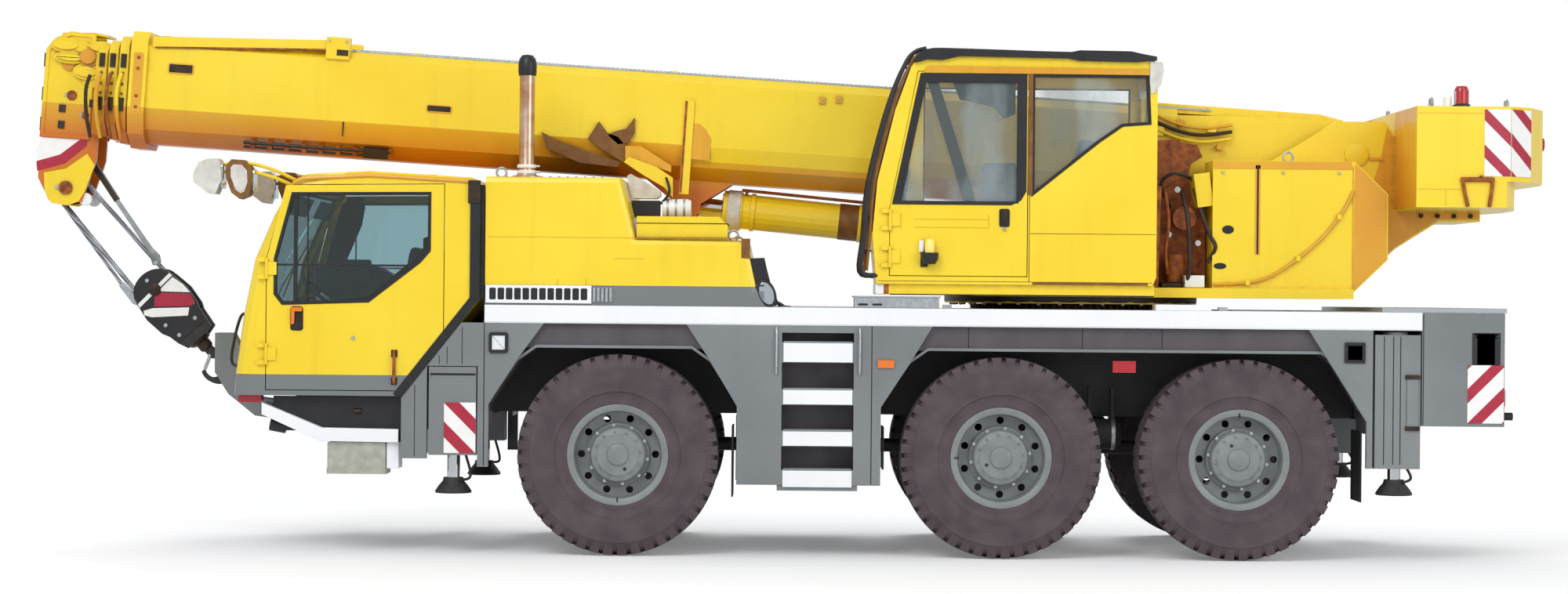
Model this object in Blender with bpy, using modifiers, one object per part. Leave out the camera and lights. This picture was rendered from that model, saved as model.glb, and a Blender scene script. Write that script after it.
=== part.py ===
"""Three-axle all-terrain mobile crane, parked for the road with its boom over the cab.

Metres, +Z up. The crane faces -X and its left side is at -Y. The origin lies on the
ground under the middle of the crane.
"""

import math

import bmesh
import bpy
from mathutils import Matrix, Vector

# Whole vehicle
HALF_WIDTH = 1.25
SEAT_GAP = 0.0003
RUN_GAP = 0.006
SIDES = (("left", -1), ("right", 1))

# Wheels and axles
TYRE_RADIUS = 0.71
TYRE_TOP = 1.42
AXLE_HEIGHT = TYRE_TOP - TYRE_RADIUS
TYRE_SPACE = 0.252
AXLE_X = (-1.16, 1.535, 1.535 + 2 * TYRE_RADIUS + TYRE_SPACE)
TYRE_WIDTH = 0.42
WHEEL_STEPS = 16
RIM_RADIUS = 0.32
RIM_FLANGE = 0.035
RIM_WIDTH = 0.36
RIM_WALL = 0.02
DISC_OFFSET = 0.03
DISC_THICK = 0.025
HUB_RADIUS = 0.11
KINGPIN_Y = HALF_WIDTH - 0.30
KINGPIN_RADIUS = 0.055
FORK_INNER = 0.16
FORK_OUTER = 0.22
FORK_REACH = 0.19
AXLE_TUBE_RADIUS = 0.10
DRUM_RADIUS = 0.19
STUB_RADIUS = 0.085
GEARBOX_RADIUS = 0.20
GEARBOX_LENGTH = 0.48
STRUT_Y = 0.30
STRUT_RADIUS = 0.055

# Carrier frame and deck
FRAME_HALF = 0.40
FRAME_BOTTOM = 0.98
DECK_BOTTOM = 1.632
DECK_TOP = 1.758
DECK_FRONT = -2.10
DECK_REAR = AXLE_X[2] + 1.273
DECK_PLATE = 0.02
DECK_RIM = 0.03
DECK_BEAM_Y = 0.78
TAIL_REAR = DECK_REAR + 0.58
HOOK_EAR_Y = 0.05
BUMPER_STEP = 0.30

# Side panels and wheel arches
PANEL_THICK = 0.05
PANEL_BOTTOM = 0.51
PANEL_FRONT = -2.145
FRONT_ARCH = (-2.068, AXLE_X[0] + TYRE_RADIUS + 0.1255)
REAR_ARCH = (AXLE_X[1] - TYRE_RADIUS - 0.139, AXLE_X[2] + 0.888)
ARCH_TOP = TYRE_TOP + 0.04
ARCH_BEND = ARCH_TOP - 0.09
ARCH_LOW = 1.06
LINER_THICK = 0.02
LINER_INNER_Y = HALF_WIDTH - 0.45
STEP_X = (-0.011, 0.495)
STEP_DEPTH = 0.26
STEP_WALL = 0.03

# Outriggers
BEAM_WIDTH = 0.145
BEAM_HEIGHT = 0.24
BEAM_BOTTOM = 1.00
BEAM_REACH = HALF_WIDTH - 0.23
JACK_RADIUS = 0.05
FOOT_HEIGHT = 0.08
FOOT_CORNER = 0.05
# name, x range of the whole box, housing z range, foot bottom z
OUTRIGGERS = (
    ("front", (-2.49, -2.15), (0.70, 1.32), 0.43),
    ("rear", (REAR_ARCH[1] + 0.052, DECK_REAR - 0.005), (0.66, 1.60), 0.47),
)

# Driver's cab
CAB_BOTTOM = 1.11
CAB_WALL = 0.05
CAB_REAR = -2.14
CAB_REAR_CORNER = 1.80
CAB_HEEL_X = -2.68
DOOR_THICK = 0.045
HINGE_RADIUS = 0.011
HINGE_OUT = 0.012
HINGE_HEIGHT = 0.09
LUG_HEIGHT = 0.03
HINGE_EAR = 0.06

# Slewing platform
SLEW_X = 2.12
RING_RADIUS = 0.60
PEDESTAL_TOP = 1.735
PLATFORM_BOTTOM = 1.80
PLATFORM_TOP = 1.93
CHEEK_INNER = 0.42
CHEEK_THICK = 0.05
TAIL_CLEAR_RADIUS = 3.21

# Boom, in its own frame: x runs back along the boom, z across it, origin on the foot pin
BOOM_PIN = (4.15, 0.0, 2.90)
BOOM_PITCH = math.radians(3.46)
BOOM_TOP = 0.254
BOOM_DEPTH = 0.779
BOOM_HALF = 0.35
BOOM_FRONT = -8.95
BOOM_WALL = 0.024
FOOT_PIN_RADIUS = 0.09
TELE_COLLAR = 0.085
TELE_COUNT = 3
NOSE_AHEAD = 0.20
NOSE_Z = -0.88
SHEAVE_RADIUS = 0.10

# Luffing cylinder
LUFF_BASE = (2.45, 0.0, 2.20)
LUFF_EYE = (-0.72, 0.0, 2.50)
BARREL_RADIUS = 0.13
ROD_RADIUS = 0.07
LUFF_PIN_RADIUS = 0.05
ROD_PIN_RADIUS = 0.045
PIN_STEPS = 24

# Operator's cab
OP_OUTER = HALF_WIDTH
OP_INNER = 0.48
OP_WALL = 0.04

YELLOW = ("paint yellow", (0.913, 0.645, 0.011), 0.35, 0.0)
GREY = ("paint grey", (0.178, 0.191, 0.195), 0.45, 0.0)
DARK = ("mudguard dark grey", (0.076, 0.069, 0.067), 0.6, 0.0)
WHITE = ("paint white", (0.83, 0.84, 0.86), 0.4, 0.0)
BLACK = ("black plastic", (0.02, 0.02, 0.022), 0.5, 0.0)
RUBBER = ("tyre rubber", (0.045, 0.042, 0.043), 0.8, 0.0)
STEEL = ("bright steel", (0.6, 0.6, 0.6), 0.25, 1.0)
RIM = ("rim grey", (0.21, 0.22, 0.22), 0.45, 0.2)
SEAT = ("seat cloth", (0.03, 0.03, 0.035), 0.8, 0.0)
CASTING = ("cast iron", (0.12, 0.1, 0.09), 0.55, 0.6)

materials = {}
bodies = {}


def clear_scene():
    for obj in list(bpy.data.objects):
        bpy.data.objects.remove(obj, do_unlink=True)


def collection(name):
    found = bpy.data.collections.new(name)
    bpy.context.scene.collection.children.link(found)
    return found


def material(spec):
    name, colour, roughness, metallic = spec
    if name not in materials:
        made = bpy.data.materials.new(name)
        made.use_nodes = True
        shader = made.node_tree.nodes["Principled BSDF"]
        shader.inputs["Base Color"].default_value = (*colour, 1.0)
        shader.inputs["Roughness"].default_value = roughness
        shader.inputs["Metallic"].default_value = metallic
        made.diffuse_color = (*colour, 1.0)
        materials[name] = made
    return materials[name]


# Shapes

def from_bmesh(bm, name="shape"):
    mesh = bpy.data.meshes.new(name)
    bmesh.ops.recalc_face_normals(bm, faces=bm.faces)
    bm.to_mesh(mesh)
    bm.free()
    obj = bpy.data.objects.new(name, mesh)
    parts.objects.link(obj)
    return obj


def box(x, y, z):
    """A box between two values on each axis, in any order."""
    low = [min(pair) for pair in (x, y, z)]
    high = [max(pair) for pair in (x, y, z)]
    size = [b - a for a, b in zip(low, high)]
    centre = [(a + b) / 2 for a, b in zip(low, high)]
    bm = bmesh.new()
    place = Matrix.Translation(centre) @ Matrix.Diagonal((*size, 1.0))
    bmesh.ops.create_cube(bm, size=1.0, matrix=place)
    return from_bmesh(bm)


TURN = {
    "X": Matrix.Rotation(math.pi / 2, 4, "Y"),
    "Y": Matrix.Rotation(-math.pi / 2, 4, "X"),
    "Z": Matrix.Identity(4),
}


def cylinder(axis, start, length, radius, end_radius=None, steps=12):
    """A round bar or cone from a start point along +axis."""
    bm = bmesh.new()
    lift = Matrix.Translation((0, 0, length / 2))
    place = Matrix.Translation(start) @ TURN[axis] @ lift
    end = radius if end_radius is None else end_radius
    bmesh.ops.create_cone(
        bm, cap_ends=True, segments=steps, radius1=radius, radius2=end,
        depth=length, matrix=place)
    return from_bmesh(bm)


def bore(axis, start, length, radius):
    """A cutter that leaves room for a pin of this radius to turn in."""
    room = (radius + SEAT_GAP) / math.cos(math.pi / PIN_STEPS)
    return cylinder(axis, start, length, room, steps=PIN_STEPS)


PLANES = {
    "XZ": Matrix.Rotation(math.pi / 2, 4, "X"),
    "XY": Matrix.Identity(4),
    "YZ": Matrix(((0, 0, 1, 0), (1, 0, 0, 0), (0, 1, 0, 0), (0, 0, 0, 1))),
}
NORMALS = {"XZ": (0, 1, 0), "XY": (0, 0, 1), "YZ": (1, 0, 0)}


def slab(outlines, low, high, plane="XZ"):
    """A flat outline, with any holes after it, extruded between two values."""
    if not isinstance(outlines[0][0], (tuple, list)):
        outlines = [outlines]
    low, high = min(low, high), max(low, high)
    curve = bpy.data.curves.new("outline", "CURVE")
    curve.dimensions = "2D"
    curve.fill_mode = "BOTH"
    curve.extrude = (high - low) / 2
    curve.render_resolution_u = 0
    for outline in outlines:
        spline = curve.splines.new("POLY")
        spline.points.add(len(outline) - 1)
        for point, (a, b) in zip(spline.points, outline):
            point.co = (a, b, 0, 1)
        spline.use_cyclic_u = True
    middle = Vector(NORMALS[plane]) * (low + high) / 2
    return from_curve(curve, Matrix.Translation(middle) @ PLANES[plane])


def tube(points, radius, sides=2):
    """A bent round bar through points, with closed ends."""
    curve = bpy.data.curves.new("bar", "CURVE")
    curve.dimensions = "3D"
    curve.bevel_depth = radius
    curve.bevel_resolution = sides
    curve.use_fill_caps = True
    curve.render_resolution_u = 0
    spline = curve.splines.new("POLY")
    spline.points.add(len(points) - 1)
    for point, co in zip(spline.points, points):
        point.co = (*co, 1)
    return from_curve(curve, Matrix.Identity(4))


def from_curve(curve, place):
    """The curve's evaluated surface as a welded mesh."""
    holder = bpy.data.objects.new("curve", curve)
    parts.objects.link(holder)
    graph = bpy.context.evaluated_depsgraph_get()
    mesh = bpy.data.meshes.new_from_object(holder.evaluated_get(graph))
    bpy.data.objects.remove(holder, do_unlink=True)
    mesh.transform(place)
    bm = bmesh.new()
    bm.from_mesh(mesh)
    bmesh.ops.remove_doubles(bm, verts=bm.verts, dist=0.00001)
    bpy.data.meshes.remove(mesh)
    return from_bmesh(bm)


def turned(profile, centre, axis, steps, turn=0.0):
    """A closed (radius, height) profile swept round an axis with a Screw modifier."""
    mesh = bpy.data.meshes.new("profile")
    edges = [(i, (i + 1) % len(profile)) for i in range(len(profile))]
    on_axis = profile[0][0] == 0 and profile[-1][0] == 0
    if on_axis:
        edges.pop()
    mesh.from_pydata([(r, 0, h) for r, h in profile], edges, [])
    obj = bpy.data.objects.new("turned", mesh)
    parts.objects.link(obj)
    screw = obj.modifiers.new("screw", "SCREW")
    screw.steps = steps
    screw.render_steps = steps
    screw.use_merge_vertices = True
    screw.merge_threshold = 0.0001
    bake(obj)
    spin = Matrix.Rotation(turn, 4, "Z")
    obj.data.transform(Matrix.Translation(centre) @ TURN[axis] @ spin)
    return heal(obj, outward=True)


def bake(obj):
    """Turns the evaluated modifiers into the object's own mesh."""
    graph = bpy.context.evaluated_depsgraph_get()
    mesh = bpy.data.meshes.new_from_object(obj.evaluated_get(graph))
    obj.modifiers.clear()
    old = obj.data
    obj.data = mesh
    if old.users == 0:
        bpy.data.meshes.remove(old)
    return obj


def heal(obj, outward=False):
    """Welds doubled corners and merges flat faces; a new shape's faces turn outward."""
    bm = bmesh.new()
    bm.from_mesh(obj.data)
    bmesh.ops.remove_doubles(bm, verts=bm.verts, dist=0.00002)
    bmesh.ops.dissolve_degenerate(bm, edges=bm.edges, dist=0.00002)
    bmesh.ops.dissolve_limit(
        bm, angle_limit=math.radians(0.2), verts=bm.verts, edges=bm.edges)
    bmesh.ops.triangulate(bm, faces=bm.faces)
    if outward:
        bmesh.ops.recalc_face_normals(bm, faces=bm.faces)
    bm.to_mesh(obj.data)
    bm.free()
    return obj


def combine(target, tools, operation):
    for tool in tools:
        step = target.modifiers.new(operation.lower(), "BOOLEAN")
        step.operation = operation
        step.solver = "EXACT"
        step.object = tool
        bake(target)
        heal(target)
        bpy.data.objects.remove(tool, do_unlink=True)
    return target


def join(target, *tools):
    return combine(target, tools, "UNION")


def cut(target, *tools):
    return combine(target, tools, "DIFFERENCE")


def bevel(obj, width, segments, chosen):
    """Rounds the edges whose two end points the test picks."""
    bm = bmesh.new()
    bm.from_mesh(obj.data)
    bmesh.ops.dissolve_limit(
        bm, angle_limit=math.radians(0.2), verts=bm.verts, edges=bm.edges)
    edges = [e for e in bm.edges if chosen(e.verts[0].co, e.verts[1].co)]
    bmesh.ops.bevel(
        bm, geom=edges, offset=width, segments=segments, profile=0.5, affect="EDGES")
    bm.to_mesh(obj.data)
    bm.free()
    return heal(obj, outward=True)


def circle(x, z, radius, steps=24):
    turn = 2 * math.pi / steps
    return [(x + radius * math.cos(i * turn), z + radius * math.sin(i * turn))
            for i in range(steps)]


def chamfered(x, y, corner):
    """A rectangle with its corners cut off."""
    return [(x[0] + corner, y[0]), (x[1] - corner, y[0]), (x[1], y[0] + corner), (x[1], y[1] - corner),
            (x[1] - corner, y[1]), (x[0] + corner, y[1]), (x[0], y[1] - corner), (x[0], y[0] + corner)]


def arc(x, z, radius, start, end, steps):
    """Points on an arc, angles in degrees from +X."""
    angles = [math.radians(start + (end - start) * i / steps) for i in range(steps + 1)]
    return [(x + radius * math.cos(a), z + radius * math.sin(a)) for a in angles]


# Bodies and naming

def body(name, pivot, parent=None, pitch=0.0):
    """An empty on the joint's axis that carries one moving body."""
    holder = bpy.data.objects.new("body_" + name, None)
    parts.objects.link(holder)
    world = Matrix.Translation(pivot) @ Matrix.Rotation(pitch, 4, "Y")
    if parent:
        holder.parent = bodies[parent][0]
        holder.matrix_local = bodies[parent][1].inverted() @ world
    else:
        holder.matrix_local = world
    bodies[name] = (holder, world)


def finish(obj, name, spec, on, local=False, sharp=30):
    """Names a piece, gives it its paint and hangs it on its body."""
    holder, world = bodies[on]
    if not local:
        obj.data.transform(world.inverted())
    obj.parent = holder
    obj.name = name
    obj.data.name = name
    obj.data.materials.clear()
    obj.data.materials.append(material(spec))
    obj.data.shade_smooth()
    obj.data.set_sharp_from_angle(angle=math.radians(sharp))
    return obj


# Wheels

def tyre(name, x, side, on):
    half = TYRE_WIDTH / 2
    bead = RIM_WIDTH / 2 - 0.015 - SEAT_GAP
    crown = TYRE_RADIUS / math.cos(math.pi / WHEEL_STEPS)
    inner = RIM_RADIUS + SEAT_GAP
    # radius, distance from the middle plane
    profile_half = [
        (crown, half * 0.74),
        (crown - 0.025, half * 0.90),
        (crown - 0.19, half),
        (RIM_RADIUS + 0.08, half * 0.89),
        (RIM_RADIUS + RIM_FLANGE + 0.004, bead),
        (inner, bead),
    ]
    profile = profile_half + [(r, -h) for r, h in reversed(profile_half)]
    centre = (x, side * (HALF_WIDTH - half), AXLE_HEIGHT)
    made = turned(profile, centre, "Y", WHEEL_STEPS, math.pi / WHEEL_STEPS)
    finish(made, name, RUBBER, on)


def rim(name, x, side, on):
    lip = RIM_WIDTH / 2
    wall = RIM_RADIUS - RIM_WALL
    flange = RIM_RADIUS + RIM_FLANGE
    face = DISC_OFFSET + DISC_THICK
    # radius, distance outward from the middle plane
    profile = [
        (0, 0.16), (HUB_RADIUS, 0.14), (HUB_RADIUS, face + 0.02), (0.20, face), (wall, face),
        (wall, lip), (flange, lip), (flange, lip - 0.015), (RIM_RADIUS, lip - 0.015),
        (RIM_RADIUS, -lip + 0.015), (flange, -lip + 0.015), (flange, -lip),
        (wall, -lip), (wall, DISC_OFFSET), (0, DISC_OFFSET),
    ]
    profile = [(r, side * h) for r, h in profile]
    centre = (x, side * (HALF_WIDTH - TYRE_WIDTH / 2), AXLE_HEIGHT)
    finish(turned(profile, centre, "Y", WHEEL_STEPS, math.pi / WHEEL_STEPS), name, RIM, on)


HUB_FACE_Y = HALF_WIDTH - TYRE_WIDTH / 2 + DISC_OFFSET - SEAT_GAP


def hub_parts(x, side, from_y):
    """The stub and brake drum that a wheel's disc is bolted to."""
    start = min(side * from_y, side * HUB_FACE_Y)
    stub = cylinder("Y", (x, start, AXLE_HEIGHT), HUB_FACE_Y - from_y, STUB_RADIUS)
    drum_out = HUB_FACE_Y - RUN_GAP
    drum_in = KINGPIN_Y + 0.07
    drum_start = min(side * drum_in, side * drum_out)
    drum = cylinder("Y", (x, drum_start, AXLE_HEIGHT), drum_out - drum_in, DRUM_RADIUS)
    return join(stub, drum)


def knuckle(name, x, side, on):
    reach = FORK_INNER - SEAT_GAP
    post = cylinder("Z", (x, side * KINGPIN_Y, AXLE_HEIGHT - reach), 2 * reach, KINGPIN_RADIUS)
    arm = box((x + 0.03, x + 0.21), (side * (KINGPIN_Y - 0.025), side * (KINGPIN_Y + 0.025)),
              (AXLE_HEIGHT - 0.07, AXLE_HEIGHT - 0.03))
    join(post, hub_parts(x, side, KINGPIN_Y), arm)
    finish(post, name, CASTING, on)


def axle(name, x, steered, on):
    half = KINGPIN_Y - FORK_REACH if steered else HUB_FACE_Y
    beam = cylinder("Y", (x, -half, AXLE_HEIGHT), 2 * half, AXLE_TUBE_RADIUS)
    gear = cylinder("X", (x - GEARBOX_LENGTH / 2, 0.0, AXLE_HEIGHT), GEARBOX_LENGTH, GEARBOX_RADIUS)
    join(beam, gear)
    for _, side in SIDES:
        if steered:
            plate = box((x - 0.07, x + 0.07), (side * (half - 0.04), side * (half + 0.02)),
                        (AXLE_HEIGHT - FORK_OUTER, AXLE_HEIGHT + FORK_OUTER))
            join(beam, plate)
            for low in (FORK_INNER, -FORK_OUTER):
                ear = slab(
                    [(x - 0.06, side * half), (x + 0.06, side * half)]
                    + arc(x, side * KINGPIN_Y, 0.06, 0, side * 180, 8),
                    AXLE_HEIGHT + low, AXLE_HEIGHT + low + FORK_OUTER - FORK_INNER, "XY")
                join(beam, ear)
        else:
            join(beam, hub_parts(x, side, KINGPIN_Y))
        height = FRAME_BOTTOM - SEAT_GAP - AXLE_HEIGHT
        join(beam, cylinder("Z", (x, side * STRUT_Y, AXLE_HEIGHT), height, STRUT_RADIUS, steps=16))
    finish(beam, name, CASTING, on)


def wheels():
    for number, x in enumerate(AXLE_X, start=1):
        steered = number != 2
        axle(f"axle_{number}", x, steered, "carrier")
        for label, side in SIDES:
            centre = (x, side * (HALF_WIDTH - TYRE_WIDTH / 2), AXLE_HEIGHT)
            holder = "carrier"
            if steered:
                holder = f"knuckle_{number}_{label}"
                body(holder, (x, side * KINGPIN_Y, AXLE_HEIGHT), "carrier")
                knuckle(holder, x, side, holder)
            wheel = f"wheel_{number}_{label}"
            body(wheel, centre, holder)
            tyre(f"tyre_{number}_{label}", x, side, wheel)
            rim(f"rim_{number}_{label}", x, side, wheel)


# Carrier frame, deck and panels

def beam_lanes(x_range):
    """Each side's beam has its own lane across the vehicle."""
    middle = sum(x_range) / 2
    gap = 0.012
    return {"left": (middle - gap - BEAM_WIDTH, middle - gap),
            "right": (middle + gap, middle + gap + BEAM_WIDTH)}


def chassis():
    outline = [
        (-3.55, 0.84), (-3.55, CAB_BOTTOM - SEAT_GAP), (-2.66, CAB_BOTTOM - SEAT_GAP), (-2.10, 1.55),
        (-2.10, DECK_BOTTOM - SEAT_GAP), (DECK_REAR, DECK_BOTTOM - SEAT_GAP),
        (DECK_REAR, FRAME_BOTTOM), (-2.05, FRAME_BOTTOM), (-2.60, 0.84),
    ]
    frame = slab(outline, -FRAME_HALF, FRAME_HALF)
    pedestal = cylinder(
        "Z", (SLEW_X, 0, DECK_BOTTOM - 0.1), PEDESTAL_TOP - DECK_BOTTOM + 0.1, RING_RADIUS - 0.005, steps=24)
    cross = [box((SLEW_X - 0.35, SLEW_X + 0.35), (-0.75, 0.75), (DECK_BOTTOM - 0.12, DECK_BOTTOM - SEAT_GAP))]
    for _, x_range, _, _ in OUTRIGGERS:
        cross.append(box((x_range[0] + 0.003, x_range[1] - 0.003), (-BEAM_REACH, BEAM_REACH),
                         (BEAM_BOTTOM - 0.025, BEAM_BOTTOM + BEAM_HEIGHT + 0.03)))
    join(frame, pedestal, *cross)
    for _, x_range, _, _ in OUTRIGGERS:
        for lane in beam_lanes(x_range).values():
            channel = box((lane[0] - RUN_GAP, lane[1] + RUN_GAP), (-HALF_WIDTH, HALF_WIDTH),
                          (BEAM_BOTTOM - SEAT_GAP, BEAM_BOTTOM + BEAM_HEIGHT + RUN_GAP))
            cut(frame, channel)
    finish(frame, "chassis_frame", DARK, "carrier")


def deck():
    plate = box((DECK_FRONT, DECK_REAR), (-HALF_WIDTH, HALF_WIDTH), (DECK_BOTTOM, DECK_TOP))
    bays = (DECK_FRONT + DECK_RIM, -0.9, 0.45, 1.30, 2.94, 3.7, DECK_REAR - DECK_RIM)
    for front, rear in zip(bays, bays[1:]):
        for _, side in SIDES:
            pocket = box((front, rear - DECK_RIM), (side * (HALF_WIDTH - DECK_RIM), side * DECK_BEAM_Y),
                         (DECK_BOTTOM - 0.1, DECK_TOP - DECK_PLATE))
            cut(plate, pocket)
    hole = cylinder("Z", (SLEW_X, 0, DECK_BOTTOM - 0.1), 0.4, RING_RADIUS + 0.02, steps=24)
    cut(plate, hole)
    finish(plate, "deck", WHITE, "carrier")


def liner(points, y_pair):
    """A mudguard strip that follows an arch, bent from flat sheet."""
    outer = [(x, z) for x, z in points]
    inner = []
    for index, (x, z) in enumerate(points):
        before = Vector(points[max(index - 1, 0)])
        after = Vector(points[min(index + 1, len(points) - 1)])
        along = (after - before).normalized()
        inner.append((x - along.y * LINER_THICK, z + along.x * LINER_THICK))
    return slab(outer + inner[::-1], *y_pair)


def corner_outline(top):
    """The panel round the front outrigger, cut back along the cab's sloping rear edge."""
    x_range, housing_z = OUTRIGGERS[0][1:3]
    rise = (CAB_REAR_CORNER - CAB_BOTTOM) / (CAB_REAR - CAB_HEEL_X)
    low = CAB_BOTTOM - 2 * RUN_GAP
    meets = CAB_HEEL_X + (top - low) / rise
    front = x_range[0] - 0.01
    over = housing_z[1] + RUN_GAP
    return [(CAB_HEEL_X, 0.675), (front, 0.675), (front, over), (PANEL_FRONT + 0.001, over),
            (PANEL_FRONT + 0.001, top), (meets, top), (CAB_HEEL_X, low)]


def side_panel(label, side):
    top = DECK_BOTTOM - SEAT_GAP
    skin = (side * HALF_WIDTH, side * (HALF_WIDTH - PANEL_THICK))
    f0, f1 = FRONT_ARCH
    r0, r1 = REAR_ARCH
    bend = ARCH_BEND + 0.02
    front = [(PANEL_FRONT, 0.62), (f0, 0.62), (f0, ARCH_LOW), (f0 + 0.209, bend), (f0 + 0.385, top),
             (PANEL_FRONT, top)]
    middle = [(f1, PANEL_BOTTOM), (r0, PANEL_BOTTOM), (r0, ARCH_LOW), (r0 + 0.21, bend - 0.005),
              (r0 + 0.359, top), (f1 - 0.3575, top), (f1 - 0.198, bend), (f1, ARCH_LOW)]
    rear = [(r1, 0.66), (r1 + 0.045, 0.66), (r1 + 0.045, top), (r1 - 0.41, top),
            (r1 - 0.256, bend), (r1, 0.99)]
    panel = slab(middle, *skin)
    behind = HALF_WIDTH - STEP_DEPTH - STEP_WALL
    steps_box = box((STEP_X[0] - STEP_WALL, STEP_X[1] + STEP_WALL), (side * (HALF_WIDTH - 0.01), side * behind),
                    (0.47, 1.60))
    band = box((-2.12, DECK_REAR - 0.36), (side * (HALF_WIDTH - 0.045), side * (HALF_WIDTH - 0.075)),
               (ARCH_TOP, top))
    join(panel, slab(front, *skin), slab(rear, *skin), slab(corner_outline(top), *skin), steps_box, band)
    inner_y = (side * (HALF_WIDTH - 0.03), side * LINER_INNER_Y)
    for start, end in (FRONT_ARCH, REAR_ARCH):
        path = [(start - 0.005, 0.90), (start - 0.005, ARCH_LOW), (start + 0.205, ARCH_BEND),
                (start + 0.33, ARCH_TOP), (end - 0.32, ARCH_TOP), (end - 0.193, ARCH_BEND),
                (end + 0.005, ARCH_LOW), (end + 0.005, 0.90)]
        join(panel, liner(path, inner_y))
    # bottom, top of each gap between the steps
    for low, high in ((0.617, 0.782), (0.892, 1.073), (1.183, 1.37), (1.513, 1.58)):
        gap = box(STEP_X, (side * (HALF_WIDTH + 0.1), side * (HALF_WIDTH - STEP_DEPTH)), (low, high))
        cut(panel, gap)
    finish(panel, f"side_panel_{label}", GREY, "carrier")


def outriggers():
    for place, x_range, housing_z, foot in OUTRIGGERS:
        lanes = beam_lanes(x_range)
        middle = sum(x_range) / 2
        for label, side in SIDES:
            inner_y = BEAM_REACH + SEAT_GAP
            lane = lanes[label]
            arm = box(lane, (side * (inner_y + 0.05), -side * (BEAM_REACH - 0.02)),
                      (BEAM_BOTTOM, BEAM_BOTTOM + BEAM_HEIGHT))
            housing = box((x_range[0] + 0.004, x_range[1] - 0.004), (side * inner_y, side * HALF_WIDTH),
                          housing_z)
            join(arm, housing)
            jack_y = side * (inner_y + HALF_WIDTH) / 2
            well = cylinder("Z", (middle, jack_y, housing_z[0] - 0.1),
                            housing_z[1] - housing_z[0], JACK_RADIUS + RUN_GAP)
            cut(arm, well)
            name = f"outrigger_{place}_{label}"
            body(name, (middle, jack_y, BEAM_BOTTOM), "carrier")
            finish(arm, name, GREY, name)
            ram_top = housing_z[1] - 0.1 - SEAT_GAP
            ram = cylinder("Z", (middle, jack_y, foot + 0.02), ram_top - foot - 0.02, JACK_RADIUS)
            wide = (x_range[0] + 0.01, x_range[1] - 0.01)
            deep = (jack_y - (HALF_WIDTH - BEAM_REACH) / 2 + 0.01, jack_y + (HALF_WIDTH - BEAM_REACH) / 2 - 0.01)
            pad = slab(chamfered(wide, deep, FOOT_CORNER), foot, foot + FOOT_HEIGHT, "XY")
            join(ram, pad)
            jack = f"jack_{place}_{label}"
            body(jack, (middle, jack_y, foot), name)
            finish(ram, jack, BLACK, jack)


def tail_box():
    shell = box((DECK_REAR + SEAT_GAP, TAIL_REAR), (-HALF_WIDTH, HALF_WIDTH), (0.961, DECK_TOP))
    for _, side in SIDES:
        lamp = box((TAIL_REAR - 0.23, TAIL_REAR - 0.03),
                   (side * (HALF_WIDTH + 0.05), side * (HALF_WIDTH - 0.04)), (1.36, 1.62))
        cut(shell, lamp)
    finish(shell, "tail_box", GREY, "carrier")


def front_bumper():
    inner = HALF_WIDTH - BUMPER_STEP
    bar = box((-3.62, -3.5503), (-inner - 0.05, inner + 0.05), (0.86, 1.05))
    for _, side in SIDES:
        step = [(-3.66, 0.98), (-3.66, 1.06), (-3.245, 0.90), (-2.695, 0.88), (-2.695, 0.79), (-3.27, 0.79)]
        join(bar, slab(step, side * (HALF_WIDTH - 0.01), side * inner))
        join(bar, box((-3.20, -2.72), (side * (HALF_WIDTH - 0.03), side * (inner + 0.01)), (0.56, 0.83)))
        join(bar, box((-3.60, -3.2), (side * 0.5, side * (inner + 0.05)), (0.86, 0.92)))
        join(bar, box((-3.60, -2.69), (side * (HALF_WIDTH - 0.10), side * (HALF_WIDTH - 0.12)),
                      (0.85, CAB_BOTTOM - RUN_GAP)))
    bracket = [(-4.20, 1.24), (-4.10, 1.08), (-3.90, 0.92), (-3.60, 0.88), (-3.60, 1.02), (-3.90, 1.06),
               (-3.94, 1.28), (-4.07, 1.53), (-4.20, 1.53)]
    for _, side in SIDES:
        join(bar, slab(bracket, side * HOOK_EAR_Y, side * (HOOK_EAR_Y + 0.04)))
    finish(bar, "front_bumper", GREY, "carrier")


# Driver's cab

CAB_OUTLINE = [
    (-3.872, CAB_BOTTOM), (-3.861, 1.25), (-3.806, 1.68), (-3.729, 2.07), (-3.60, 2.37),
    (-3.454, 2.63), (-3.38, 2.665), (-2.915, 2.69), (-2.20, 2.65), (CAB_REAR, 2.60),
    (CAB_REAR, CAB_REAR_CORNER), (CAB_HEEL_X, CAB_BOTTOM),
]
CAB_INSIDE = [
    (-3.815, 1.16), (-3.755, 1.68), (-3.678, 2.06), (-3.552, 2.345), (-3.41, 2.60),
    (-2.915, 2.64), (CAB_REAR - CAB_WALL, 2.60), (CAB_REAR - CAB_WALL, 1.82), (-2.70, 1.16),
]
CAB_DOOR = [(-3.63, 1.15), (-3.63, 2.07), (-3.50, 2.585), (-2.39, 2.60), (-2.39, 1.53), (-2.68, 1.15)]
CAB_WINDOW = [(-3.575, 1.82), (-3.575, 2.07), (-3.454, 2.53), (-2.486, 2.54), (-2.486, 2.133),
              (-2.558, 2.05), (-2.915, 1.772), (-3.52, 1.75)]
WINDSCREEN_HALF = HALF_WIDTH - 0.19
CAB_SEAT_Y = HALF_WIDTH - 0.57
DASH_HALF = HALF_WIDTH - 0.11
SEAT_HALF = 0.25


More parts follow.
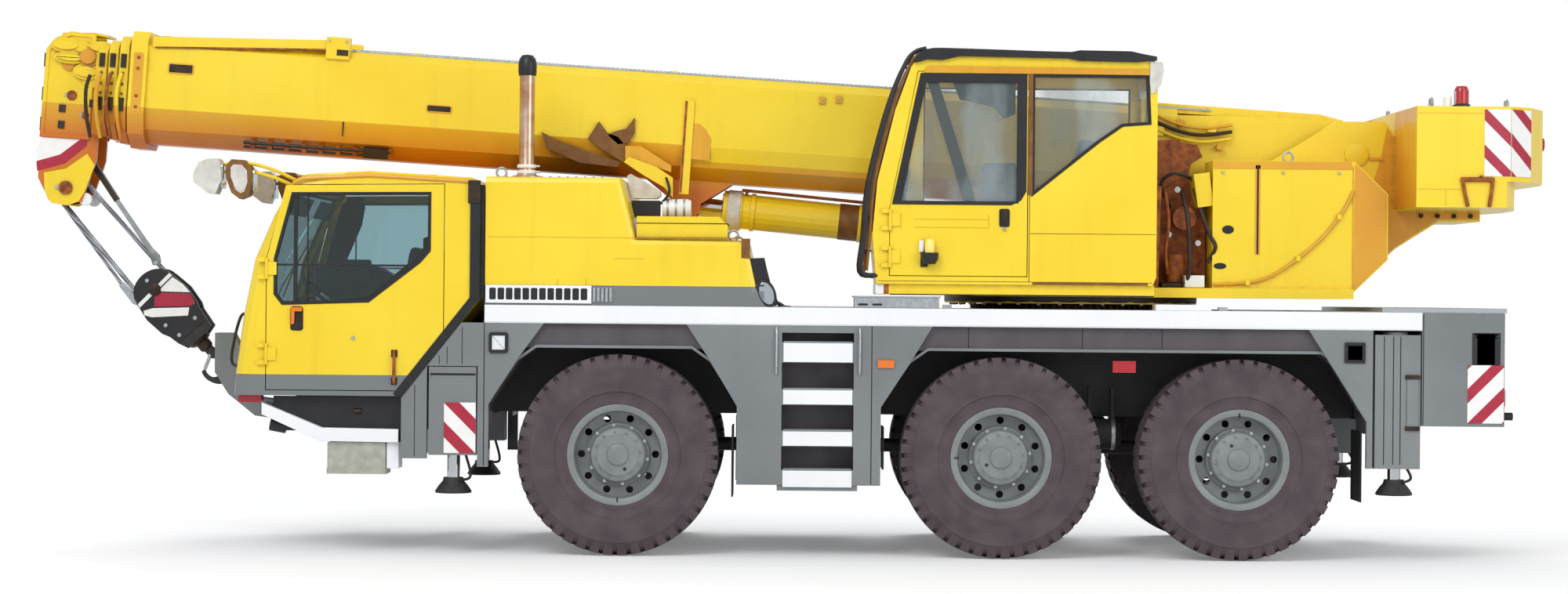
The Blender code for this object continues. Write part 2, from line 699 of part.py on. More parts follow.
def grow(outline, amount):
    """Moves each side of a closed outline outward by the same amount."""
    count = len(outline)
    area = sum(outline[i][0] * outline[(i + 1) % count][1] - outline[(i + 1) % count][0] * outline[i][1]
               for i in range(count))
    sign = 1 if area > 0 else -1
    moved = []
    for i in range(count):
        before, here, after = Vector(outline[i - 1]), Vector(outline[i]), Vector(outline[(i + 1) % count])
        first = (here - before).normalized()
        second = (after - here).normalized()
        normal = Vector((first.y + second.y, -first.x - second.x)).normalized()
        stretch = max(0.3, normal.dot(Vector((first.y, -first.x))))
        moved.append(tuple(here + normal * (sign * amount / stretch)))
    return moved


def hinge_posts(shell, x, side, y, heights):
    """Lugs on the fixed frame above and below each hinge knuckle, round about its axis."""
    axis_y = y + HINGE_OUT
    outer = y + 2 * HINGE_OUT
    for z in heights:
        for low in (z - HINGE_HEIGHT / 2 - LUG_HEIGHT, z + HINGE_HEIGHT / 2 + SEAT_GAP):
            span = (low, low + LUG_HEIGHT - SEAT_GAP)
            eye = cylinder("Z", (x, side * axis_y, span[0]), span[1] - span[0], HINGE_RADIUS, steps=12)
            ear = box((x - HINGE_EAR, x), (side * (axis_y - 0.005), side * (axis_y + 0.005)), span)
            root = box((x - HINGE_EAR, x - HINGE_RADIUS - 0.005), (side * (y - 0.02), side * outer), span)
            join(shell, join(eye, ear, root))


def door(outline, window, x, side, y, heights):
    """A door leaf with its window cut, on hinge knuckles just outside its skin at x."""
    leaf = slab([outline, window], side * y, side * (y - DOOR_THICK))
    for z in heights:
        barrel = cylinder("Z", (x, side * (y + HINGE_OUT), z - HINGE_HEIGHT / 2), HINGE_HEIGHT, HINGE_RADIUS,
                          steps=12)
        strap = box((x, x + 0.07), (side * (y - 0.01), side * (y + HINGE_OUT)),
                    (z - HINGE_HEIGHT / 2, z + HINGE_HEIGHT / 2))
        join(leaf, join(barrel, strap))
    return leaf


DOOR_HINGES = (1.40, 2.00)


def drivers_cab():
    shell = slab(CAB_OUTLINE, -HALF_WIDTH, HALF_WIDTH)
    bevel(shell, 0.12, 3, lambda a, b: min(abs(a.y), abs(b.y)) > HALF_WIDTH - CAB_WALL and a.y * b.y > 0
          and max(a.x, b.x) < -3.37 and abs(a.z - b.z) > 0.02 and max(a.z, b.z) < 2.67)
    side_y = HALF_WIDTH - CAB_WALL
    cut(shell, slab(CAB_INSIDE, -side_y, side_y))
    screen = [(-4.1, 1.76), (-3.70, 1.76), (-3.60, 2.07), (-3.47, 2.35), (-3.41, 2.54), (-3.70, 2.60),
              (-4.1, 2.60)]
    cut(shell, slab(screen, -WINDSCREEN_HALF, WINDSCREEN_HALF))
    for label, side in SIDES:
        opening = slab(grow(CAB_DOOR, RUN_GAP), side * (HALF_WIDTH + CAB_WALL),
                       side * (HALF_WIDTH - 2 * CAB_WALL))
        cut(shell, opening)
        hinge_posts(shell, CAB_DOOR[0][0], side, HALF_WIDTH, DOOR_HINGES)
    rear_window = box((CAB_REAR - 0.2, CAB_REAR + 0.1), (-0.75, 0.75), (2.0, 2.45))
    cut(shell, rear_window)
    finish(shell, "cab_shell", YELLOW, "carrier")
    for label, side in SIDES:
        name = f"cab_door_{label}"
        body(name, (CAB_DOOR[0][0], side * (HALF_WIDTH + HINGE_OUT), 1.70), "carrier")
        leaf = door(CAB_DOOR, CAB_WINDOW, CAB_DOOR[0][0], side, HALF_WIDTH, DOOR_HINGES)
        finish(leaf, name, YELLOW, name)


def seat_shape(x, y, half, floor, back_up=0.62):
    """A suspension seat of one half width: foot, cushion and back, facing -X."""
    foot = box((x - 0.16, x + 0.16), (y - 0.6 * half, y + 0.6 * half), (floor, floor + 0.26))
    cushion = box((x - 0.26, x + 0.22), (y - half, y + half), (floor + 0.25, floor + 0.38))
    back = slab([(x + 0.16, floor + 0.30), (x + 0.28, floor + 0.30), (x + 0.36, floor + 0.38 + back_up),
                 (x + 0.28, floor + 0.38 + back_up)], y - half + 0.01, y + half - 0.01)
    return join(foot, cushion, back)


def cab_interior():
    floor = 1.16 + SEAT_GAP
    seats = join(seat_shape(-2.95, -CAB_SEAT_Y, SEAT_HALF, floor),
                 seat_shape(-2.95, CAB_SEAT_Y, SEAT_HALF, floor))
    join(seats, box((-3.1, -2.8), (-CAB_SEAT_Y, CAB_SEAT_Y), (floor, floor + 0.05)))
    finish(seats, "cab_seats", SEAT, "carrier")
    dash = slab([(-3.76, floor), (-3.68, 1.70), (-3.45, 1.66), (-3.40, 1.50), (-3.60, 1.35), (-3.60, floor)],
                -DASH_HALF, DASH_HALF)
    wheel = turned([(0.20, -0.012), (0.224, -0.012), (0.224, 0.012), (0.20, 0.012)], (0, 0, 0), "Z", 20)
    spoke = box((-0.21, 0.21), (-0.02, 0.02), (-0.008, 0.008))
    column = cylinder("Z", (0, 0, -0.40), 0.41, 0.035, steps=12)
    join(wheel, spoke, column)
    tilt = Matrix.Translation((-3.33, -CAB_SEAT_Y, 1.80)) @ Matrix.Rotation(math.radians(38), 4, "Y")
    wheel.data.transform(tilt)
    join(dash, wheel)
    finish(dash, "cab_dashboard", BLACK, "carrier")


# Engine bay

HOOD_OUTLINE = [(-2.10, DECK_TOP + SEAT_GAP), (-2.10, 2.66), (-1.155, 2.66), (-1.045, 2.232),
                (-0.26, 2.225), (-0.19, 1.90), (-0.14, 1.90), (-0.14, DECK_TOP + SEAT_GAP)]
HOOD_HALF = HALF_WIDTH - 0.02
HOOD_WALL = 0.03
STACK_Y = 0.31 - HOOD_HALF


def engine_bay():
    hood = slab(HOOD_OUTLINE, -HOOD_HALF, HOOD_HALF)
    bevel(hood, 0.04, 2, lambda a, b: min(a.z, b.z) > 1.89 and abs(a.y - b.y) < 0.01)
    inside = [(-2.07, 1.6), (-2.07, 2.63), (-1.178, 2.63), (-1.068, 2.202), (-0.285, 2.195), (-0.215, 1.85),
              (-0.215, 1.6)]
    cut(hood, slab(inside, -HOOD_HALF + HOOD_WALL, HOOD_HALF - HOOD_WALL))
    locker = slab([(-1.04, 2.20), (-1.04, 2.39), (-0.46, 2.39), (-0.40, 2.33), (-0.40, 2.20)],
                  0.03 - HOOD_HALF, 0.61 - HOOD_HALF)
    join(hood, locker)
    cut(hood, box((-1.02, -0.46), (0.05 - HOOD_HALF, 0.59 - HOOD_HALF), (2.15, 2.37)))
    finish(hood, "engine_hood", YELLOW, "carrier")
    block = box((-1.98, -1.25), (-0.42, 0.42), (DECK_TOP + SEAT_GAP, 2.45))
    finish(block, "engine_block", CASTING, "carrier")
    stack = cylinder("Z", (-1.84, STACK_Y, 2.66 + SEAT_GAP), 0.74, 0.06, steps=16)
    join(stack, cylinder("Z", (-1.84, STACK_Y, 3.39), 0.15, 0.068, steps=16))
    join(stack, cylinder("Z", (-1.84, STACK_Y, 2.66 + SEAT_GAP), 0.03, 0.10, steps=16))
    finish(stack, "exhaust_stack", STEEL, "carrier")


# Superstructure

CHEEK_OUTLINE = [
    (1.50, 1.85), (4.06, 1.85), (4.43, 2.215), (4.75, 2.42), (5.05, 2.42), (5.05, 2.4997),
    (4.4297, 2.4997), (4.4297, 3.05), (4.36, 3.14), (4.00, 3.14), (3.50, 2.83), (2.90, 2.62),
    (2.10, 2.40), (1.50, 2.10),
]
COVER_OUTLINE = [(3.05, 1.86), (4.02, 1.86), (4.30, 2.13), (4.30, 2.60), (4.06, 2.83), (3.05, 2.83)]


def turntable():
    base = cylinder("Z", (SLEW_X, 0, PLATFORM_BOTTOM), 0.06, 0.93, steps=32)
    ring = cylinder("Z", (SLEW_X, 0, PEDESTAL_TOP + SEAT_GAP), 0.09, RING_RADIUS, steps=24)
    floor = box((1.35, 4.05), (-0.95, 0.95), (1.85, 1.92))
    sill = box((0.65, 2.60), (0.03 - OP_OUTER, -0.40), (1.855, PLATFORM_TOP - SEAT_GAP))
    join(base, ring, floor, sill)
    for _, side in SIDES:
        join(base, slab(CHEEK_OUTLINE, side * CHEEK_INNER, side * (CHEEK_INNER + CHEEK_THICK)))
        join(base, slab(COVER_OUTLINE, side * (CHEEK_INNER + CHEEK_THICK - 0.01), side * 0.90))
        lug = [(2.29, 1.90), (2.66, 1.90)] + arc(LUFF_BASE[0], LUFF_BASE[2], 0.11, -10, 190, 10)
        join(base, slab(lug, side * 0.105, side * 0.165))
    tail = box((4.10, 5.05), (-0.43, 0.43), (2.42, 2.4997))
    join(base, tail)
    pin = cylinder("Y", (BOOM_PIN[0], -CHEEK_INNER - 0.03, BOOM_PIN[2]), 2 * CHEEK_INNER + 0.06,
                   FOOT_PIN_RADIUS, steps=PIN_STEPS)
    luff_pin = cylinder("Y", (LUFF_BASE[0], -0.14, LUFF_BASE[2]), 0.28, LUFF_PIN_RADIUS, steps=PIN_STEPS)
    join(base, pin, luff_pin)
    finish(base, "turntable", YELLOW, "superstructure")


def counterweight():
    # x, y of the left half, from the front edge to the middle of the tail
    half = [(4.43, -HALF_WIDTH), (5.09, -HALF_WIDTH), (5.26, 0.13 - HALF_WIDTH), (5.42, -0.80), (5.50, -0.40)]
    plan = half + [(x, -y) for x, y in reversed(half)]
    block = slab(plan, 2.50, 3.21, "XY")
    outer = circle(SLEW_X, 0, 5.0, 24)
    inner = circle(SLEW_X, 0, TAIL_CLEAR_RADIUS, 40)
    under = slab([outer, inner], 2.2, 2.685, "XY")
    cut(block, under)
    finish(block, "counterweight", YELLOW, "superstructure")


def winch():
    drum = cylinder("Y", (3.45, -0.36, 2.16), 0.72, 0.17, steps=16)
    for start in (-0.36, 0.33):
        join(drum, cylinder("Y", (3.45, start, 2.16), 0.03, 0.235, steps=16))
    for _, side in SIDES:
        end = CHEEK_INNER - SEAT_GAP
        start = min(side * 0.30, side * end)
        join(drum, cylinder("Y", (3.45, start, 2.16), end - 0.30, 0.08))
    finish(drum, "winch", CASTING, "superstructure")


OP_OUTLINE = [
    (0.649, PLATFORM_TOP), (0.616, 2.27), (0.649, 2.655), (0.77, 3.151), (0.88, 3.455), (0.9625, 3.57),
    (2.585, 3.525), (2.61, 3.40), (2.61, 1.99), (2.585, PLATFORM_TOP),
]
OP_DOOR = [(0.74, 1.99), (0.74, 2.47), (0.93, 3.42), (1.70, 3.42), (1.70, 1.99)]
OP_DOOR_WINDOW = [(0.80, 2.50), (0.975, 3.36), (1.64, 3.36), (1.64, 2.50)]
OP_SIDE_WINDOW = [(1.738, 3.40), (2.54, 3.40), (2.5575, 3.07), (2.365, 3.055), (2.2, 2.94), (1.738, 2.567)]
OP_HINGES = (2.12, 2.38)


def operator_cab():
    shell = slab(OP_OUTLINE, -OP_OUTER, -OP_INNER)
    inner_y = (-OP_OUTER + OP_WALL, -OP_INNER - OP_WALL)
    inside = [(0.69, 1.97), (0.66, 2.27), (0.69, 2.645), (0.81, 3.14), (0.92, 3.44), (0.985, 3.53),
              (2.55, 3.485), (2.57, 3.40), (2.57, 1.97)]
    cut(shell, slab(inside, *inner_y))
    windscreen = [(0.4, 2.30), (0.72, 2.30), (0.72, 2.62), (0.87, 3.14), (0.97, 3.42), (0.75, 3.50),
                  (0.4, 3.50)]
    cut(shell, slab(windscreen, -OP_OUTER + 0.07, -OP_INNER - 0.07))
    cut(shell, slab(grow(OP_DOOR, RUN_GAP), -OP_OUTER - 0.05, -OP_OUTER + 0.1))
    cut(shell, slab(OP_SIDE_WINDOW, -OP_OUTER - 0.05, -OP_OUTER + 0.1))
    cut(shell, box((1.0, 2.5), (-OP_INNER - 0.1, -OP_INNER + 0.1), (2.50, 3.36)))
    cut(shell, box((2.5, 2.7), (-OP_OUTER + 0.1, -OP_INNER - 0.1), (2.60, 3.35)))
    hinge_posts(shell, OP_DOOR[0][0], -1, OP_OUTER, OP_HINGES)
    finish(shell, "operator_cab", YELLOW, "superstructure")
    body("operator_door", (OP_DOOR[0][0], -OP_OUTER - HINGE_OUT, 2.25), "superstructure")
    leaf = door(OP_DOOR, OP_DOOR_WINDOW, OP_DOOR[0][0], -1, OP_OUTER, OP_HINGES)
    finish(leaf, "operator_door", YELLOW, "operator_door")
    middle = -(OP_OUTER + OP_INNER) / 2
    half = (OP_OUTER - OP_INNER) / 2 - 0.135
    seat = seat_shape(1.85, middle, half, 1.97 + SEAT_GAP, 0.75)
    for side in (-1, 1):
        join(seat, box((1.45, 1.95), (middle + side * (half - 0.05), middle + side * (half + 0.02)),
                       (2.25, 2.62)))
    join(seat, box((1.70, 1.90), (middle - half, middle + half), (2.26, 2.32)))
    finish(seat, "operator_seat", SEAT, "superstructure")


# Boom

def boom_section(inset, drop=0.0):
    """The boom's cross outline: flat top, upright flanks and a rounded belly."""
    top = BOOM_TOP - inset - drop
    bottom = BOOM_TOP - BOOM_DEPTH + inset - drop
    half = BOOM_HALF - inset
    # y, z of the right half from top to bottom
    right = [(half - 0.07, top), (half, top - 0.06), (half, bottom + 0.26), (half * 0.86, bottom + 0.11),
             (half * 0.45, bottom + 0.01)]
    return right + [(-y, z) for y, z in reversed(right)]


def section_tube(inset, wall, rear, front, drop=0.0):
    """A hollow box section, open at both ends."""
    outer = boom_section(inset, drop)
    inner = boom_section(inset + wall, drop)
    return slab([outer, inner], front, rear, "YZ")


def boom():
    body("boom_base", BOOM_PIN, "superstructure", BOOM_PITCH)
    pin_hole = bore("Y", (0, -0.6, 0), 1.2, FOOT_PIN_RADIUS)
    foot = slab([(-1.62, BOOM_TOP - 0.06), (-1.62, BOOM_TOP - BOOM_DEPTH + 0.10), (-1.0, -0.36)]
                + arc(0, 0, 0.24, -105, 90, 10) + [(-0.5, BOOM_TOP - 0.01)], -BOOM_HALF + 0.03, BOOM_HALF - 0.03)
    tube_part = section_tube(0.0, BOOM_WALL, -1.30, BOOM_FRONT)
    base = join(tube_part, foot)
    collar = slab([boom_section(-0.04), boom_section(0.01)], BOOM_FRONT, BOOM_FRONT + 0.12, "YZ")
    join(base, collar)
    eye_local = bodies["boom_base"][1].inverted() @ Vector(LUFF_EYE)
    under = BOOM_TOP - BOOM_DEPTH
    for _, side in SIDES:
        lug = [(eye_local.x - 0.35, under + 0.03), (eye_local.x + 0.35, under + 0.03)]
        lug += arc(eye_local.x, eye_local.z, 0.10, 10, -190, 10)
        join(base, slab(lug, side * 0.105, side * 0.165))
    cut(base, pin_hole)
    finish(base, "boom_base", YELLOW, "boom_base", local=True)

    rear = -1.66
    parent = "boom_base"
    step = BOOM_WALL + RUN_GAP
    for number in range(1, TELE_COUNT + 1):
        name = f"tele_{number}"
        inset = step * number
        drop = (RUN_GAP - SEAT_GAP) * number
        front = BOOM_FRONT - TELE_COLLAR * number
        body(name, tuple(bodies["boom_base"][1] @ Vector((front, 0, -0.1))), parent, BOOM_PITCH)
        section = section_tube(inset, BOOM_WALL, rear, front, drop)
        collar = slab([boom_section(inset - 0.035, drop), boom_section(inset + 0.012, drop)],
                      front, front + TELE_COLLAR - 0.02, "YZ")
        join(section, collar)
        if number == TELE_COUNT:
            join(section, *boom_head(front, inset, drop))
        section.data.transform(bodies[name][1].inverted() @ bodies["boom_base"][1])
        finish(section, name, YELLOW, name, local=True)
        parent = name
        rear -= 0.12


def boom_head(front, inset, drop):
    """Side plates, top and nose sheaves and their pins, in the boom's frame."""
    pieces = []
    top = BOOM_TOP - inset - drop
    for _, side in SIDES:
        plate = [(front + 0.01, top), (front - 0.08, top + 0.07), (front - 0.28, top + 0.06),
                 (front - 0.33, top - 0.02), (front - 0.335, -0.50), (front - 0.42, -0.62), (front - 0.41, -0.82), (front - 0.32, -0.98),
                 (front - 0.08, -0.98), (front + 0.01, -0.66)]
        pieces.append(slab(plate, side * 0.14, side * 0.17))
    pieces.append(box((front + 0.02, front - 0.03), (-0.23, 0.23), (top - 0.02, -0.48)))
    for x, z in ((front - NOSE_AHEAD, NOSE_Z), (front - 0.15, top - 0.05)):
        pieces.append(cylinder("Y", (x, -0.15, z), 0.30, 0.03))
        pieces.append(cylinder("Y", (x, -0.03, z), 0.06, SHEAVE_RADIUS, steps=PIN_STEPS))
    return pieces


# Luffing cylinder

def luffing_cylinder():
    base = Vector(LUFF_BASE)
    run = Vector(LUFF_EYE) - base
    length = run.length
    pitch = math.atan2(run.z, -run.x)
    body("luff_cylinder", LUFF_BASE, "superstructure", pitch)
    barrel_front = 2.88
    barrel = cylinder("X", (-barrel_front, 0, 0), barrel_front - 0.20, BARREL_RADIUS, steps=20)
    neck = cylinder("X", (-0.25, 0, 0), 0.20, 0.085)
    eye = cylinder("Y", (0, -0.095, 0), 0.19, 0.105)
    gland = cylinder("X", (-barrel_front - 0.04, 0, 0), 0.14, BARREL_RADIUS + 0.012, steps=20)
    join(barrel, neck, eye, gland)
    cut(barrel, cylinder("X", (-barrel_front - 0.2, 0, 0), barrel_front - 0.15, ROD_RADIUS + SEAT_GAP, steps=16))
    cut(barrel, bore("Y", (0, -0.3, 0), 0.6, LUFF_PIN_RADIUS))
    finish(barrel, "luff_cylinder", YELLOW, "luff_cylinder", local=True)
    body("luff_rod", LUFF_EYE, "luff_cylinder", pitch)
    rod = cylinder("X", (0.05, 0, 0), length - 0.40, ROD_RADIUS, steps=16)
    eye = cylinder("Y", (0, -0.09, 0), 0.18, 0.10)
    join(rod, eye)
    cut(rod, bore("Y", (0, -0.3, 0), 0.6, ROD_PIN_RADIUS))
    finish(rod, "luff_rod", STEEL, "luff_rod", local=True)


# Hook block

HOOK_ANGLE = math.radians(-41)
ROPE_RADIUS = 0.012
ROPE_REACH = 0.92
BLOCK_SHEAVE_RADIUS = 0.115


def hook():
    """Block and rope hang from the nose sheave, pulled back to the bumper."""
    nose = Vector((BOOM_FRONT - TELE_COLLAR * TELE_COUNT - NOSE_AHEAD, 0, NOSE_Z))
    body("hook", tuple(bodies["boom_base"][1] @ nose), f"tele_{TELE_COUNT}", HOOK_ANGLE)
    top = SHEAVE_RADIUS + ROPE_RADIUS + SEAT_GAP
    spread = BLOCK_SHEAVE_RADIUS + ROPE_RADIUS + 0.003
    falls = [(-top, 0, 0), (-spread, 0, -ROPE_REACH)]
    falls += [(x, 0, z) for x, z in arc(0, -ROPE_REACH - 0.06, spread, 180, 360, 8)]
    falls += [(spread, 0, -ROPE_REACH), (top, 0, 0)]
    rope = tube(falls, ROPE_RADIUS)
    finish(rope, "hoist_rope", STEEL, "hook", local=True)


def hook_block():
    reach = ROPE_REACH
    cheek = [(-0.17, -reach + 0.10), (0.17, -reach + 0.10), (0.20, -reach - 0.25), (0.10, -reach - 0.42),
             (-0.10, -reach - 0.42), (-0.20, -reach - 0.25)]
    block = slab(cheek, -0.11, -0.075)
    join(block, slab(cheek, 0.075, 0.11))
    sheave = cylinder("Y", (0, -0.09, -reach - 0.06), 0.18, BLOCK_SHEAVE_RADIUS, steps=20)
    join(block, sheave)
    shank = cylinder("Z", (0, 0, -reach - 0.52), 0.14, 0.04, steps=12)
    cross = box((-0.07, 0.07), (-0.10, 0.10), (-reach - 0.42, -reach - 0.36))
    join(block, cross, shank)
    bend = arc(0.0, -reach - 0.66, 0.11, 95, -170, 12)
    hook_bar = tube([(0.0, 0, -reach - 0.50)] + [(x, 0, z) for x, z in bend], 0.032)
    join(block, hook_bar)
    finish(block, "hook_block", BLACK, "hook", local=True)


clear_scene()
parts = collection("mobile_crane")
body("carrier", (0, 0, 0))
bodies["carrier"][0].location.z = TYRE_RADIUS - AXLE_HEIGHT
chassis()
deck()
for side_label, side_sign in SIDES:
    side_panel(side_label, side_sign)
wheels()
outriggers()
tail_box()
front_bumper()
drivers_cab()
cab_interior()
engine_bay()
body("superstructure", (SLEW_X, 0, PEDESTAL_TOP), "carrier")
turntable()
counterweight()
winch()
operator_cab()
boom()
luffing_cylinder()
hook()
hook_block()
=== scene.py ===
"""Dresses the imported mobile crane: paint, glass, tyres, lamps, rigging and trim round the CAD.

Metres, +Z up. The crane faces -X and its left side is at -Y. Every piece rides on the CAD body
that carries it, so the one script looks right at every pose.
"""

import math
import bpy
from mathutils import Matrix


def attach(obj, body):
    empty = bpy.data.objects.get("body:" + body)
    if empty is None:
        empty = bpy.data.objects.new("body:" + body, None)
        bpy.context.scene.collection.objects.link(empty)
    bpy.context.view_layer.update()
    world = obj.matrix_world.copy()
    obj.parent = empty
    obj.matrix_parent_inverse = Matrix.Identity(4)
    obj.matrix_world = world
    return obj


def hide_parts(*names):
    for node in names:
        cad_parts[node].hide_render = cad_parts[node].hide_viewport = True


bl_info = {
    "name": "Mobile Crane Dressing",
    "version": (1, 0, 0),
    "blender": (4, 5, 0),
    "location": "3D View > Sidebar > Crane",
    "description": "Finishes and fittings of a three-axle mobile crane round its CAD frame",
    "category": "Object",
}

import bmesh
import bpy
from bpy.props import FloatProperty, FloatVectorProperty, IntProperty, PointerProperty
from mathutils import Matrix, Vector
from mathutils.geometry import tessellate_polygon

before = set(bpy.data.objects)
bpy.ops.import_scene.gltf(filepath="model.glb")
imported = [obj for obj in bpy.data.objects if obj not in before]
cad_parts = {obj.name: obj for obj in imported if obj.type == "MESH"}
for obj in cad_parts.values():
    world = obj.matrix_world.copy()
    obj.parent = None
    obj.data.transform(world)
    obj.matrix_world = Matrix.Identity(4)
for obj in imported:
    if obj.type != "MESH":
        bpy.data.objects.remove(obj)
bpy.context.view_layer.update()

SIDES = (("left", -1), ("right", 1))
AXLE_X = (-1.16, 1.535, 3.207)
HALF_WIDTH = 1.25
# faces that trim stands on, each a hair proud of its solid
SKIN = 1.2502
DECK_TOP = 1.7585
HOOD_TOP = 2.6602
WEIGHT_TOP = 3.2102
HEAD_SIDE = 0.1703
BOOM_TOP = 0.2545
BARREL = 0.1302
# centre of the slewing ring, and the pin that the boom turns on
SLEW_X = 2.12
BOOM_PIN = (4.15, 0.0, 2.90)
BOOM_PITCH = math.radians(3.46)
BOOM = Matrix.Translation(BOOM_PIN) @ Matrix.Rotation(BOOM_PITCH, 4, "Y")


# Shape tools

TURN = {
    "X": Matrix.Rotation(math.pi / 2, 4, "Y"),
    "Y": Matrix.Rotation(-math.pi / 2, 4, "X"),
    "Z": Matrix.Identity(4),
}
PLANES = {
    "XZ": lambda a, b, depth: (a, depth, b),
    "XY": lambda a, b, depth: (a, b, depth),
    "YZ": lambda a, b, depth: (depth, a, b),
}


def circle(centre, radius, steps, start=0.0, high=None):
    """Points round a circle, or round an oval if high gives its other radius."""
    high = radius if high is None else high
    return [(centre[0] + radius * math.cos(a), centre[1] + high * math.sin(a))
            for a in (start + 2 * math.pi * i / steps for i in range(steps))]


def wall(a, b, steps):
    """Faces between two rings of corners that start at a and b."""
    return [(a + k, a + (k + 1) % steps, b + (k + 1) % steps, b + k) for k in range(steps)]


def fan(point, base, steps):
    """Faces between one corner and the ring that starts at base."""
    return [(point, base + k, base + (k + 1) % steps) for k in range(steps)]


def leaned(degrees, axis="Y"):
    """A turn in place, for a box or a cushion."""
    return Matrix.Rotation(math.radians(degrees), 3, axis)


class Shape:
    """Closed solids of several finishes, gathered into one mesh."""

    def __init__(self, place=None):
        self.mesh = bmesh.new()
        self.finishes = []
        self.place = place or Matrix.Identity(4)

    def add(self, corners, faces, finish):
        """Corners, and the faces between them, in one finish."""
        if finish not in self.finishes:
            self.finishes.append(finish)
        index = self.finishes.index(finish)
        points = [self.mesh.verts.new(self.place @ Vector(corner)) for corner in corners]
        for face in faces:
            made = self.mesh.faces.new([points[i] for i in face])
            made.material_index = index
            made.smooth = True

    def box(self, x, y, z, finish, turn=None):
        """A block between two values on each axis, those on y in either order."""
        corners = [Vector((a, b, c)) for c in z for b in sorted(y) for a in x]
        if turn:
            middle = sum(corners, Vector()) / 8
            corners = [middle + turn @ (corner - middle) for corner in corners]
        faces = [(0, 2, 3, 1), (4, 5, 7, 6), (0, 1, 5, 4), (1, 3, 7, 5), (3, 2, 6, 7), (2, 0, 4, 6)]
        self.add(corners, faces, finish)

    def plate(self, outline, low, high, finish, plane="XZ", holes=()):
        """A flat outline, with its holes, between two values across the plane."""
        place = PLANES[plane]
        loops = [list(outline), *[list(hole) for hole in holes]]
        flat = [point for loop in loops for point in loop]
        corners = [place(a, b, low) for a, b in flat] + [place(a, b, high) for a, b in flat]
        count = len(flat)
        if holes:
            caps = tessellate_polygon([[Vector((a, b, 0)) for a, b in loop] for loop in loops])
        else:
            caps = [tuple(range(count))]
        faces = [tuple(cap) for cap in caps] + [tuple(i + count for i in cap)[::-1] for cap in caps]
        start = 0
        for loop in loops:
            size = len(loop)
            for i in range(size):
                a, b = start + i, start + (i + 1) % size
                faces.append((a, b, b + count, a + count))
            start += size
        self.add(corners, faces, finish)

    def bar(self, start, end, radius, finish, end_radius=None, steps=20):
        """A round bar or cone between two points."""
        start, end = Vector(start), Vector(end)
        turn = (end - start).to_track_quat("Z", "Y").to_matrix()
        far = radius if end_radius is None else end_radius
        corners = []
        for centre, size in ((start, radius), (end, far)):
            corners += [centre + turn @ Vector((a, b, 0)) for a, b in circle((0, 0), size, steps)]
        faces = [tuple(range(steps)), tuple(range(2 * steps - 1, steps - 1, -1))]
        faces += wall(0, steps, steps)
        self.add(corners, faces, finish)

    def pipe(self, points, radius, finish, steps=10, closed=False):
        """A round tube along points, its ring carried round each bend."""
        points = [Vector(point) for point in points]
        count = len(points)
        corners = []
        across = None
        for i, point in enumerate(points):
            before = points[i - 1] if closed or i else point
            after = points[(i + 1) % count] if closed or i < count - 1 else point
            along = (after - before).normalized()
            if across is None:
                across = along.orthogonal().normalized()
            across = (across - along * across.dot(along)).normalized()
            up = along.cross(across)
            corners += [point + a * across + b * up for a, b in circle((0, 0), radius, steps)]
        faces = []
        for i in range(count if closed else count - 1):
            faces += wall(i * steps, (i + 1) % count * steps, steps)
        if not closed:
            faces += [tuple(range(steps)), tuple(range(count * steps - 1, (count - 1) * steps - 1, -1))]
        self.add(corners, faces, finish)

    def turned(self, profile, centre, axis, finish, steps=48):
        """A (radius, height) profile turned round an axis; it closes on itself or on the axis."""
        spin = Matrix.Translation(centre) @ TURN[axis]
        solid = profile[0][0] == 0 and profile[-1][0] == 0
        ring = profile[1:-1] if solid else profile
        corners = [spin @ Vector((a, b, h)) for r, h in ring for a, b in circle((0, 0), r, steps)]
        rows = len(ring)
        faces = []
        for i in range(rows - 1 if solid else rows):
            faces += wall(i * steps, (i + 1) % rows * steps, steps)
        if solid:
            corners += [spin @ Vector((0, 0, profile[0][1])), spin @ Vector((0, 0, profile[-1][1]))]
            faces += fan(rows * steps, 0, steps) + fan(rows * steps + 1, (rows - 1) * steps, steps)
        self.add(corners, faces, finish)

    def sleeve(self, inner, outer, half, centre, axis, finish, steps):
        """A short ring round an axis, half its width to each side of its centre."""
        self.turned([(inner, -half), (outer, -half), (outer, half), (inner, half)], centre, axis, finish,
                    steps)

    def bolts(self, places, axis, radius, height, finish):
        """Hexagon heads standing along an axis from each place."""
        for place in places:
            self.turned([(0, 0), (radius, 0), (radius, height * 0.8), (radius * 0.8, height), (0, height)],
                        place, axis, finish, steps=6)

    def build(self, name, body, slot=None, bevel=0.003, segments=2, sharp=35):
        """Closes the mesh, rounds its edges and hangs the piece on its body."""
        bmesh.ops.recalc_face_normals(self.mesh, faces=self.mesh.faces)
        mesh = bpy.data.meshes.new(name)
        self.mesh.to_mesh(mesh)
        self.mesh.free()
        for finish in self.finishes:
            mesh.materials.append(FINISH[finish])
        mesh.set_sharp_from_angle(angle=math.radians(sharp))
        return place_piece(mesh, name, body, bevel, segments)


def place_piece(mesh, name, body, bevel=0.0, segments=2):
    """Links a mesh as a piece, riding on its body."""
    piece = bpy.data.objects.new(name, mesh)
    bpy.context.scene.collection.objects.link(piece)
    if bevel:
        round_edges(piece, bevel, segments)
    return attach(piece, body)


def round_edges(piece, width, segments=2):
    """Rounds the sharp edges, as worn and painted metal is."""
    rounding = piece.modifiers.new("rounded edges", "BEVEL")
    rounding.width = width
    rounding.segments = segments
    rounding.limit_method = "ANGLE"
    rounding.angle_limit = math.radians(35)
    rounding.harden_normals = True


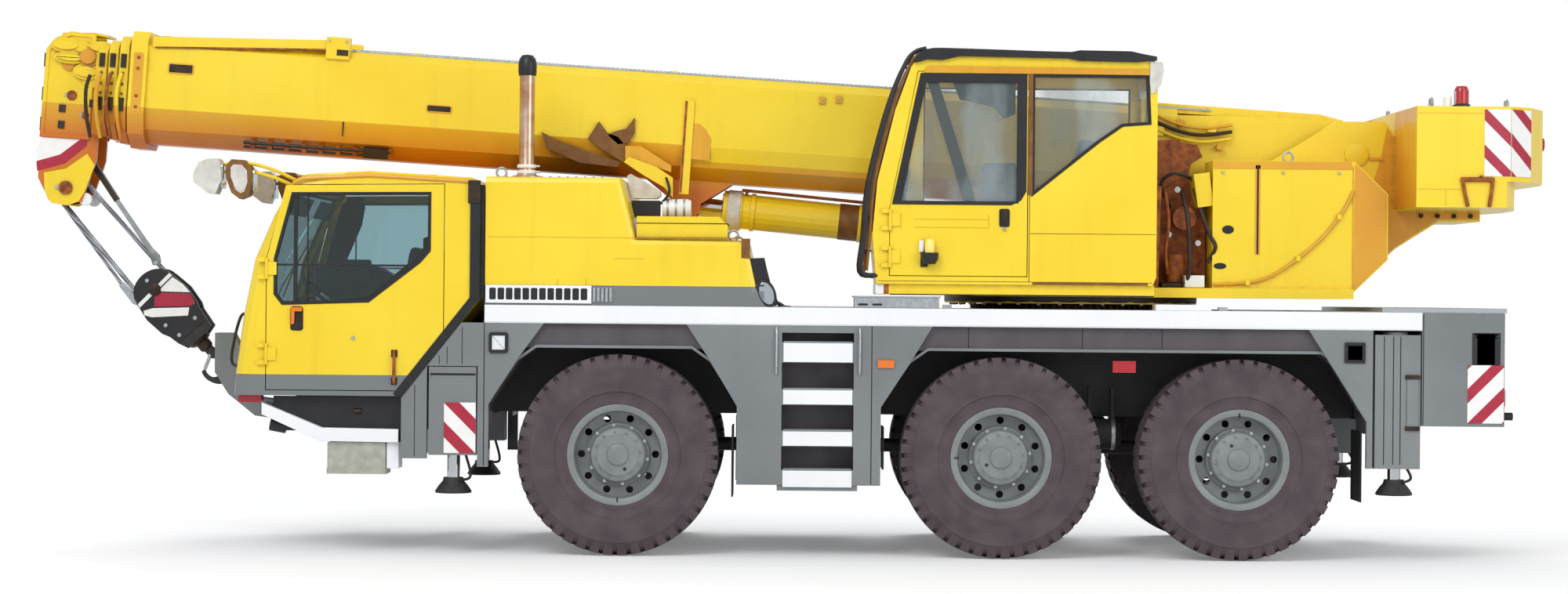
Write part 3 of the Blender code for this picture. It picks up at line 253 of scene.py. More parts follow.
def arc(x, z, radius, start, end, steps):
    """Points on an arc, angles in degrees from the first axis."""
    angles = [math.radians(start + (end - start) * i / steps) for i in range(steps + 1)]
    return [(x + radius * math.cos(a), z + radius * math.sin(a)) for a in angles]


def rounded(x, z, radius, steps=4):
    """A rectangle with round corners; both pairs may come in either order."""
    (left, right), (low, high) = sorted(x), sorted(z)
    centres = ((right - radius, high - radius), (left + radius, high - radius),
               (left + radius, low + radius), (right - radius, low + radius))
    return [point for i, (a, b) in enumerate(centres)
            for point in arc(a, b, radius, 90 * i, 90 * i + 90, steps)]


def grow(outline, amount):
    """Moves each side of a closed outline outward by the same amount."""
    count = len(outline)
    area = sum(outline[i][0] * outline[(i + 1) % count][1] - outline[(i + 1) % count][0] * outline[i][1]
               for i in range(count))
    sign = 1 if area > 0 else -1
    moved = []
    for i in range(count):
        before, here, after = (Vector(outline[k % count]) for k in (i - 1, i, i + 1))
        first, second = (here - before).normalized(), (after - here).normalized()
        normal = Vector((first.y + second.y, -first.x - second.x)).normalized()
        stretch = max(0.3, normal.dot(Vector((first.y, -first.x))))
        moved.append(tuple(here + normal * (sign * amount / stretch)))
    return moved


def smooth_path(points, steps=6):
    """A curve through points, for hoses and bent rails."""
    points = [Vector(point) for point in points]
    ends = [2 * points[0] - points[1], *points, 2 * points[-1] - points[-2]]
    path = []
    for a, b, c, d in zip(ends, ends[1:], ends[2:], ends[3:]):
        for i in range(steps):
            t = i / steps
            path.append(0.5 * (2 * b + (c - a) * t + (2 * a - 5 * b + 4 * c - d) * t * t
                               + (3 * b - a - 3 * c + d) * t ** 3))
    return path + [points[-1]]


# Finishes

FINISH = {}


def linear(colour):
    """An sRGB hex colour, or a colour a user has picked, as the linear values that shaders take."""
    if not isinstance(colour, str):
        return tuple(colour)
    channels = [int(colour[i:i + 2], 16) / 255 for i in (1, 3, 5)]
    return (*[c / 12.92 if c <= 0.04045 else ((c + 0.055) / 1.055) ** 2.4 for c in channels], 1.0)


def add(tree, kind, inputs=None, **settings):
    """Adds one shader node with its settings; each input is a value or a socket to link."""
    made = tree.nodes.new(kind)
    for key, value in settings.items():
        setattr(made, key, value)
    for key, value in (inputs or {}).items():
        if isinstance(value, bpy.types.NodeSocket):
            tree.links.new(value, made.inputs[key])
        else:
            made.inputs[key].default_value = value
    return made


def new_finish(key, name, colour, roughness, metallic=0.0, **sockets):
    """A Principled material whose constant values sit on the shader's own sockets."""
    made = bpy.data.materials.new(name)
    made.use_nodes = True
    tree = made.node_tree
    shader = tree.nodes["Principled BSDF"]
    shader.inputs["Base Color"].default_value = linear(colour)
    shader.inputs["Roughness"].default_value = roughness
    shader.inputs["Metallic"].default_value = metallic
    for socket, value in sockets.items():
        shader.inputs[socket.replace("_", " ")].default_value = value
    made.diffuse_color = linear(colour)
    FINISH[key] = made
    return tree, shader


def per_metre(size_mm):
    """The texture scale at which one feature measures this many millimetres."""
    return 1000.0 / size_mm


def clouds(tree, size_mm, low, high, stretch=(1, 1, 1), detail=4.0):
    """Soft patches of a real size, 0 to 1, drawn out along an axis where stretch is small."""
    coordinates = add(tree, "ShaderNodeTexCoord")
    place = add(tree, "ShaderNodeMapping", {"Vector": coordinates.outputs["Object"], "Scale": stretch})
    noise = add(tree, "ShaderNodeTexNoise", {
        "Vector": place.outputs["Vector"], "Scale": per_metre(size_mm), "Detail": detail})
    shaped = add(tree, "ShaderNodeMapRange",
                 {"Value": noise.outputs["Fac"], "From Min": low, "From Max": high})
    return shaped.outputs["Result"]


def tinted(tree, patches, under, over, strength=1.0):
    """One colour laid over another where the patches are, at most to this strength."""
    share = add(tree, "ShaderNodeMath", {0: patches, 1: strength}, operation="MULTIPLY")
    blend = add(tree, "ShaderNodeMix", {"Factor": share.outputs["Value"], 6: under, 7: over},
                data_type="RGBA")
    return blend.outputs[2]


def grained(tree, shader, size_mm, depth_mm, detail=2.0):
    """A fine uneven surface of a real grain and depth."""
    noise = add(tree, "ShaderNodeTexNoise", {
        "Vector": add(tree, "ShaderNodeTexCoord").outputs["Object"], "Scale": per_metre(size_mm),
        "Detail": detail})
    bump = add(tree, "ShaderNodeBump", {"Height": noise.outputs["Fac"], "Distance": depth_mm / 1000})
    tree.links.new(bump.outputs["Normal"], shader.inputs["Normal"])


def weathered(tree, shader, colour, faded, grime_and_corner_shade, share, roughness):
    """Sprayed enamel outdoors: faded clouds, dirt run down, dust and painted shade in the corners, orange
    peel.
    """
    paint = tinted(tree, clouds(tree, 900, 0.35, 0.7), linear(colour), linear(faded))
    paint = tinted(tree, clouds(tree, 120, 0.55, 0.85, (1, 1, 0.07), 6.0), paint, linear(grime_and_corner_shade), 0.25 * share)
    # ambient occlusion darkens the corners to the grime colour: dust gathered there, and painted shade
    corner = add(tree, "ShaderNodeAmbientOcclusion", {"Distance": 0.10}, samples=4)
    corner_dust_and_shade = add(tree, "ShaderNodeMapRange", {
        "Value": corner.outputs["AO"], "From Min": 0.35, "From Max": 0.85, "To Min": share, "To Max": 0.0})
    broken = tinted(tree, clouds(tree, 60, 0.3, 0.7), paint, linear(grime_and_corner_shade))
    paint = tinted(tree, corner_dust_and_shade.outputs["Result"], paint, broken)
    shine = add(tree, "ShaderNodeMapRange", {
        "Value": clouds(tree, 200, 0.3, 0.7), "To Min": roughness[0], "To Max": roughness[1]})
    tree.links.new(shine.outputs["Result"], shader.inputs["Roughness"])
    # orange peel of sprayed enamel, 8 mm so that it shows
    grained(tree, shader, 8, 0.05)
    return paint


def enamel(key, name, colour, faded, grime_and_corner_shade, roughness=(0.3, 0.5), share=0.5, coat=0.25):
    """A sprayed two-pack enamel, weathered outdoors."""
    tree, shader = new_finish(key, name, colour, roughness[0], Coat_Weight=coat, Coat_Roughness=0.12)
    paint = weathered(tree, shader, colour, faded, grime_and_corner_shade, share, roughness)
    tree.links.new(paint, shader.inputs["Base Color"])
    return tree, shader, paint


def two_tone(key, name, colour, faded, grime_and_corner_shade, height, skirt):
    """Weathered enamel whose colour changes at one height, as masked and sprayed."""
    tree, shader, paint = enamel(key, name, colour, faded, grime_and_corner_shade)
    position = add(tree, "ShaderNodeSeparateXYZ",
                   {"Vector": add(tree, "ShaderNodeTexCoord").outputs["Object"]})
    edge = add(tree, "ShaderNodeMath", {0: position.outputs["Z"], 1: height}, operation="LESS_THAN")
    tree.links.new(tinted(tree, edge.outputs["Value"], paint, linear(skirt)), shader.inputs["Base Color"])


def mottled(key, name, colour, other, roughness, size_mm, metallic=0.0, depth_mm=0.0, fine_mm=8, **sockets):
    """A material with one even mottle between two colours, and a fine grain if it has depth."""
    tree, shader = new_finish(key, name, colour, roughness, metallic, **sockets)
    shade = tinted(tree, clouds(tree, size_mm, 0.3, 0.7), linear(colour), linear(other))
    tree.links.new(shade, shader.inputs["Base Color"])
    if depth_mm:
        grained(tree, shader, fine_mm, depth_mm)
    return tree, shader


def make_finishes(paint):
    """Every finish on the crane, each from what the real one is."""
    # sprayed yellow enamel: strong and warm, slightly uneven, dusty and with painted shade in the corners
    enamel("yellow", "two_pack_yellow_enamel", paint.yellow, "#FADB2E", "#8A6410")
    two_tone("yellow_cab", "yellow_enamel_over_grey_skirt", paint.yellow, "#FADB2E", "#8A6410",
             paint.cab_skirt, paint.grey)
    two_tone("yellow_hood", "yellow_enamel_over_grey_sill", paint.yellow, "#FADB2E", "#8A6410",
             paint.hood_sill, paint.grey)
    boom_paint(paint)
    # the slewing frame's enamel is greasier and browner than the covers; the same colour is laid on as
    # painted shade on folds, grooves, undersides and faces turned from the light
    enamel("amber", "greasy_yellow_enamel_and_painted_shade", "#DC9A1B", "#E8AE24", "#6B4212", share=0.7)
    # grey enamel: cool mid grey, road dirt run down it
    enamel("grey", "two_pack_grey_enamel", paint.grey, "#868A8C", "#4C4744", (0.38, 0.6), coat=0.1)
    side_panel_paint(paint)
    # white enamel: slightly chalky, yellowed and with painted shade in the corners
    enamel("white", "white_enamel", paint.white, "#F6F7F8", "#A8A49C", (0.35, 0.55), share=0.3)
    # moulded polypropylene: dull, brownish black, dusty
    mottled("mudguard", "moulded_polypropylene", "#4E494C", "#5A5557", 0.62, 220, depth_mm=0.3)
    # chassis enamel under road film: nearly black, patchy
    mottled("frame", "chassis_black_enamel", "#2A2A2E", "#3A3836", 0.55, 260, depth_mm=0.2)
    # ABS and rubber trim: even black with a fine grain
    mottled("black", "black_abs_plastic", "#17171A", "#232327", 0.42, 150, depth_mm=0.15, fine_mm=4)
    mottled("seal", "epdm_rubber", "#121214", "#1C1C1E", 0.6, 60)
    mottled("hose", "braided_hydraulic_hose", "#1E1A18", "#3A2A1E", 0.55, 50)
    # blackened steel, browned where oil has dried
    mottled("dark_steel", "blackened_steel", "#2B2826", "#4A3A2C", 0.5, 80, 0.6)
    # sand-cast iron under black paint: coarse grain
    mottled("cast", "cast_iron_painted_black", "#2A2A2D", "#3B3733", 0.6, 90, 0.2, 0.6, 14)
    tyre_rubber(paint)
    # wheel enamel: silver grey, brake dust
    mottled("rim", "rim_silver_grey_enamel", paint.rim, "#8A8F8F", 0.5, 120, 0.15, 0.25, 12)
    # bright metals: spangled zinc, hard chrome, mill-finish aluminium
    mottled("zinc", "galvanised_steel", "#A9ADB0", "#C4C8CA", 0.4, 30, 0.85)
    mottled("chrome", "hard_chromed_rod", "#D4D6D8", "#E2E3E5", 0.1, 200, 1.0)
    mottled("aluminium", "mill_finish_aluminium", "#C6C9CC", "#D6D9DB", 0.38, 90, 0.9)
    # stainless steel tinted by exhaust heat: straw to copper
    mottled("exhaust", "heat_tinted_stainless_steel", "#B98A6A", "#D8BDA8", 0.28, 110, 0.9)
    # winch castings under old grease: deep rust with orange patches
    mottled("rust", "oily_rusted_casting", "#6A2E14", "#B5651D", 0.6, 55, 0.1, 2.0, 30)
    mottled("toolbox", "hot_dip_galvanised_sheet", "#A3A396", "#BDBDB2", 0.55, 70, 0.4, 0.2, 20)
    wire_rope()
    chequer_plate()
    glass(paint)
    dusty_glass()
    lens("lens_clear", "clear_polycarbonate_lens", "#E8ECEE", 0.0)
    lens("lens_amber", "amber_acrylic_lens", "#E8741A", 0.05)
    lens("lens_yellow", "yellow_polycarbonate_lens", "#F6D66A", 0.25)
    lens("lens_red", "red_acrylic_lens", "#B01822", 0.05)
    # silvered glass: a clean reflection, a little cold
    new_finish("mirror", "silvered_mirror_glass", "#C9D2D6", 0.03, 1.0)
    # retro-reflective sheeting with a faint prism grain
    mottled("red_sheet", "red_reflective_sheeting", "#A8203A", "#B4263F", 0.35, 60, depth_mm=0.1, fine_mm=5)
    mottled("white_sheet", "white_reflective_sheeting", "#F1EFEC", "#FAF8F4", 0.35, 60, depth_mm=0.1,
            fine_mm=5)
    seat_cloth()
    # brown primer on steel brackets, waxed and greasy; also laid on as strips of painted shadow
    mottled("brown", "waxed_brown_primer_and_painted_shadow", "#6E4216", "#8A5C1E", 0.5, 70, depth_mm=0.3, fine_mm=14)
    # weathered white housings: warm, chalky, dusty
    mottled("ivory", "weathered_white_plastic", "#DEDBD3", "#C3BEB4", 0.5, 70, depth_mm=0.2, fine_mm=10)
    # polyester webbing: pale grey, fibrous
    mottled("webbing", "polyester_webbing", "#A9AFB2", "#8C9397", 0.8, 40, depth_mm=0.4, fine_mm=6)
    # cab lining and engine casting
    mottled("liner", "grey_cab_trim_plastic", "#3C3F42", "#484B4E", 0.6, 140, depth_mm=0.3, fine_mm=5)
    mottled("block", "engine_grey_enamel", "#5A5F61", "#46423C", 0.5, 140, depth_mm=0.5, fine_mm=25)


def boom_paint(paint):
    """Boom enamel: sun-faded above; under the bend in its flank, painted shade, deeper orange towards the
    bottom.
    """
    tree, shader, base = enamel("boom", "boom_yellow_enamel_with_painted_shade", paint.yellow, "#FADB2E", "#8A6410")
    pin = Matrix.Rotation(-BOOM_PITCH, 4, "Y") @ Vector(BOOM_PIN)
    along = add(tree, "ShaderNodeMapping", {
        "Vector": add(tree, "ShaderNodeTexCoord").outputs["Object"], "Rotation": (0, -BOOM_PITCH, 0)})
    place = add(tree, "ShaderNodeSeparateXYZ", {"Vector": along.outputs["Vector"]})
    # the bend lies lower behind the collar plate than in front of it
    front = add(tree, "ShaderNodeMath", {0: place.outputs["X"], 1: pin.x + paint.crease_step},
                operation="LESS_THAN")
    bend = add(tree, "ShaderNodeMapRange", {
        "Value": front.outputs["Value"], "To Min": pin.z + paint.crease_rear,
        "To Max": pin.z + paint.crease_front})
    depth = add(tree, "ShaderNodeMath", {0: bend.outputs["Result"], 1: place.outputs["Z"]},
                operation="SUBTRACT")
    share = add(tree, "ShaderNodeMapRange", {
        "Value": depth.outputs["Value"], "From Min": 0.0, "From Max": 0.24, "To Min": 0.5, "To Max": 1.0})
    below = add(tree, "ShaderNodeMath", {0: depth.outputs["Value"], 1: 0.0}, operation="GREATER_THAN")
    # painted shade under the bend: half strength at the bend, full strength 0.24 m below it
    belly_shade = tinted(tree, share.outputs["Result"], base, linear(paint.boom_belly_shade))
    tree.links.new(tinted(tree, below.outputs["Value"], base, belly_shade), shader.inputs["Base Color"])


def side_panel_paint(paint):
    """Grey enamel on the skin, dark moulded plastic on everything set back behind it."""
    tree, shader, base = enamel("panel", "grey_enamel_over_dark_liner", paint.grey, "#868A8C", "#4C4744",
                                (0.38, 0.6), coat=0.1)
    place = add(tree, "ShaderNodeSeparateXYZ", {"Vector": add(tree, "ShaderNodeTexCoord").outputs["Object"]})
    across = add(tree, "ShaderNodeMath", {0: place.outputs["Y"]}, operation="ABSOLUTE")
    behind = add(tree, "ShaderNodeMath", {0: across.outputs["Value"], 1: HALF_WIDTH - 0.044},
                 operation="LESS_THAN")
    dark = tinted(tree, clouds(tree, 300, 0.3, 0.7, (1, 1, 0.4)), linear("#484346"), linear("#5A5458"))
    tree.links.new(tinted(tree, behind.outputs["Value"], base, dark), shader.inputs["Base Color"])


def tyre_rubber(paint):
    """Vulcanised rubber: brownish grey, dusty in patches, darker specks, fine pits."""
    tree, shader = new_finish("rubber", "vulcanised_tyre_rubber", paint.rubber, 0.72, Specular_IOR_Level=0.4)
    dust = tinted(tree, clouds(tree, 180, 0.35, 0.7, detail=6.0), linear(paint.rubber), linear("#5C5054"))
    specks = tinted(tree, clouds(tree, 14, 0.6, 0.8), dust, linear("#2A2426"), 0.3)
    tree.links.new(specks, shader.inputs["Base Color"])
    grained(tree, shader, 10, 0.5)


def wire_rope():
    """Galvanised strand: slanting wires drawn coarse at 24 mm lay, lighter and darker across each as painted
    highlight and painted shade.
    """
    tree, shader = new_finish("rope", "galvanised_wire_rope", "#8E9296", 0.4, 0.8)
    strands = add(tree, "ShaderNodeTexWave", {
        "Vector": add(tree, "ShaderNodeTexCoord").outputs["Object"], "Scale": per_metre(48),
        "Distortion": 1.0},
        bands_direction="DIAGONAL").outputs["Fac"]
    # painted highlight and shade across each wire
    tree.links.new(tinted(tree, strands, linear("#5E6266"), linear("#B4B8BC")), shader.inputs["Base Color"])
    bump = add(tree, "ShaderNodeBump", {"Height": strands, "Distance": 0.002})
    tree.links.new(bump.outputs["Normal"], shader.inputs["Normal"])


def chequer_plate():
    """Rolled aluminium tread plate: raised lozenges 45 mm apart in two directions."""
    tree, shader = new_finish("tread_plate", "aluminium_tread_plate", "#ADB1B3", 0.55, 0.6)
    rows = []
    for slant in (45, -45):
        turn = add(tree, "ShaderNodeMapping", {
            "Vector": add(tree, "ShaderNodeTexCoord").outputs["Object"],
            "Rotation": (0, 0, math.radians(slant)),
            "Scale": (1, 3, 1)})
        rows.append(add(tree, "ShaderNodeTexVoronoi", {
            "Vector": turn.outputs["Vector"], "Scale": per_metre(45), "Randomness": 0.0}).outputs["Distance"])
    nearest = add(tree, "ShaderNodeMath", {0: rows[0], 1: rows[1]}, operation="MINIMUM")
    raised = add(tree, "ShaderNodeMapRange", {
        "Value": nearest.outputs["Value"], "From Min": 0.25, "From Max": 0.4, "To Min": 1.0, "To Max": 0.0})
    bump = add(tree, "ShaderNodeBump", {"Height": raised.outputs["Result"], "Distance": 0.0015})
    tree.links.new(bump.outputs["Normal"], shader.inputs["Normal"])


def glass(paint):
    """Toughened glass: blue-green tint, seen through, smeared where it was wiped."""
    tree, shader = new_finish("glass", "tinted_toughened_glass", paint.glass, 0.04, IOR=1.5,
                              Transmission_Weight=1.0)
    smear = add(tree, "ShaderNodeMapRange", {
        "Value": clouds(tree, 250, 0.4, 0.7, (1, 1, 0.3)), "To Min": 0.0, "To Max": 0.05})
    tree.links.new(smear.outputs["Result"], shader.inputs["Roughness"])


def dusty_glass():
    """The operator's panes: the same glass under a pale film of dust and wiped polish."""
    tree, shader = new_finish("glass_dusty", "dusty_toughened_glass", "#B4C4C6", 0.14, IOR=1.5)
    film = add(tree, "ShaderNodeMapRange", {
        "Value": clouds(tree, 400, 0.5, 0.65, (1, 1, 0.4)), "To Min": 0.10, "To Max": 0.34})
    tree.links.new(film.outputs["Result"], shader.inputs["Alpha"])


def lens(key, name, colour, glow):
    """A ribbed lamp lens with a glossy face, a little light coming through it."""
    tree, shader = new_finish(key, name, colour, 0.12, IOR=1.49, Coat_Weight=0.6, Coat_Roughness=0.05,
                              Emission_Color=linear(colour), Emission_Strength=glow)
    ribs = add(tree, "ShaderNodeTexWave", {
        "Vector": add(tree, "ShaderNodeTexCoord").outputs["Object"], "Scale": per_metre(50)},
               bands_direction="Z")
    bump = add(tree, "ShaderNodeBump", {"Height": ribs.outputs["Fac"], "Distance": 0.001})
    tree.links.new(bump.outputs["Normal"], shader.inputs["Normal"])


def seat_cloth():
    """Woven seat cloth: charcoal threads, drawn 12 mm apart so that the weave shows, soft sheen."""
    tree, shader = new_finish("cloth", "woven_seat_cloth", "#202226", 0.9, Sheen_Weight=0.4,
                              Sheen_Roughness=0.5)
    threads = [add(tree, "ShaderNodeTexWave", {
        "Vector": add(tree, "ShaderNodeTexCoord").outputs["Object"], "Scale": per_metre(24)},
        bands_direction=way).outputs["Fac"] for way in ("Y", "Z")]
    weave = add(tree, "ShaderNodeMath", {0: threads[0], 1: threads[1]}, operation="MULTIPLY").outputs["Value"]
    tree.links.new(tinted(tree, weave, linear("#16171A"), linear("#33363B")), shader.inputs["Base Color"])
    bump = add(tree, "ShaderNodeBump", {"Height": weave, "Distance": 0.001})
    tree.links.new(bump.outputs["Normal"], shader.inputs["Normal"])


# Wheels

def tyre_mesh(sizes):
    """A radial tyre standing on its tread: ribbed sidewalls, a block tread with open shoulders."""
    tyre = Shape()
    outer, half = sizes.tyre_radius, sizes.tyre_width / 2
    floor_of_tread = outer - 0.022
    side = [
        (floor_of_tread, half * 0.60), (floor_of_tread - 0.004, half * 0.76), (outer - 0.045, half * 0.88),
        (outer - 0.085, half * 0.955), (outer - 0.092, half * 0.985), (outer - 0.105, half * 0.985),
        (outer - 0.112, half * 0.975), (outer - 0.17, half), (outer - 0.215, half * 0.985),
        (outer - 0.25, half * 0.945), (outer - 0.256, half * 0.955), (outer - 0.264, half * 0.955),
        (outer - 0.27, half * 0.915), (outer - 0.30, half * 0.865), (outer - 0.325, half * 0.85),
        (outer - 0.338, half * 0.87), (outer - 0.352, half * 0.855), (outer - 0.358, half * 0.78),
        (outer - 0.385, half * 0.74),
    ]
    profile = side + [(r, -h) for r, h in reversed(side)]
    tyre.turned(profile, (0, 0, 0), "Y", "rubber", steps=96)
    pitches = sizes.tread_pitches
    step = 2 * math.pi / pitches
    # across the tread: from, to, and how far the row is turned out of line, in pitches
    rows = ((-0.98, -0.62, 0.0), (-0.57, -0.22, 0.5), (-0.17, 0.17, 0.1), (0.22, 0.57, 0.6),
            (0.62, 0.98, 0.0))
    for low, high, shift in rows:
        shoulder = abs(low) > 0.9 or abs(high) > 0.9
        for i in range(pitches):
            start = (i + shift) * step
            corners = []
            for lift in (0, 1):
                for across in (low, high):
                    at_edge = shoulder and abs(across) > 0.9
                    radius = outer - (0.004 if at_edge else 0.0)
                    if not lift:
                        radius = outer - (0.10 if at_edge else 0.03)
                    width = half * across * (0.80 if lift else 0.97 if at_edge else 0.80)
                    if at_edge:
                        width = half * (0.84 if lift else 0.975) * (1 if across > 0 else -1)
                    slant = 0.10 * across
                    for edge in (0.12, 0.80):
                        a = start + (edge + slant) * step
                        corners.append((radius * math.cos(a), width, radius * math.sin(a)))
            faces = [(0, 1, 3, 2), (4, 6, 7, 5), (0, 4, 5, 1), (1, 5, 7, 3), (3, 7, 6, 2), (2, 6, 4, 0)]
            tyre.add(corners, faces, "rubber")
    return tyre


def rim_shape(sizes):
    """A drop-centre steel wheel with hand holes, its nuts, and the planetary hub coming through."""
    rim = Shape()
    flange = sizes.rim_flange
    lip = 0.18
    barrel = [
        (flange, -lip), (flange + 0.004, -lip + 0.008), (flange, -lip + 0.016), (flange - 0.03, -lip + 0.02),
        (flange - 0.035, 0.02), (flange - 0.03, lip - 0.02), (flange, lip - 0.016),
        (flange + 0.004, lip - 0.008), (flange, lip), (flange - 0.012, lip + 0.002),
        (flange - 0.045, lip - 0.012),
        (flange - 0.05, lip - 0.03), (flange - 0.058, 0.03), (flange - 0.058, -lip + 0.03),
        (flange - 0.045, -lip),
    ]
    rim.turned([(r, -h) for r, h in barrel], (0, 0, 0), "Y", "rim", steps=72)
    holes = [circle(centre, 0.026, 14) for centre in circle((0, 0), 0.262, 10, math.pi / 10)]
    rim.plate(circle((0, 0), 0.300, 60), -0.045, -0.030, "rim", holes=holes)
    hub = [(0, -0.030), (0.215, -0.030), (0.222, -0.050), (0.222, -0.075), (0.205, -0.085), (0.198, -0.120),
           (0.185, -0.138), (0.150, -0.146), (0.146, -0.150), (0.080, -0.154), (0.074, -0.166),
           (0.060, -0.172), (0, -0.174)]
    rim.turned(hub, (0, 0, 0), "Y", "rim", steps=60)
    # wheel nuts, then the hub's bolts: how many, on what radius, face, size, finish
    for count, radius, face, size, finish in ((10, 0.2085, -0.083, 0.0135, "zinc"),
                                              (12, 0.166, -0.143, 0.008, "rim")):
        for x, z in circle((0, 0), radius, count, math.pi / 2 / count):
            rim.bar((x, face, z), (x, face - size * 1.5, z), size, finish, steps=6)
    rim.bar((0.1, -0.15, 0.05), (0.1, -0.160, 0.05), 0.012, "dark_steel", steps=6)
    rim.bar((0.33, -0.172, 0.0), (0.30, -0.200, 0.0), 0.005, "dark_steel", steps=8)
    return rim


def make_wheels(sizes):
    """One tyre and one disc wheel, whose meshes all six wheels share."""
    tyre = rim = None
    for number, x in enumerate(AXLE_X, start=1):
        for label, side in SIDES:
            body = f"wheel_{number}_{label}"
            centre = (x, side * (HALF_WIDTH - sizes.tyre_width / 2), sizes.tyre_radius)
            spin = Matrix.Rotation(math.radians(90 * number), 4, "Y")
            turn = Matrix.Rotation(0 if side < 0 else math.pi, 4, "Z")
            place = Matrix.Translation(centre) @ turn @ spin
            if tyre is None:
                made = [tyre_mesh(sizes).build(f"tread_tyre_{number}_{label}", body, "tyre_rubber", 0.002, 1),
                        rim_shape(sizes).build(f"disc_wheel_{number}_{label}", body, "rim_paint", 0.002, 1)]
                tyre, rim = made
            else:
                made = [place_piece(tyre.data, f"tread_tyre_{number}_{label}", body, 0.002, 1),
                        place_piece(rim.data, f"disc_wheel_{number}_{label}", body, 0.002, 1)]
            for piece in made:
                piece.matrix_world = place
                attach(piece, body)
            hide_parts(f"tyre_{number}_{label}")
            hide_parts(f"rim_{number}_{label}")


def make_running_gear():
    """Suspension, steering rods, brake chambers, propeller shaft and air tanks under the frame."""
    for number, x in enumerate(AXLE_X, start=1):
        gear = Shape()
        for side in (-1, 1):
            gear.bar((x + 0.16, side * 0.34, 0.74), (x + 0.16, side * 0.34, 0.98), 0.055, "cast")
            gear.bar((x + 0.16, side * 0.34, 0.90), (x + 0.16, side * 0.34, 1.30), 0.07, "dark_steel")
            gear.bar((x, side * 0.48, 0.71), (x + 0.50, side * 0.42, 0.92), 0.028, "cast")
            gear.bar((x - 0.14, side * 0.42, 0.78), (x - 0.32, side * 0.42, 0.78), 0.075, "black")
            gear.bar((x - 0.32, side * 0.42, 0.78), (x - 0.37, side * 0.42, 0.78), 0.055, "zinc")
            hose = smooth_path([(x - 0.36, side * 0.42, 0.80), (x - 0.40, side * 0.42, 0.95),
                                (x - 0.25, side * 0.40, 1.05)])
            gear.pipe(hose, 0.011, "hose", 8)
        gear.turned([(0, -0.20), (0.12, -0.19), (0.19, -0.12), (0.205, 0), (0.19, 0.12), (0.12, 0.19),
                     (0, 0.20)],
                    (x, 0, 0.71), "X", "cast", steps=28)
        gear.build(f"suspension_{number}", "carrier", "cast_iron", 0.003)
    shaft = Shape()
    shaft.bar((-0.90, 0, 0.74), (1.30, 0, 0.74), 0.05, "cast")
    shaft.bar((1.78, 0, 0.74), (2.96, 0, 0.74), 0.05, "cast")
    for x in (-0.86, 1.26, 1.82, 2.92):
        shaft.bar((x - 0.04, 0, 0.74), (x + 0.04, 0, 0.74), 0.075, "dark_steel")
    shaft.build("propeller_shaft", "carrier", "cast_iron")
    tanks = Shape()
    for x, y, radius in ((0.25, 0.70, 0.14), (0.25, -0.70, 0.14), (2.30, 0.55, 0.11), (2.30, -0.55, 0.11)):
        long = 0.30 if radius > 0.12 else 0.15
        tanks.turned([(0, -long), (radius * 0.7, -long + 0.01), (radius, -long + 0.05), (radius, long - 0.05),
                      (radius * 0.7, long - 0.01), (0, long)], (x, y, 0.86), "X", "cast", steps=28)
        for offset in (-long * 0.55, long * 0.55):
            tanks.sleeve(radius, radius + 0.006, 0.015, (x + offset, y, 0.86), "X", "zinc", 28)
            tanks.box((x + offset - 0.015, x + offset + 0.015), (y - 0.02, y + 0.02), (0.86 + radius, 1.20),
                      "cast")
    tanks.build("air_tanks", "carrier", "cast_iron")


# Carrier

def stripes(shape, x, z, y, side, down_to_right=True, band=0.12, pitch=0.24, lean=1.0, shift=0.0):
    """Slanting red and white bands over a small upright plate facing sideways."""
    width, height = x[1] - x[0], z[1] - z[0]
    shape.box(x, (side * y, side * (y + 0.004)), z, "white_sheet")
    back, face = sorted((side * (y + 0.0035), side * (y + 0.0055)))
    run = lean * height
    start = shift - pitch * math.ceil((shift + band + run) / pitch)
    while start < width:
        line = [(start, 0), (start + band, 0), (start + band + run, height), (start + run, height)]
        clipped = clip(line, width)
        if len(clipped) > 2:
            points = [(x[0] + (width - a if down_to_right else a), z[0] + b) for a, b in clipped]
            shape.plate(points, back, face, "red_sheet")
        start += pitch


def clip(points, width):
    """Keeps the part of a polygon between 0 and a width along its first axis."""
    for limit, keep in ((0.0, 1), (width, -1)):
        kept = []
        for a, b in zip(points, points[1:] + points[:1]):
            a_in, b_in = keep * (a[0] - limit) >= 0, keep * (b[0] - limit) >= 0
            if a_in:
                kept.append(a)
            if a_in != b_in:
                t = (limit - a[0]) / (b[0] - a[0])
                kept.append((limit, a[1] + t * (b[1] - a[1])))
        points = kept
    return points


def framed_lamp(shape, x, z, side, lens_finish, y=HALF_WIDTH, frame_width=0.022, round_by=0.02):
    """A square side lamp: black rubber frame, ribbed lens."""
    outline = rounded(x, z, round_by)
    shape.plate(outline, side * (y - 0.002), side * (y + 0.012), "black",
                holes=[grow(outline, -frame_width)])
    shape.plate(grow(outline, -frame_width - 0.001), side * (y - 0.002), side * (y + 0.007), lens_finish)


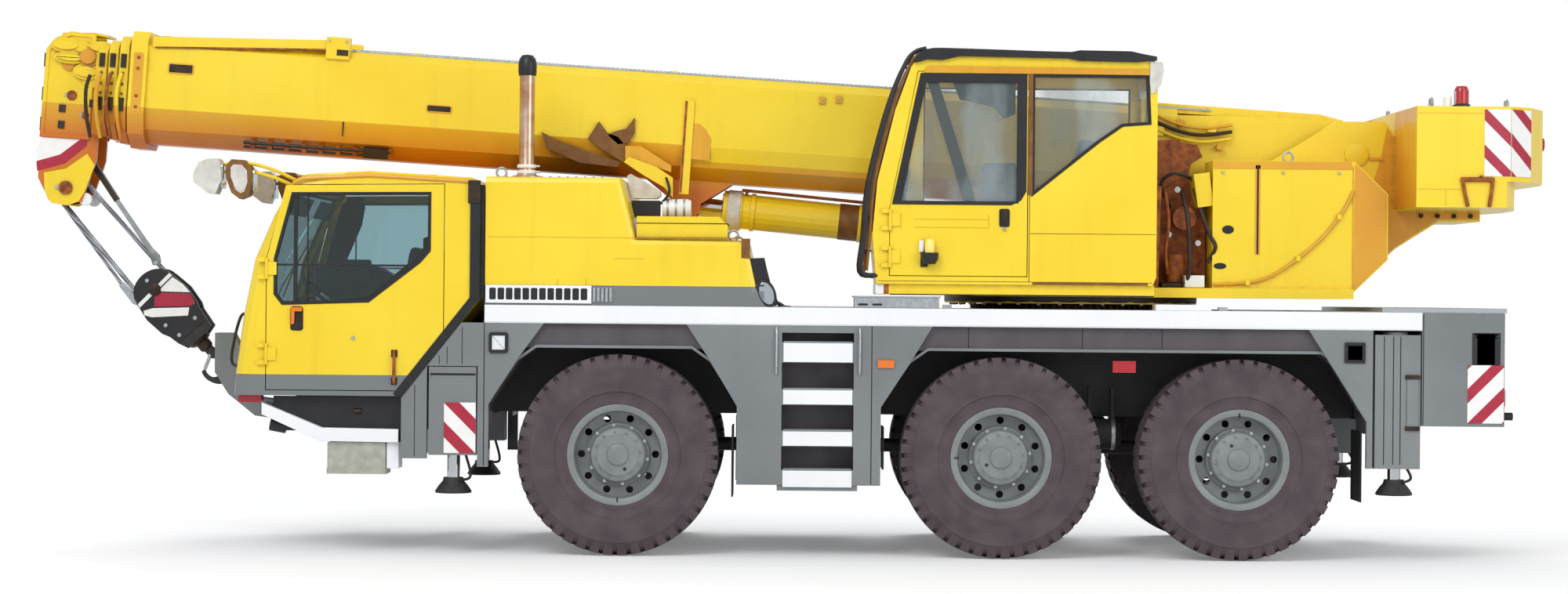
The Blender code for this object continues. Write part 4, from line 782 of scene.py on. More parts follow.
def make_side_trim():
    """What is fixed to both side panels and the deck's edge: lamps, step fronts, grips, seams."""
    for label, side in SIDES:
        trim = Shape()
        framed_lamp(trim, (-2.068, -1.932), (1.42, 1.565), side, "lens_clear")
        framed_lamp(trim, (3.936, 4.081), (1.40, 1.545), side, "lens_clear", round_by=0.006)
        y = side * HALF_WIDTH
        trim.box((0.662, 0.778), (y, y + side * 0.012), (1.338, 1.392), "lens_amber")
        trim.box((2.316, 2.478), (side * 1.16, side * 1.20), (1.318, 1.40), "lens_red")
        # step fronts: lower, upper edge of each white tread
        for low, high in ((0.497, 0.612), (0.787, 0.887), (1.078, 1.178), (1.375, 1.508)):
            trim.box((0.0, 0.485), (y - side * 0.008, y + side * 0.006), (low, high), "white")
            trim.box((0.0, 0.485), (y - side * 0.25, y - side * 0.012), (high + 0.005, high + 0.012),
                     "tread_plate")
        for x in (-0.05, 0.535):
            rail = smooth_path([(x, y - side * 0.01, 1.62), (x, y + side * 0.015, 1.58),
                                (x, y + side * 0.015, 1.32),
                                (x, y - side * 0.01, 1.28)], 4)
            trim.pipe(rail, 0.008, "zinc", 8)
        # the deck's folded edge
        trim.box((-2.098, 4.478), (y - side * 0.02, y + side * 0.006), (1.640, 1.752), "white")
        trim.build(f"side_trim_{label}", "carrier", None, 0.003)
        seams = Shape()
        for x, low in ((-2.10, 0.63), (0.62, 0.52), (4.139, 0.67), (1.30, 1.47), (2.10, 1.47), (2.66, 1.47)):
            inner = y - side * (0.0455 if low > 1.4 else 0.0005)
            seams.box((x - 0.003, x + 0.003), (inner, inner + side * 0.002), (low, 1.628), "seal")
        seams.build(f"panel_seams_{label}", "carrier", None, 0)
        plates = Shape()
        stripes(plates, (-2.378, -2.156), (0.715, 1.07), 1.2505, side, down_to_right=True, band=0.11)
        plates.build(f"front_marker_{label}", f"outrigger_front_{label}", None, 0)
        tail = Shape()
        stripes(tail, (4.80, 5.055), (0.985, 1.393), 1.2505, side, down_to_right=False, band=0.10)
        tail.build(f"tail_marker_{label}", "carrier", None, 0)
        flaps = Shape()
        for x in (-0.36, 4.06):
            flaps.box((x, x + 0.012), (side * 0.83, side * 1.20), (0.42, 0.92), "seal")
        flaps.box((0.70, 0.712), (side * 0.83, side * 1.18), (0.62, 0.92), "seal")
        flaps.build(f"mud_flaps_{label}", "carrier", None, 0.002)
    deck = Shape()
    # x range, y range of each non-slip field
    for x, y in (((-0.12, 1.10), (-1.22, -0.05)), ((-0.12, 1.10), (0.05, 1.22)),
                 ((3.15, 4.42), (-1.22, -0.05)),
                 ((3.15, 4.42), (0.05, 1.22))):
        deck.box(x, y, (DECK_TOP, 1.7625), "tread_plate")
    for side in (-1, 1):
        deck.box((2.61, 3.0), (side * 1.02, side * 1.245), (1.759, 1.80), "white")
        for x in (1.12, 3.06):
            deck.box((x, x + 0.06), (side * 1.12, side * 1.20), (1.759, 1.785), "zinc")
    deck.build("deck_fittings", "carrier", None, 0.003)


def make_tail():
    """Tail box: lid, lamps in their recesses, rear lamps, buffers and towing eye."""
    tail = Shape()
    tail.box((4.20, 5.075), (-1.245, 1.245), (DECK_TOP, 1.792), "tread_plate")
    for side in (-1, 1):
        y = side * 1.21
        outline = rounded((4.832, 5.028), (1.362, 1.618), 0.004)
        tail.plate(outline, y, y + side * 0.035, "black", holes=[grow(outline, -0.035)])
        tail.box((4.865, 4.995), (y, y + side * 0.012), (1.395, 1.585), "zinc")
        tail.box((4.90, 4.985), (y, y + side * 0.02), (1.40, 1.58), "lens_clear")
        # rear lamps: amber, red and clear from the outside in
        for i, lens_finish in enumerate(("lens_amber", "lens_red", "lens_red", "lens_clear")):
            low = side * (1.17 - i * 0.13)
            tail.plate(rounded((low, low - side * 0.115), (1.10, 1.22), 0.012), 5.06, 5.085,
                       lens_finish, "YZ")
        tail.plate(rounded((side * 1.20, side * 0.64), (1.075, 1.245), 0.02), 5.058, 5.072, "black", "YZ")
        tail.bar((5.06, side * 1.10, 1.03), (5.15, side * 1.10, 1.03), 0.028, "seal")
        tail.box((4.487, 4.492), (side * 1.2505, side * 1.252), (0.97, 1.75), "seal")
        for z in (1.30, 1.52):
            tail.bar((5.055, side * 0.50, z), (5.065, side * 0.50, z), 0.012, "zinc", steps=6)
    tail.plate(rounded((-0.45, 0.45), (1.30, 1.66), 0.02), 5.058, 5.066, "grey", "YZ")
    tail.plate(rounded((-0.30, 0.30), (1.02, 1.15), 0.01), 5.058, 5.068, "white", "YZ")
    tail.bar((5.06, 0, 0.985), (5.10, 0, 0.985), 0.05, "dark_steel")
    tail.build("tail_fittings", "carrier", None, 0.003)


def make_bumper():
    """Front bumper with lamps, white side steps, galvanised boxes and the hook's holding ears."""
    bumper = Shape()
    bumper.box((-3.62, -3.552), (-1.0, 1.0), (0.86, 1.05), "grey")
    bumper.box((-3.60, -3.22), (-0.95, 0.95), (0.87, 0.90), "frame")
    for side in (-1, 1):
        edge = [(-3.66, 0.975), (-3.66, 1.058), (-3.24, 0.885), (-2.70, 0.878), (-2.70, 0.785),
                (-3.25, 0.790)]
        bumper.plate(edge, side * 1.24, side * 1.215, "white")
        bumper.plate(edge[2:4] + [(-2.70, 0.862), (-3.245, 0.868)], side * 1.215, side * 0.96, "tread_plate")
        bumper.plate(edge[:3] + [(-3.25, 0.86), (-3.645, 1.03)], side * 1.215, side * 0.96, "white")
        bumper.plate(edge, side * 0.985, side * 0.96, "grey")
        bumper.plate(rounded((-3.20, -2.79), (0.56, 0.785), 0.012), side * 1.21, side * 0.97, "toolbox")
        bumper.box((-3.205, -2.785), (side * 1.213, side * 0.965), (0.56, 0.60), "toolbox")
        bumper.box((-2.785, -2.70), (side * 1.20, side * 0.98), (0.60, 0.785), "white")
        # dark underfloor shield behind the step
        bumper.box((-3.59, -2.69), (side * 1.165, side * 1.15), (0.86, 1.104), "black")
        bumper.bar((-3.02, side * 1.167, 1.00), (-2.97, side * 1.167, 1.00), 0.02, "dark_steel")
        # red clearance lamp and fog lamp
        bumper.plate(rounded((-3.84, -3.675), (1.055, 1.108), 0.015), side * 1.16, side * 1.05, "lens_red")
        bumper.bar((-3.61, side * 1.12, 0.91), (-3.50, side * 1.12, 0.88), 0.055, "black", 0.045)
        bumper.bar((-3.615, side * 1.12, 0.911), (-3.61, side * 1.12, 0.91), 0.048, "lens_clear")
        outline = rounded((side * 0.55, side * 0.97), (0.90, 1.03), 0.02)
        bumper.plate(outline, -3.622, -3.632, "black", "YZ")
        for y, size in ((0.88, 0.052), (0.74, 0.052), (0.62, 0.040)):
            bumper.turned([(0, 0), (size, 0), (size * 0.9, 0.012), (0, 0.018)], (-3.630, side * y, 0.965),
                          "X",
                          "lens_clear" if y > 0.65 else "lens_amber", steps=28)
        ear = [(-4.20, 1.24), (-4.10, 1.08), (-3.90, 0.92), (-3.60, 0.88), (-3.60, 1.02), (-3.90, 1.06),
               (-3.94, 1.28), (-4.07, 1.53), (-4.20, 1.53)]
        bumper.plate(ear, side * 0.05, side * 0.09, "grey")
    bumper.box((-3.66, -3.62), (-0.16, 0.16), (0.90, 1.0), "dark_steel")
    piece = bumper.build("bumper_and_steps", "carrier", "paint_grey", 0.004)
    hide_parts("front_bumper")


def make_outriggers():
    """Beam-end plates, jack feet and lock pins; the CAD beams show between them."""
    for end, x, foot, low, high in (("front", (-2.49, -2.15), 0.43, 0.70, 1.32),
                                    ("rear", (4.147, 4.475), 0.47, 0.66, 1.60)):
        middle = sum(x) / 2
        for label, side in SIDES:
            jack_y = side * 1.135
            trim = Shape()
            y = side * HALF_WIDTH
            if end == "rear":
                for seam in (4.215, 4.28, 4.33):
                    trim.box((seam - 0.003, seam + 0.003), (y, y + side * 0.002), (low + 0.03, high - 0.01),
                             "seal")
                trim.box((4.375, 4.455), (y, y + side * 0.010), (0.93, 1.30), "grey")
                for z in (0.93, 1.29):
                    trim.box((4.365, 4.465), (y, y + side * 0.016), (z, z + 0.03), "dark_steel")
            else:
                trim.box((x[0] + 0.012, x[1] - 0.01), (y, y + side * 0.002), (high - 0.06, high - 0.045),
                         "seal")
            trim.bar((middle, jack_y, high), (middle, jack_y, high + 0.02), 0.09, "grey")
            trim.build(f"beam_end_{end}_{label}", f"outrigger_{end}_{label}", "paint_grey", 0.002)
            foot_piece = Shape()
            foot_piece.turned([(0, foot), (0.125, foot), (0.13, foot + 0.012), (0.105, foot + 0.05),
                               (0.075, foot + 0.085),
                               (0.07, foot + 0.11), (0, foot + 0.11)], (middle, jack_y, 0), "Z", "cast",
                              steps=32)
            foot_piece.bar((middle, jack_y, foot + 0.10), (middle, jack_y, low + 0.05), 0.046, "chrome")
            foot_piece.pipe(smooth_path([(middle + 0.08, jack_y, low + 0.02),
                                         (middle + 0.12, jack_y, foot + 0.12),
                                         (middle + 0.05, jack_y + side * 0.07, foot + 0.09)]), 0.010,
                            "hose", 8)
            made = foot_piece.build(f"jack_foot_{end}_{label}", f"jack_{end}_{label}", "black_paint", 0.002)
            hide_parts(f"jack_{end}_{label}")


# Driver's cab

# front skin of the cab, x at height z
CAB_FRONT = ((-3.872, 1.11), (-3.861, 1.25), (-3.806, 1.68), (-3.729, 2.07), (-3.60, 2.37), (-3.454, 2.63))
CAB_WINDOW = [(-3.575, 1.82), (-3.575, 2.07), (-3.454, 2.53), (-2.486, 2.54), (-2.486, 2.133),
              (-2.558, 2.05), (-2.915, 1.772), (-3.52, 1.75)]


def skin_x(skin, z):
    """The x of a cab's front skin at one height; the skin is given from the bottom up."""
    for (xa, za), (xb, zb) in zip(skin, skin[1:]):
        if z <= zb:
            return xa + (xb - xa) * (z - za) / (zb - za)
    return skin[-1][0]


def front_x(z):
    """The driver's cab front skin at one height."""
    return skin_x(CAB_FRONT, z)


def make_cab_body():
    """Windscreen, rear window, seals, wipers, gutter, roof hatch, mirrors and front fittings."""
    trim = Shape()
    heights = (1.765, 1.90, 2.07, 2.22, 2.37, 2.55)
    outer = [(front_x(z) + 0.012, z) for z in heights]
    inner = [(x + 0.009, z) for x, z in reversed(outer)]
    pane = Shape()
    pane.plate(outer + inner, -1.055, 1.055, "glass")
    pane.box((-2.172, -2.166), (-0.745, 0.745), (2.005, 2.445), "glass")
    pane.build("cab_panes", "carrier", None, 0)
    for z in (1.756, 2.552):
        trim.pipe([(front_x(z) + 0.004, -1.05, z), (front_x(z) + 0.004, 1.05, z)], 0.014, "seal", 8)
    for side in (-1, 1):
        trim.pipe([(front_x(z) + 0.004, side * 1.052, z) for z in heights], 0.014, "seal", 8)
        # wiper: arm and blade lying on the glass
        foot = Vector((front_x(1.745) - 0.02, side * 0.18, 1.745))
        tip = Vector((front_x(2.02) - 0.012, side * 0.66, 2.02))
        trim.bar(foot + Vector((0.02, 0, 0)), foot - Vector((0.02, 0, 0)), 0.018, "black", steps=12)
        trim.pipe([foot, (foot + tip) / 2 - Vector((0.012, 0, 0)), tip], 0.006, "black", 6)
        blade = [Vector((front_x(z) - 0.001, side * y, z)) for y,
                 z in ((0.40, 1.80), (0.66, 2.02), (0.92, 2.24))]
        trim.pipe(blade, 0.007, "seal", 6)
        # gutter over the door, black filler at the rear edge and its grey cap
        gutter = [(-3.45, side * 1.248, 2.600), (-3.38, side * 1.252, 2.634), (-2.915, side * 1.252, 2.658),
                  (-2.22, side * 1.252, 2.622)]
        trim.pipe(gutter, 0.014, "amber", 8)
        trim.box((-2.205, -2.135), (side * 1.2505, side * 1.262), (1.80, 2.61), "seal")
        trim.box((-2.137, -2.108), (side * 1.18, side * 1.225), (1.80, 2.60), "seal")
        trim.box((-2.22, -2.134), (side * 1.2505, side * 1.270), (2.47, 2.63), "dark_steel")
        # black edging down the sloping rear edge
        edge = [(-2.135, 1.80), (-2.675, 1.107), (-2.722, 1.107), (-2.735, 1.13), (-2.180, 1.84),
                (-2.135, 1.84)]
        trim.plate(edge, side * 1.2505, side * 1.256, "seal")
        # vertical folds in the grey corner panel under it, drawn as dark lines of painted shade
        for x, low, high in ((-2.585, 0.69, 1.19), (-2.415, 1.34, 1.40), (-2.36, 1.34, 1.46),
                             (-2.255, 1.34, 1.60)):
            trim.box((x - 0.0025, x + 0.0025), (side * SKIN, side * 1.2512), (low, high), "seal")
        # grip on the cab's front corner
        rail = smooth_path([(-3.79, side * 1.06, 1.30), (-3.90, side * 1.06, 1.33),
                            (-3.885, side * 1.06, 1.50),
                            (-3.84, side * 1.06, 1.66), (-3.79, side * 1.06, 1.68)], 5)
        trim.pipe(rail, 0.011, "black", 8)
    # front panel: two louvred vents, a blank plate, a parting line
    for y in (-0.62, 0.62):
        for i in range(5):
            z = 1.36 + i * 0.035
            trim.box((front_x(z) - 0.004, front_x(z) + 0.02), (y - 0.22, y + 0.22), (z, z + 0.017), "black")
    trim.box((front_x(1.16) - 0.006, front_x(1.16) + 0.02), (-0.26, 0.26), (1.125, 1.235), "white")
    trim.box((front_x(1.60) - 0.003, front_x(1.60) + 0.02), (-1.04, 1.04), (1.597, 1.603), "seal")
    # roof hatch with its handle
    trim.box((-3.10, -2.55), (-0.36, 0.36), (2.675, 2.702), "yellow")
    trim.box((-2.86, -2.78), (-0.06, 0.06), (2.700, 2.712), "black")
    trim.build("cab_trim", "carrier", None, 0.003)
    for label, side in SIDES:
        mirror = Shape()
        arm_y = side * 1.10
        for lift in (0.0, -0.09):
            arm = smooth_path([(-3.46, side * 1.02, 2.625 + lift * 0.5), (-3.62, arm_y, 2.70 + lift * 0.6),
                               (-3.80, side * 1.15, 2.74 + lift * 0.6),
                               (-4.02, side * 1.16, 2.725 + lift * 0.6)])
            mirror.pipe(arm, 0.013, "yellow", 8)
        body = [(-4.150, 2.60), (-4.155, 2.66), (-4.12, 2.74), (-4.06, 2.765), (-3.985, 2.77), (-3.965, 2.74),
                (-3.955, 2.62), (-4.00, 2.52), (-4.05, 2.525)]
        mirror.plate(body, side * 1.05, side * 1.24, "ivory")
        mirror.plate(rounded((side * 1.06, side * 1.23), (2.56, 2.74), 0.03), -3.963, -3.950, "mirror", "YZ")
        wide = [(-3.93, 2.64), (-3.93, 2.72), (-3.89, 2.765), (-3.80, 2.76), (-3.745, 2.70), (-3.74, 2.60),
                (-3.77, 2.51), (-3.83, 2.485), (-3.89, 2.53)]
        mirror.plate(wide, side * 1.06, side * 1.22, "brown")
        mirror.plate(grow(wide, -0.035), side * 1.2202, side * 1.226, "ivory")
        mirror.plate(rounded((side * 1.07, side * 1.21), (2.54, 2.70), 0.03), -3.742, -3.730, "mirror", "YZ")
        mirror.build(f"cab_mirror_{label}", "carrier", None, 0.012, 3)


def make_cab_doors():
    """Door glass with its bars and seal, handle, marker and grab rail, each riding on its door."""
    for label, side in SIDES:
        body = f"cab_door_{label}"
        pane = Shape()
        pane.plate(grow(CAB_WINDOW, -0.001), side * 1.236, side * 1.230, "glass")
        pane.build(f"door_pane_{label}", body, None, 0)
        trim = Shape()
        trim.plate(grow(CAB_WINDOW, 0.006), side * SKIN, side * 1.254, "seal",
                   holes=[grow(CAB_WINDOW, -0.016)])
        trim.plate(grow(CAB_WINDOW, -0.0005), side * 1.250, side * 1.222, "seal",
                   holes=[grow(CAB_WINDOW, -0.016)])
        # wide seal along the lower rear corner
        band = [(-2.486, 2.133), (-2.558, 2.05), (-2.915, 1.772), (-3.10, 1.766), (-3.10, 1.785),
                (-2.93, 1.800),
                (-2.60, 2.075), (-2.535, 2.15), (-2.535, 2.22), (-2.486, 2.24)]
        trim.plate(band, side * 1.240, side * 1.2465, "seal")
        for x, half in ((-3.43, 0.014), (-3.345, 0.005)):
            trim.box((x - half, x + half), (side * 1.236, side * 1.246), (1.752, 2.538), "black")
        trim.box((-3.575, -2.487), (side * 1.236, side * 1.243), (2.020, 2.034), "black")
        # handle in its recess, with an amber marker in front
        trim.plate(rounded((-3.462, -3.372), (1.565, 1.735), 0.02), side * SKIN, side * 1.254, "dark_steel")
        grip = [(-3.455, 1.728), (-3.378, 1.728), (-3.378, 1.700), (-3.430, 1.700), (-3.432, 1.615),
                (-3.455, 1.605)]
        trim.plate(grip, side * 1.254, side * 1.272, "lens_amber")
        trim.bar((-3.405, side * 1.252, 1.60), (-3.405, side * 1.268, 1.60), 0.028, "black", steps=24)
        rail = smooth_path([(-2.73, side * 1.248, 1.20), (-2.73, side * 1.272, 1.225),
                            (-2.73, side * 1.272, 1.40),
                            (-2.73, side * 1.248, 1.425)], 4)
        trim.pipe(rail, 0.011, "rust", 10)
        trim.box((-2.752, -2.708), (side * SKIN, side * 1.256), (1.385, 1.435), "dark_steel")
        trim.box((-2.752, -2.708), (side * SKIN, side * 1.256), (1.19, 1.24), "dark_steel")
        trim.bar((-3.02, side * SKIN, 1.515), (-3.02, side * 1.258, 1.515), 0.014, "zinc", steps=20)
        trim.plate(rounded((-3.33, -2.75), (1.30, 1.68), 0.05), side * 1.2045, side * 1.198, "liner")
        trim.build(f"door_trim_{label}", body, None, 0.002)


def cushion(shape, x, y, z, crown, finish, tilt=None, steps=10):
    """A stuffed cushion: a superellipse in plan, thick in the middle and thin at the welt."""
    middle = Vector(((x[0] + x[1]) / 2, (y[0] + y[1]) / 2, (z[0] + z[1]) / 2))
    half = Vector(((x[1] - x[0]) / 2, (y[1] - y[0]) / 2, (z[1] - z[0]) / 2))
    around = 4 * steps
    corners = []
    for i in range(1, 2 * steps):
        t = math.pi * i / (2 * steps) - math.pi / 2
        flat, high = math.cos(t), math.sin(t)
        reach = flat ** 0.22
        lift = math.copysign(abs(high) ** 0.55, high)
        for k in range(around):
            a = 2 * math.pi * k / around
            c, s = math.cos(a), math.sin(a)
            px = math.copysign(abs(c) ** 0.4, c) * reach
            py = math.copysign(abs(s) ** 0.4, s) * reach
            swell = 1 + crown * (1 - 0.5 * (px * px + py * py)) if lift > 0 else 1
            corners.append((px * half.x, py * half.y, lift * half.z * swell))
    corners += [(0, 0, -half.z), (0, 0, half.z * (1 + crown))]
    turn = tilt or Matrix.Identity(3)
    placed = [middle + turn @ Vector(corner) for corner in corners]
    rows = 2 * steps - 1
    faces = fan(rows * around, 0, around) + fan(rows * around + 1, (rows - 1) * around, around)
    for i in range(rows - 1):
        faces += wall(i * around, (i + 1) * around, around)
    shape.add(placed, faces, finish)


def seat(name, place, floor, body, node=None):
    """A sprung driver's seat: frame, bellows and base, with stuffed cushion, back and headrest."""
    x, y = place
    base = Shape()
    base.box((x - 0.18, x + 0.18), (y - 0.17, y + 0.17), (floor, floor + 0.03), "dark_steel")
    for i in range(4):
        inset = 0.015 * (i % 2)
        low = floor + 0.03 + i * 0.045
        base.box((x - 0.16 + inset, x + 0.16 - inset), (y - 0.15 + inset, y + 0.15 - inset),
                 (low, low + 0.045), "seal")
    base.box((x - 0.22, x + 0.20), (y - 0.21, y + 0.21), (floor + 0.21, floor + 0.245), "liner")
    base.bar((x + 0.20, y - 0.22, floor + 0.28), (x + 0.20, y + 0.22, floor + 0.28), 0.018, "dark_steel")
    base.plate([(x + 0.19, floor + 0.26), (x + 0.235, floor + 0.26), (x + 0.335, floor + 0.86),
                (x + 0.300, floor + 0.86)],
               y - 0.19, y + 0.19, "liner")
    made = base.build(f"{name}_frame", body, "seat_cloth", 0.008)
    if node:
        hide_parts(node)
    soft = Shape()
    cushion(soft, (x - 0.26, x + 0.20), (y - 0.25, y + 0.25), (floor + 0.25, floor + 0.36), 0.25, "cloth")
    lean = leaned(-80)
    cushion(soft, (x - 0.06, x + 0.50), (y - 0.235, y + 0.235), (floor + 0.54, floor + 0.66), 0.35, "cloth",
            lean)
    cushion(soft, (x + 0.20, x + 0.37), (y - 0.13, y + 0.13), (floor + 0.865, floor + 0.965), 0.3, "cloth",
            lean)
    piece = soft.build(f"{name}_cushions", body, "seat_cloth", 0)


def steering_wheel(shape, centre, tilt):
    """Rim, three spokes, boss and column, drawn round Z and tipped into place."""
    turn = Matrix.Translation(centre) @ Matrix.Rotation(tilt, 4, "Y")
    shape.pipe([turn @ Vector((x, y, 0)) for x, y in circle((0, 0), 0.215, 40)], 0.015, "black", 10,
               closed=True)
    for a in (math.radians(90), math.radians(-90), math.radians(180)):
        end = Vector((0.205 * math.cos(a), 0.205 * math.sin(a), 0))
        shape.bar(turn @ Vector((0, 0, -0.02)), turn @ end, 0.014, "dark_steel", steps=10)
    shape.bar(turn @ Vector((0, 0, -0.05)), turn @ Vector((0, 0, 0.012)), 0.055, "white", 0.045)
    shape.bar(turn @ Vector((0, 0, -0.42)), turn @ Vector((0, 0, -0.05)), 0.034, "black")


def make_cab_interior():
    """Two sprung seats, dashboard with dials, steering wheel, floor mats, tunnel and tall console."""
    floor = 1.1605
    for label, side in SIDES:
        seat(f"cab_seat_{label}", (-2.92, side * 0.68), floor, "carrier", "cab_seats" if side < 0 else None)
    dash = Shape()
    shape = [(-3.755, floor), (-3.70, 1.60), (-3.665, 1.70), (-3.52, 1.735), (-3.44, 1.70), (-3.40, 1.60),
             (-3.43, 1.48),
             (-3.60, 1.36), (-3.62, floor)]
    dash.plate(shape, -1.12, 1.12, "liner")
    dash.plate([(-3.53, 1.735), (-3.44, 1.80), (-3.40, 1.79), (-3.42, 1.70)], -0.95, -0.41, "black")
    for y, radius in ((-0.80, 0.055), (-0.68, 0.04), (-0.56, 0.055)):
        dash.bar((-3.405, y, 1.742), (-3.398, y, 1.738), radius, "white", steps=28)
        dash.bar((-3.412, y, 1.744), (-3.400, y, 1.739), radius * 1.12, "black", steps=28)
    for row in range(2):
        for i in range(5):
            y = -0.22 + i * 0.11
            z = 1.64 - row * 0.06
            dash.box((-3.408 - row * 0.015, -3.395), (y - 0.035, y + 0.035), (z, z + 0.035), "dark_steel")
    dash.box((-3.43, -3.395), (0.45, 0.95), (1.50, 1.66), "black")
    dash.box((-3.60, -2.25), (-0.30, 0.30), (floor, floor + 0.10), "liner")
    dash.box((-3.55, -2.60), (-1.10, -0.33), (floor, floor + 0.008), "seal")
    dash.box((-3.55, -2.60), (0.33, 1.10), (floor, floor + 0.008), "seal")
    for y in (-0.80, -0.66, -0.52):
        dash.box((-3.60, -3.55), (y - 0.04, y + 0.04), (1.24, 1.38), "seal", leaned(25))
    steering_wheel(dash, (-3.30, -0.68, 1.80), math.radians(38))
    lever = smooth_path([(-3.15, -0.26, floor + 0.09), (-3.17, -0.26, 1.45), (-3.22, -0.26, 1.58)])
    dash.pipe(lever, 0.010, "dark_steel", 8)
    dash.turned([(0, -0.03), (0.024, -0.02), (0.028, 0), (0.020, 0.025), (0, 0.03)], (-3.22, -0.26, 1.60),
                "Z", "black", 20)
    # tall console between the seats, the crane's screen on it, and the lining of the far pillar
    dash.plate([(-3.46, 1.26), (-3.48, 2.02), (-3.38, 2.05), (-3.02, 2.03), (-2.78, 1.90), (-2.70, 1.26)],
               0.02, 0.28,
               "liner")
    dash.plate(rounded((-3.30, -3.06), (1.90, 2.08), 0.02), -0.03, 0.02, "black")
    dash.plate([(-3.60, 1.80), (-3.44, 1.80), (-3.40, 2.10), (-3.29, 2.36), (-3.265, 2.50), (-3.29, 2.575),
                (-3.40, 2.575),
                (-3.47, 2.40), (-3.54, 2.10)], 1.155, 1.175, "seal")
    # sun blinds and rear shelf
    for y in (-0.58, 0.58):
        dash.box((-3.50, -3.485), (y - 0.38, y + 0.38), (2.38, 2.52), "liner", leaned(26))
    dash.box((-2.42, -2.195), (-1.10, 1.10), (1.86, 1.885), "liner")
    piece = dash.build("dashboard", "carrier", "black_plastic", 0.004)
    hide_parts("cab_dashboard")


# Engine hood

def make_hood(sizes):
    """Grilles, slatted vents, seams, cooling louvres, locker lid, exhaust pipe and the round mirror."""
    for label, side in SIDES:
        grille = Shape()
        y = 1.231
        outline = [(-2.095, 1.772), (-1.352, 1.772), (-1.352, 1.898), (-2.095, 1.898)]
        slots = []
        count = sizes.grille_slots
        pitch = 0.70 / count
        for i in range(count):
            low = -2.075 + i * pitch
            slots.append(rounded((low + 0.006, low + pitch - 0.006), (1.795, 1.878), 0.008, 2))
        grille.plate(outline, side * y, side * (y + 0.012), "white", holes=slots)
        grille.box((-2.09, -1.36), (side * (y - 0.001), side * (y + 0.003)), (1.78, 1.892), "black")
        for i in range(5):
            low = -1.342 + i * 0.029
            grille.box((low, low + 0.018), (side * y, side * (y + 0.010)), (1.785, 1.885), "zinc")
        grille.build(f"hood_grille_{label}", "carrier", None, 0.002)
        seams = Shape()
        # folds and small seams pressed into the side, drawn as darker lines: painted shade in the folds
        for x, z in (((-2.08, -0.30), (2.234, 2.238)), ((-1.592, -1.588), (1.902, 1.945)),
                     ((-1.392, -1.388), (1.902, 1.945)), ((-1.20, -0.98), (2.088, 2.091))):
            seams.box(x, (side * 1.2302, side * 1.2314), z, "amber")
        seams.box((-0.19, -0.14), (side * 1.10, side * 1.229), (1.902, 1.912), "black")
        seams.build(f"hood_seams_and_fold_shade_{label}", "carrier", None, 0.001)
    top = Shape()
    # cooling louvres in the top of the hood
    for i in range(12):
        x = -2.00 + i * 0.062
        top.box((x, x + 0.042), (-0.78, 0.78), (2.661, 2.676), "black", leaned(18))
    top.plate([(-2.05, -0.84), (-1.20, -0.84), (-1.20, 0.84), (-2.05, 0.84)], HOOD_TOP, 2.668, "yellow", "XY",
              holes=[[(-2.02, -0.80), (-1.23, -0.80), (-1.23, 0.80), (-2.02, 0.80)]])
    top.box((-2.02, -1.23), (-0.80, 0.80), (HOOD_TOP, 2.663), "black")
    # locker on the near side: its lid line, its sill drawn in brown as painted shadow along its foot, and its
    # rear bracket
    top.box((-1.043, -0.398), (-1.203, -0.617), (2.338, 2.344), "seal")
    top.box((-1.043, -0.31), (-1.222, -1.2003), (2.2335, 2.243), "brown")
    top.box((-0.302, -0.242), (-1.2335, -1.05), (2.10, 2.238), "brown")
    # filler caps and lifting eyes on the low rear deck of the hood
    top.turned([(0, 2.228), (0.065, 2.228), (0.065, 2.262), (0.055, 2.27), (0, 2.27)], (-0.60, 0.55, 0),
               "Z", "black", 28)
    top.turned([(0, 2.228), (0.045, 2.228), (0.045, 2.252), (0, 2.258)], (-0.60, 0.78, 0), "Z", "zinc", 24)
    for x, y, z in ((-2.0, -1.12, 2.655), (-2.0, 1.12, 2.655), (-0.36, -1.12, 2.225), (-0.36, 1.12, 2.225)):
        top.pipe([(a, y, b) for a, b in circle((x, z + 0.035), 0.035, 16)], 0.009, "zinc", 8, closed=True)
        top.turned([(0, z), (0.028, z), (0.026, z + 0.010), (0, z + 0.012)], (x, y, 0), "Z", "zinc", 20)
    top.build("hood_top", "carrier", None, 0.002)

    pipe = Shape()
    x, y = -1.84, -0.92
    pipe.turned([(0, 2.661), (0.115, 2.661), (0.115, 2.671), (0.075, 2.676), (0.062, 2.70), (0.055, 2.72),
                 (0.055, 3.40),
                 (0.060, 3.405), (0.060, 3.425), (0, 3.425)], (x, y, 0), "Z", "exhaust", 36)
    pipe.turned([(0, 3.39), (0.062, 3.39), (0.066, 3.42), (0.066, 3.475), (0.058, 3.51), (0.040, 3.535),
                 (0.0, 3.542)],
                (x, y, 0), "Z", "black", 32)
    for z in (2.705, 2.745):
        pipe.sleeve(0.054, 0.068, 0.012, (x, y, z), "Z", "white", 32)
        pipe.bar((x + 0.066, y - 0.012, z), (x + 0.095, y - 0.012, z), 0.008, "zinc", steps=8)
    pipe.bolts([(a, b, 2.671) for a, b in circle((x, y), 0.095, 6, math.pi / 6)], "Z", 0.010, 0.009, "zinc")
    made = pipe.build("exhaust_pipe", "carrier", "bright_steel", 0.002)
    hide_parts("exhaust_stack")

    mirror = Shape()
    shell = [(-0.243, 2.10), (-0.140, 2.105), (-0.118, 2.01), (-0.088, 1.90), (-0.035, 1.785), (-0.06, 1.765),
             (-0.11, 1.775), (-0.16, 1.84), (-0.205, 1.95)]
    mirror.plate(shell, -1.215, -1.10, "black")
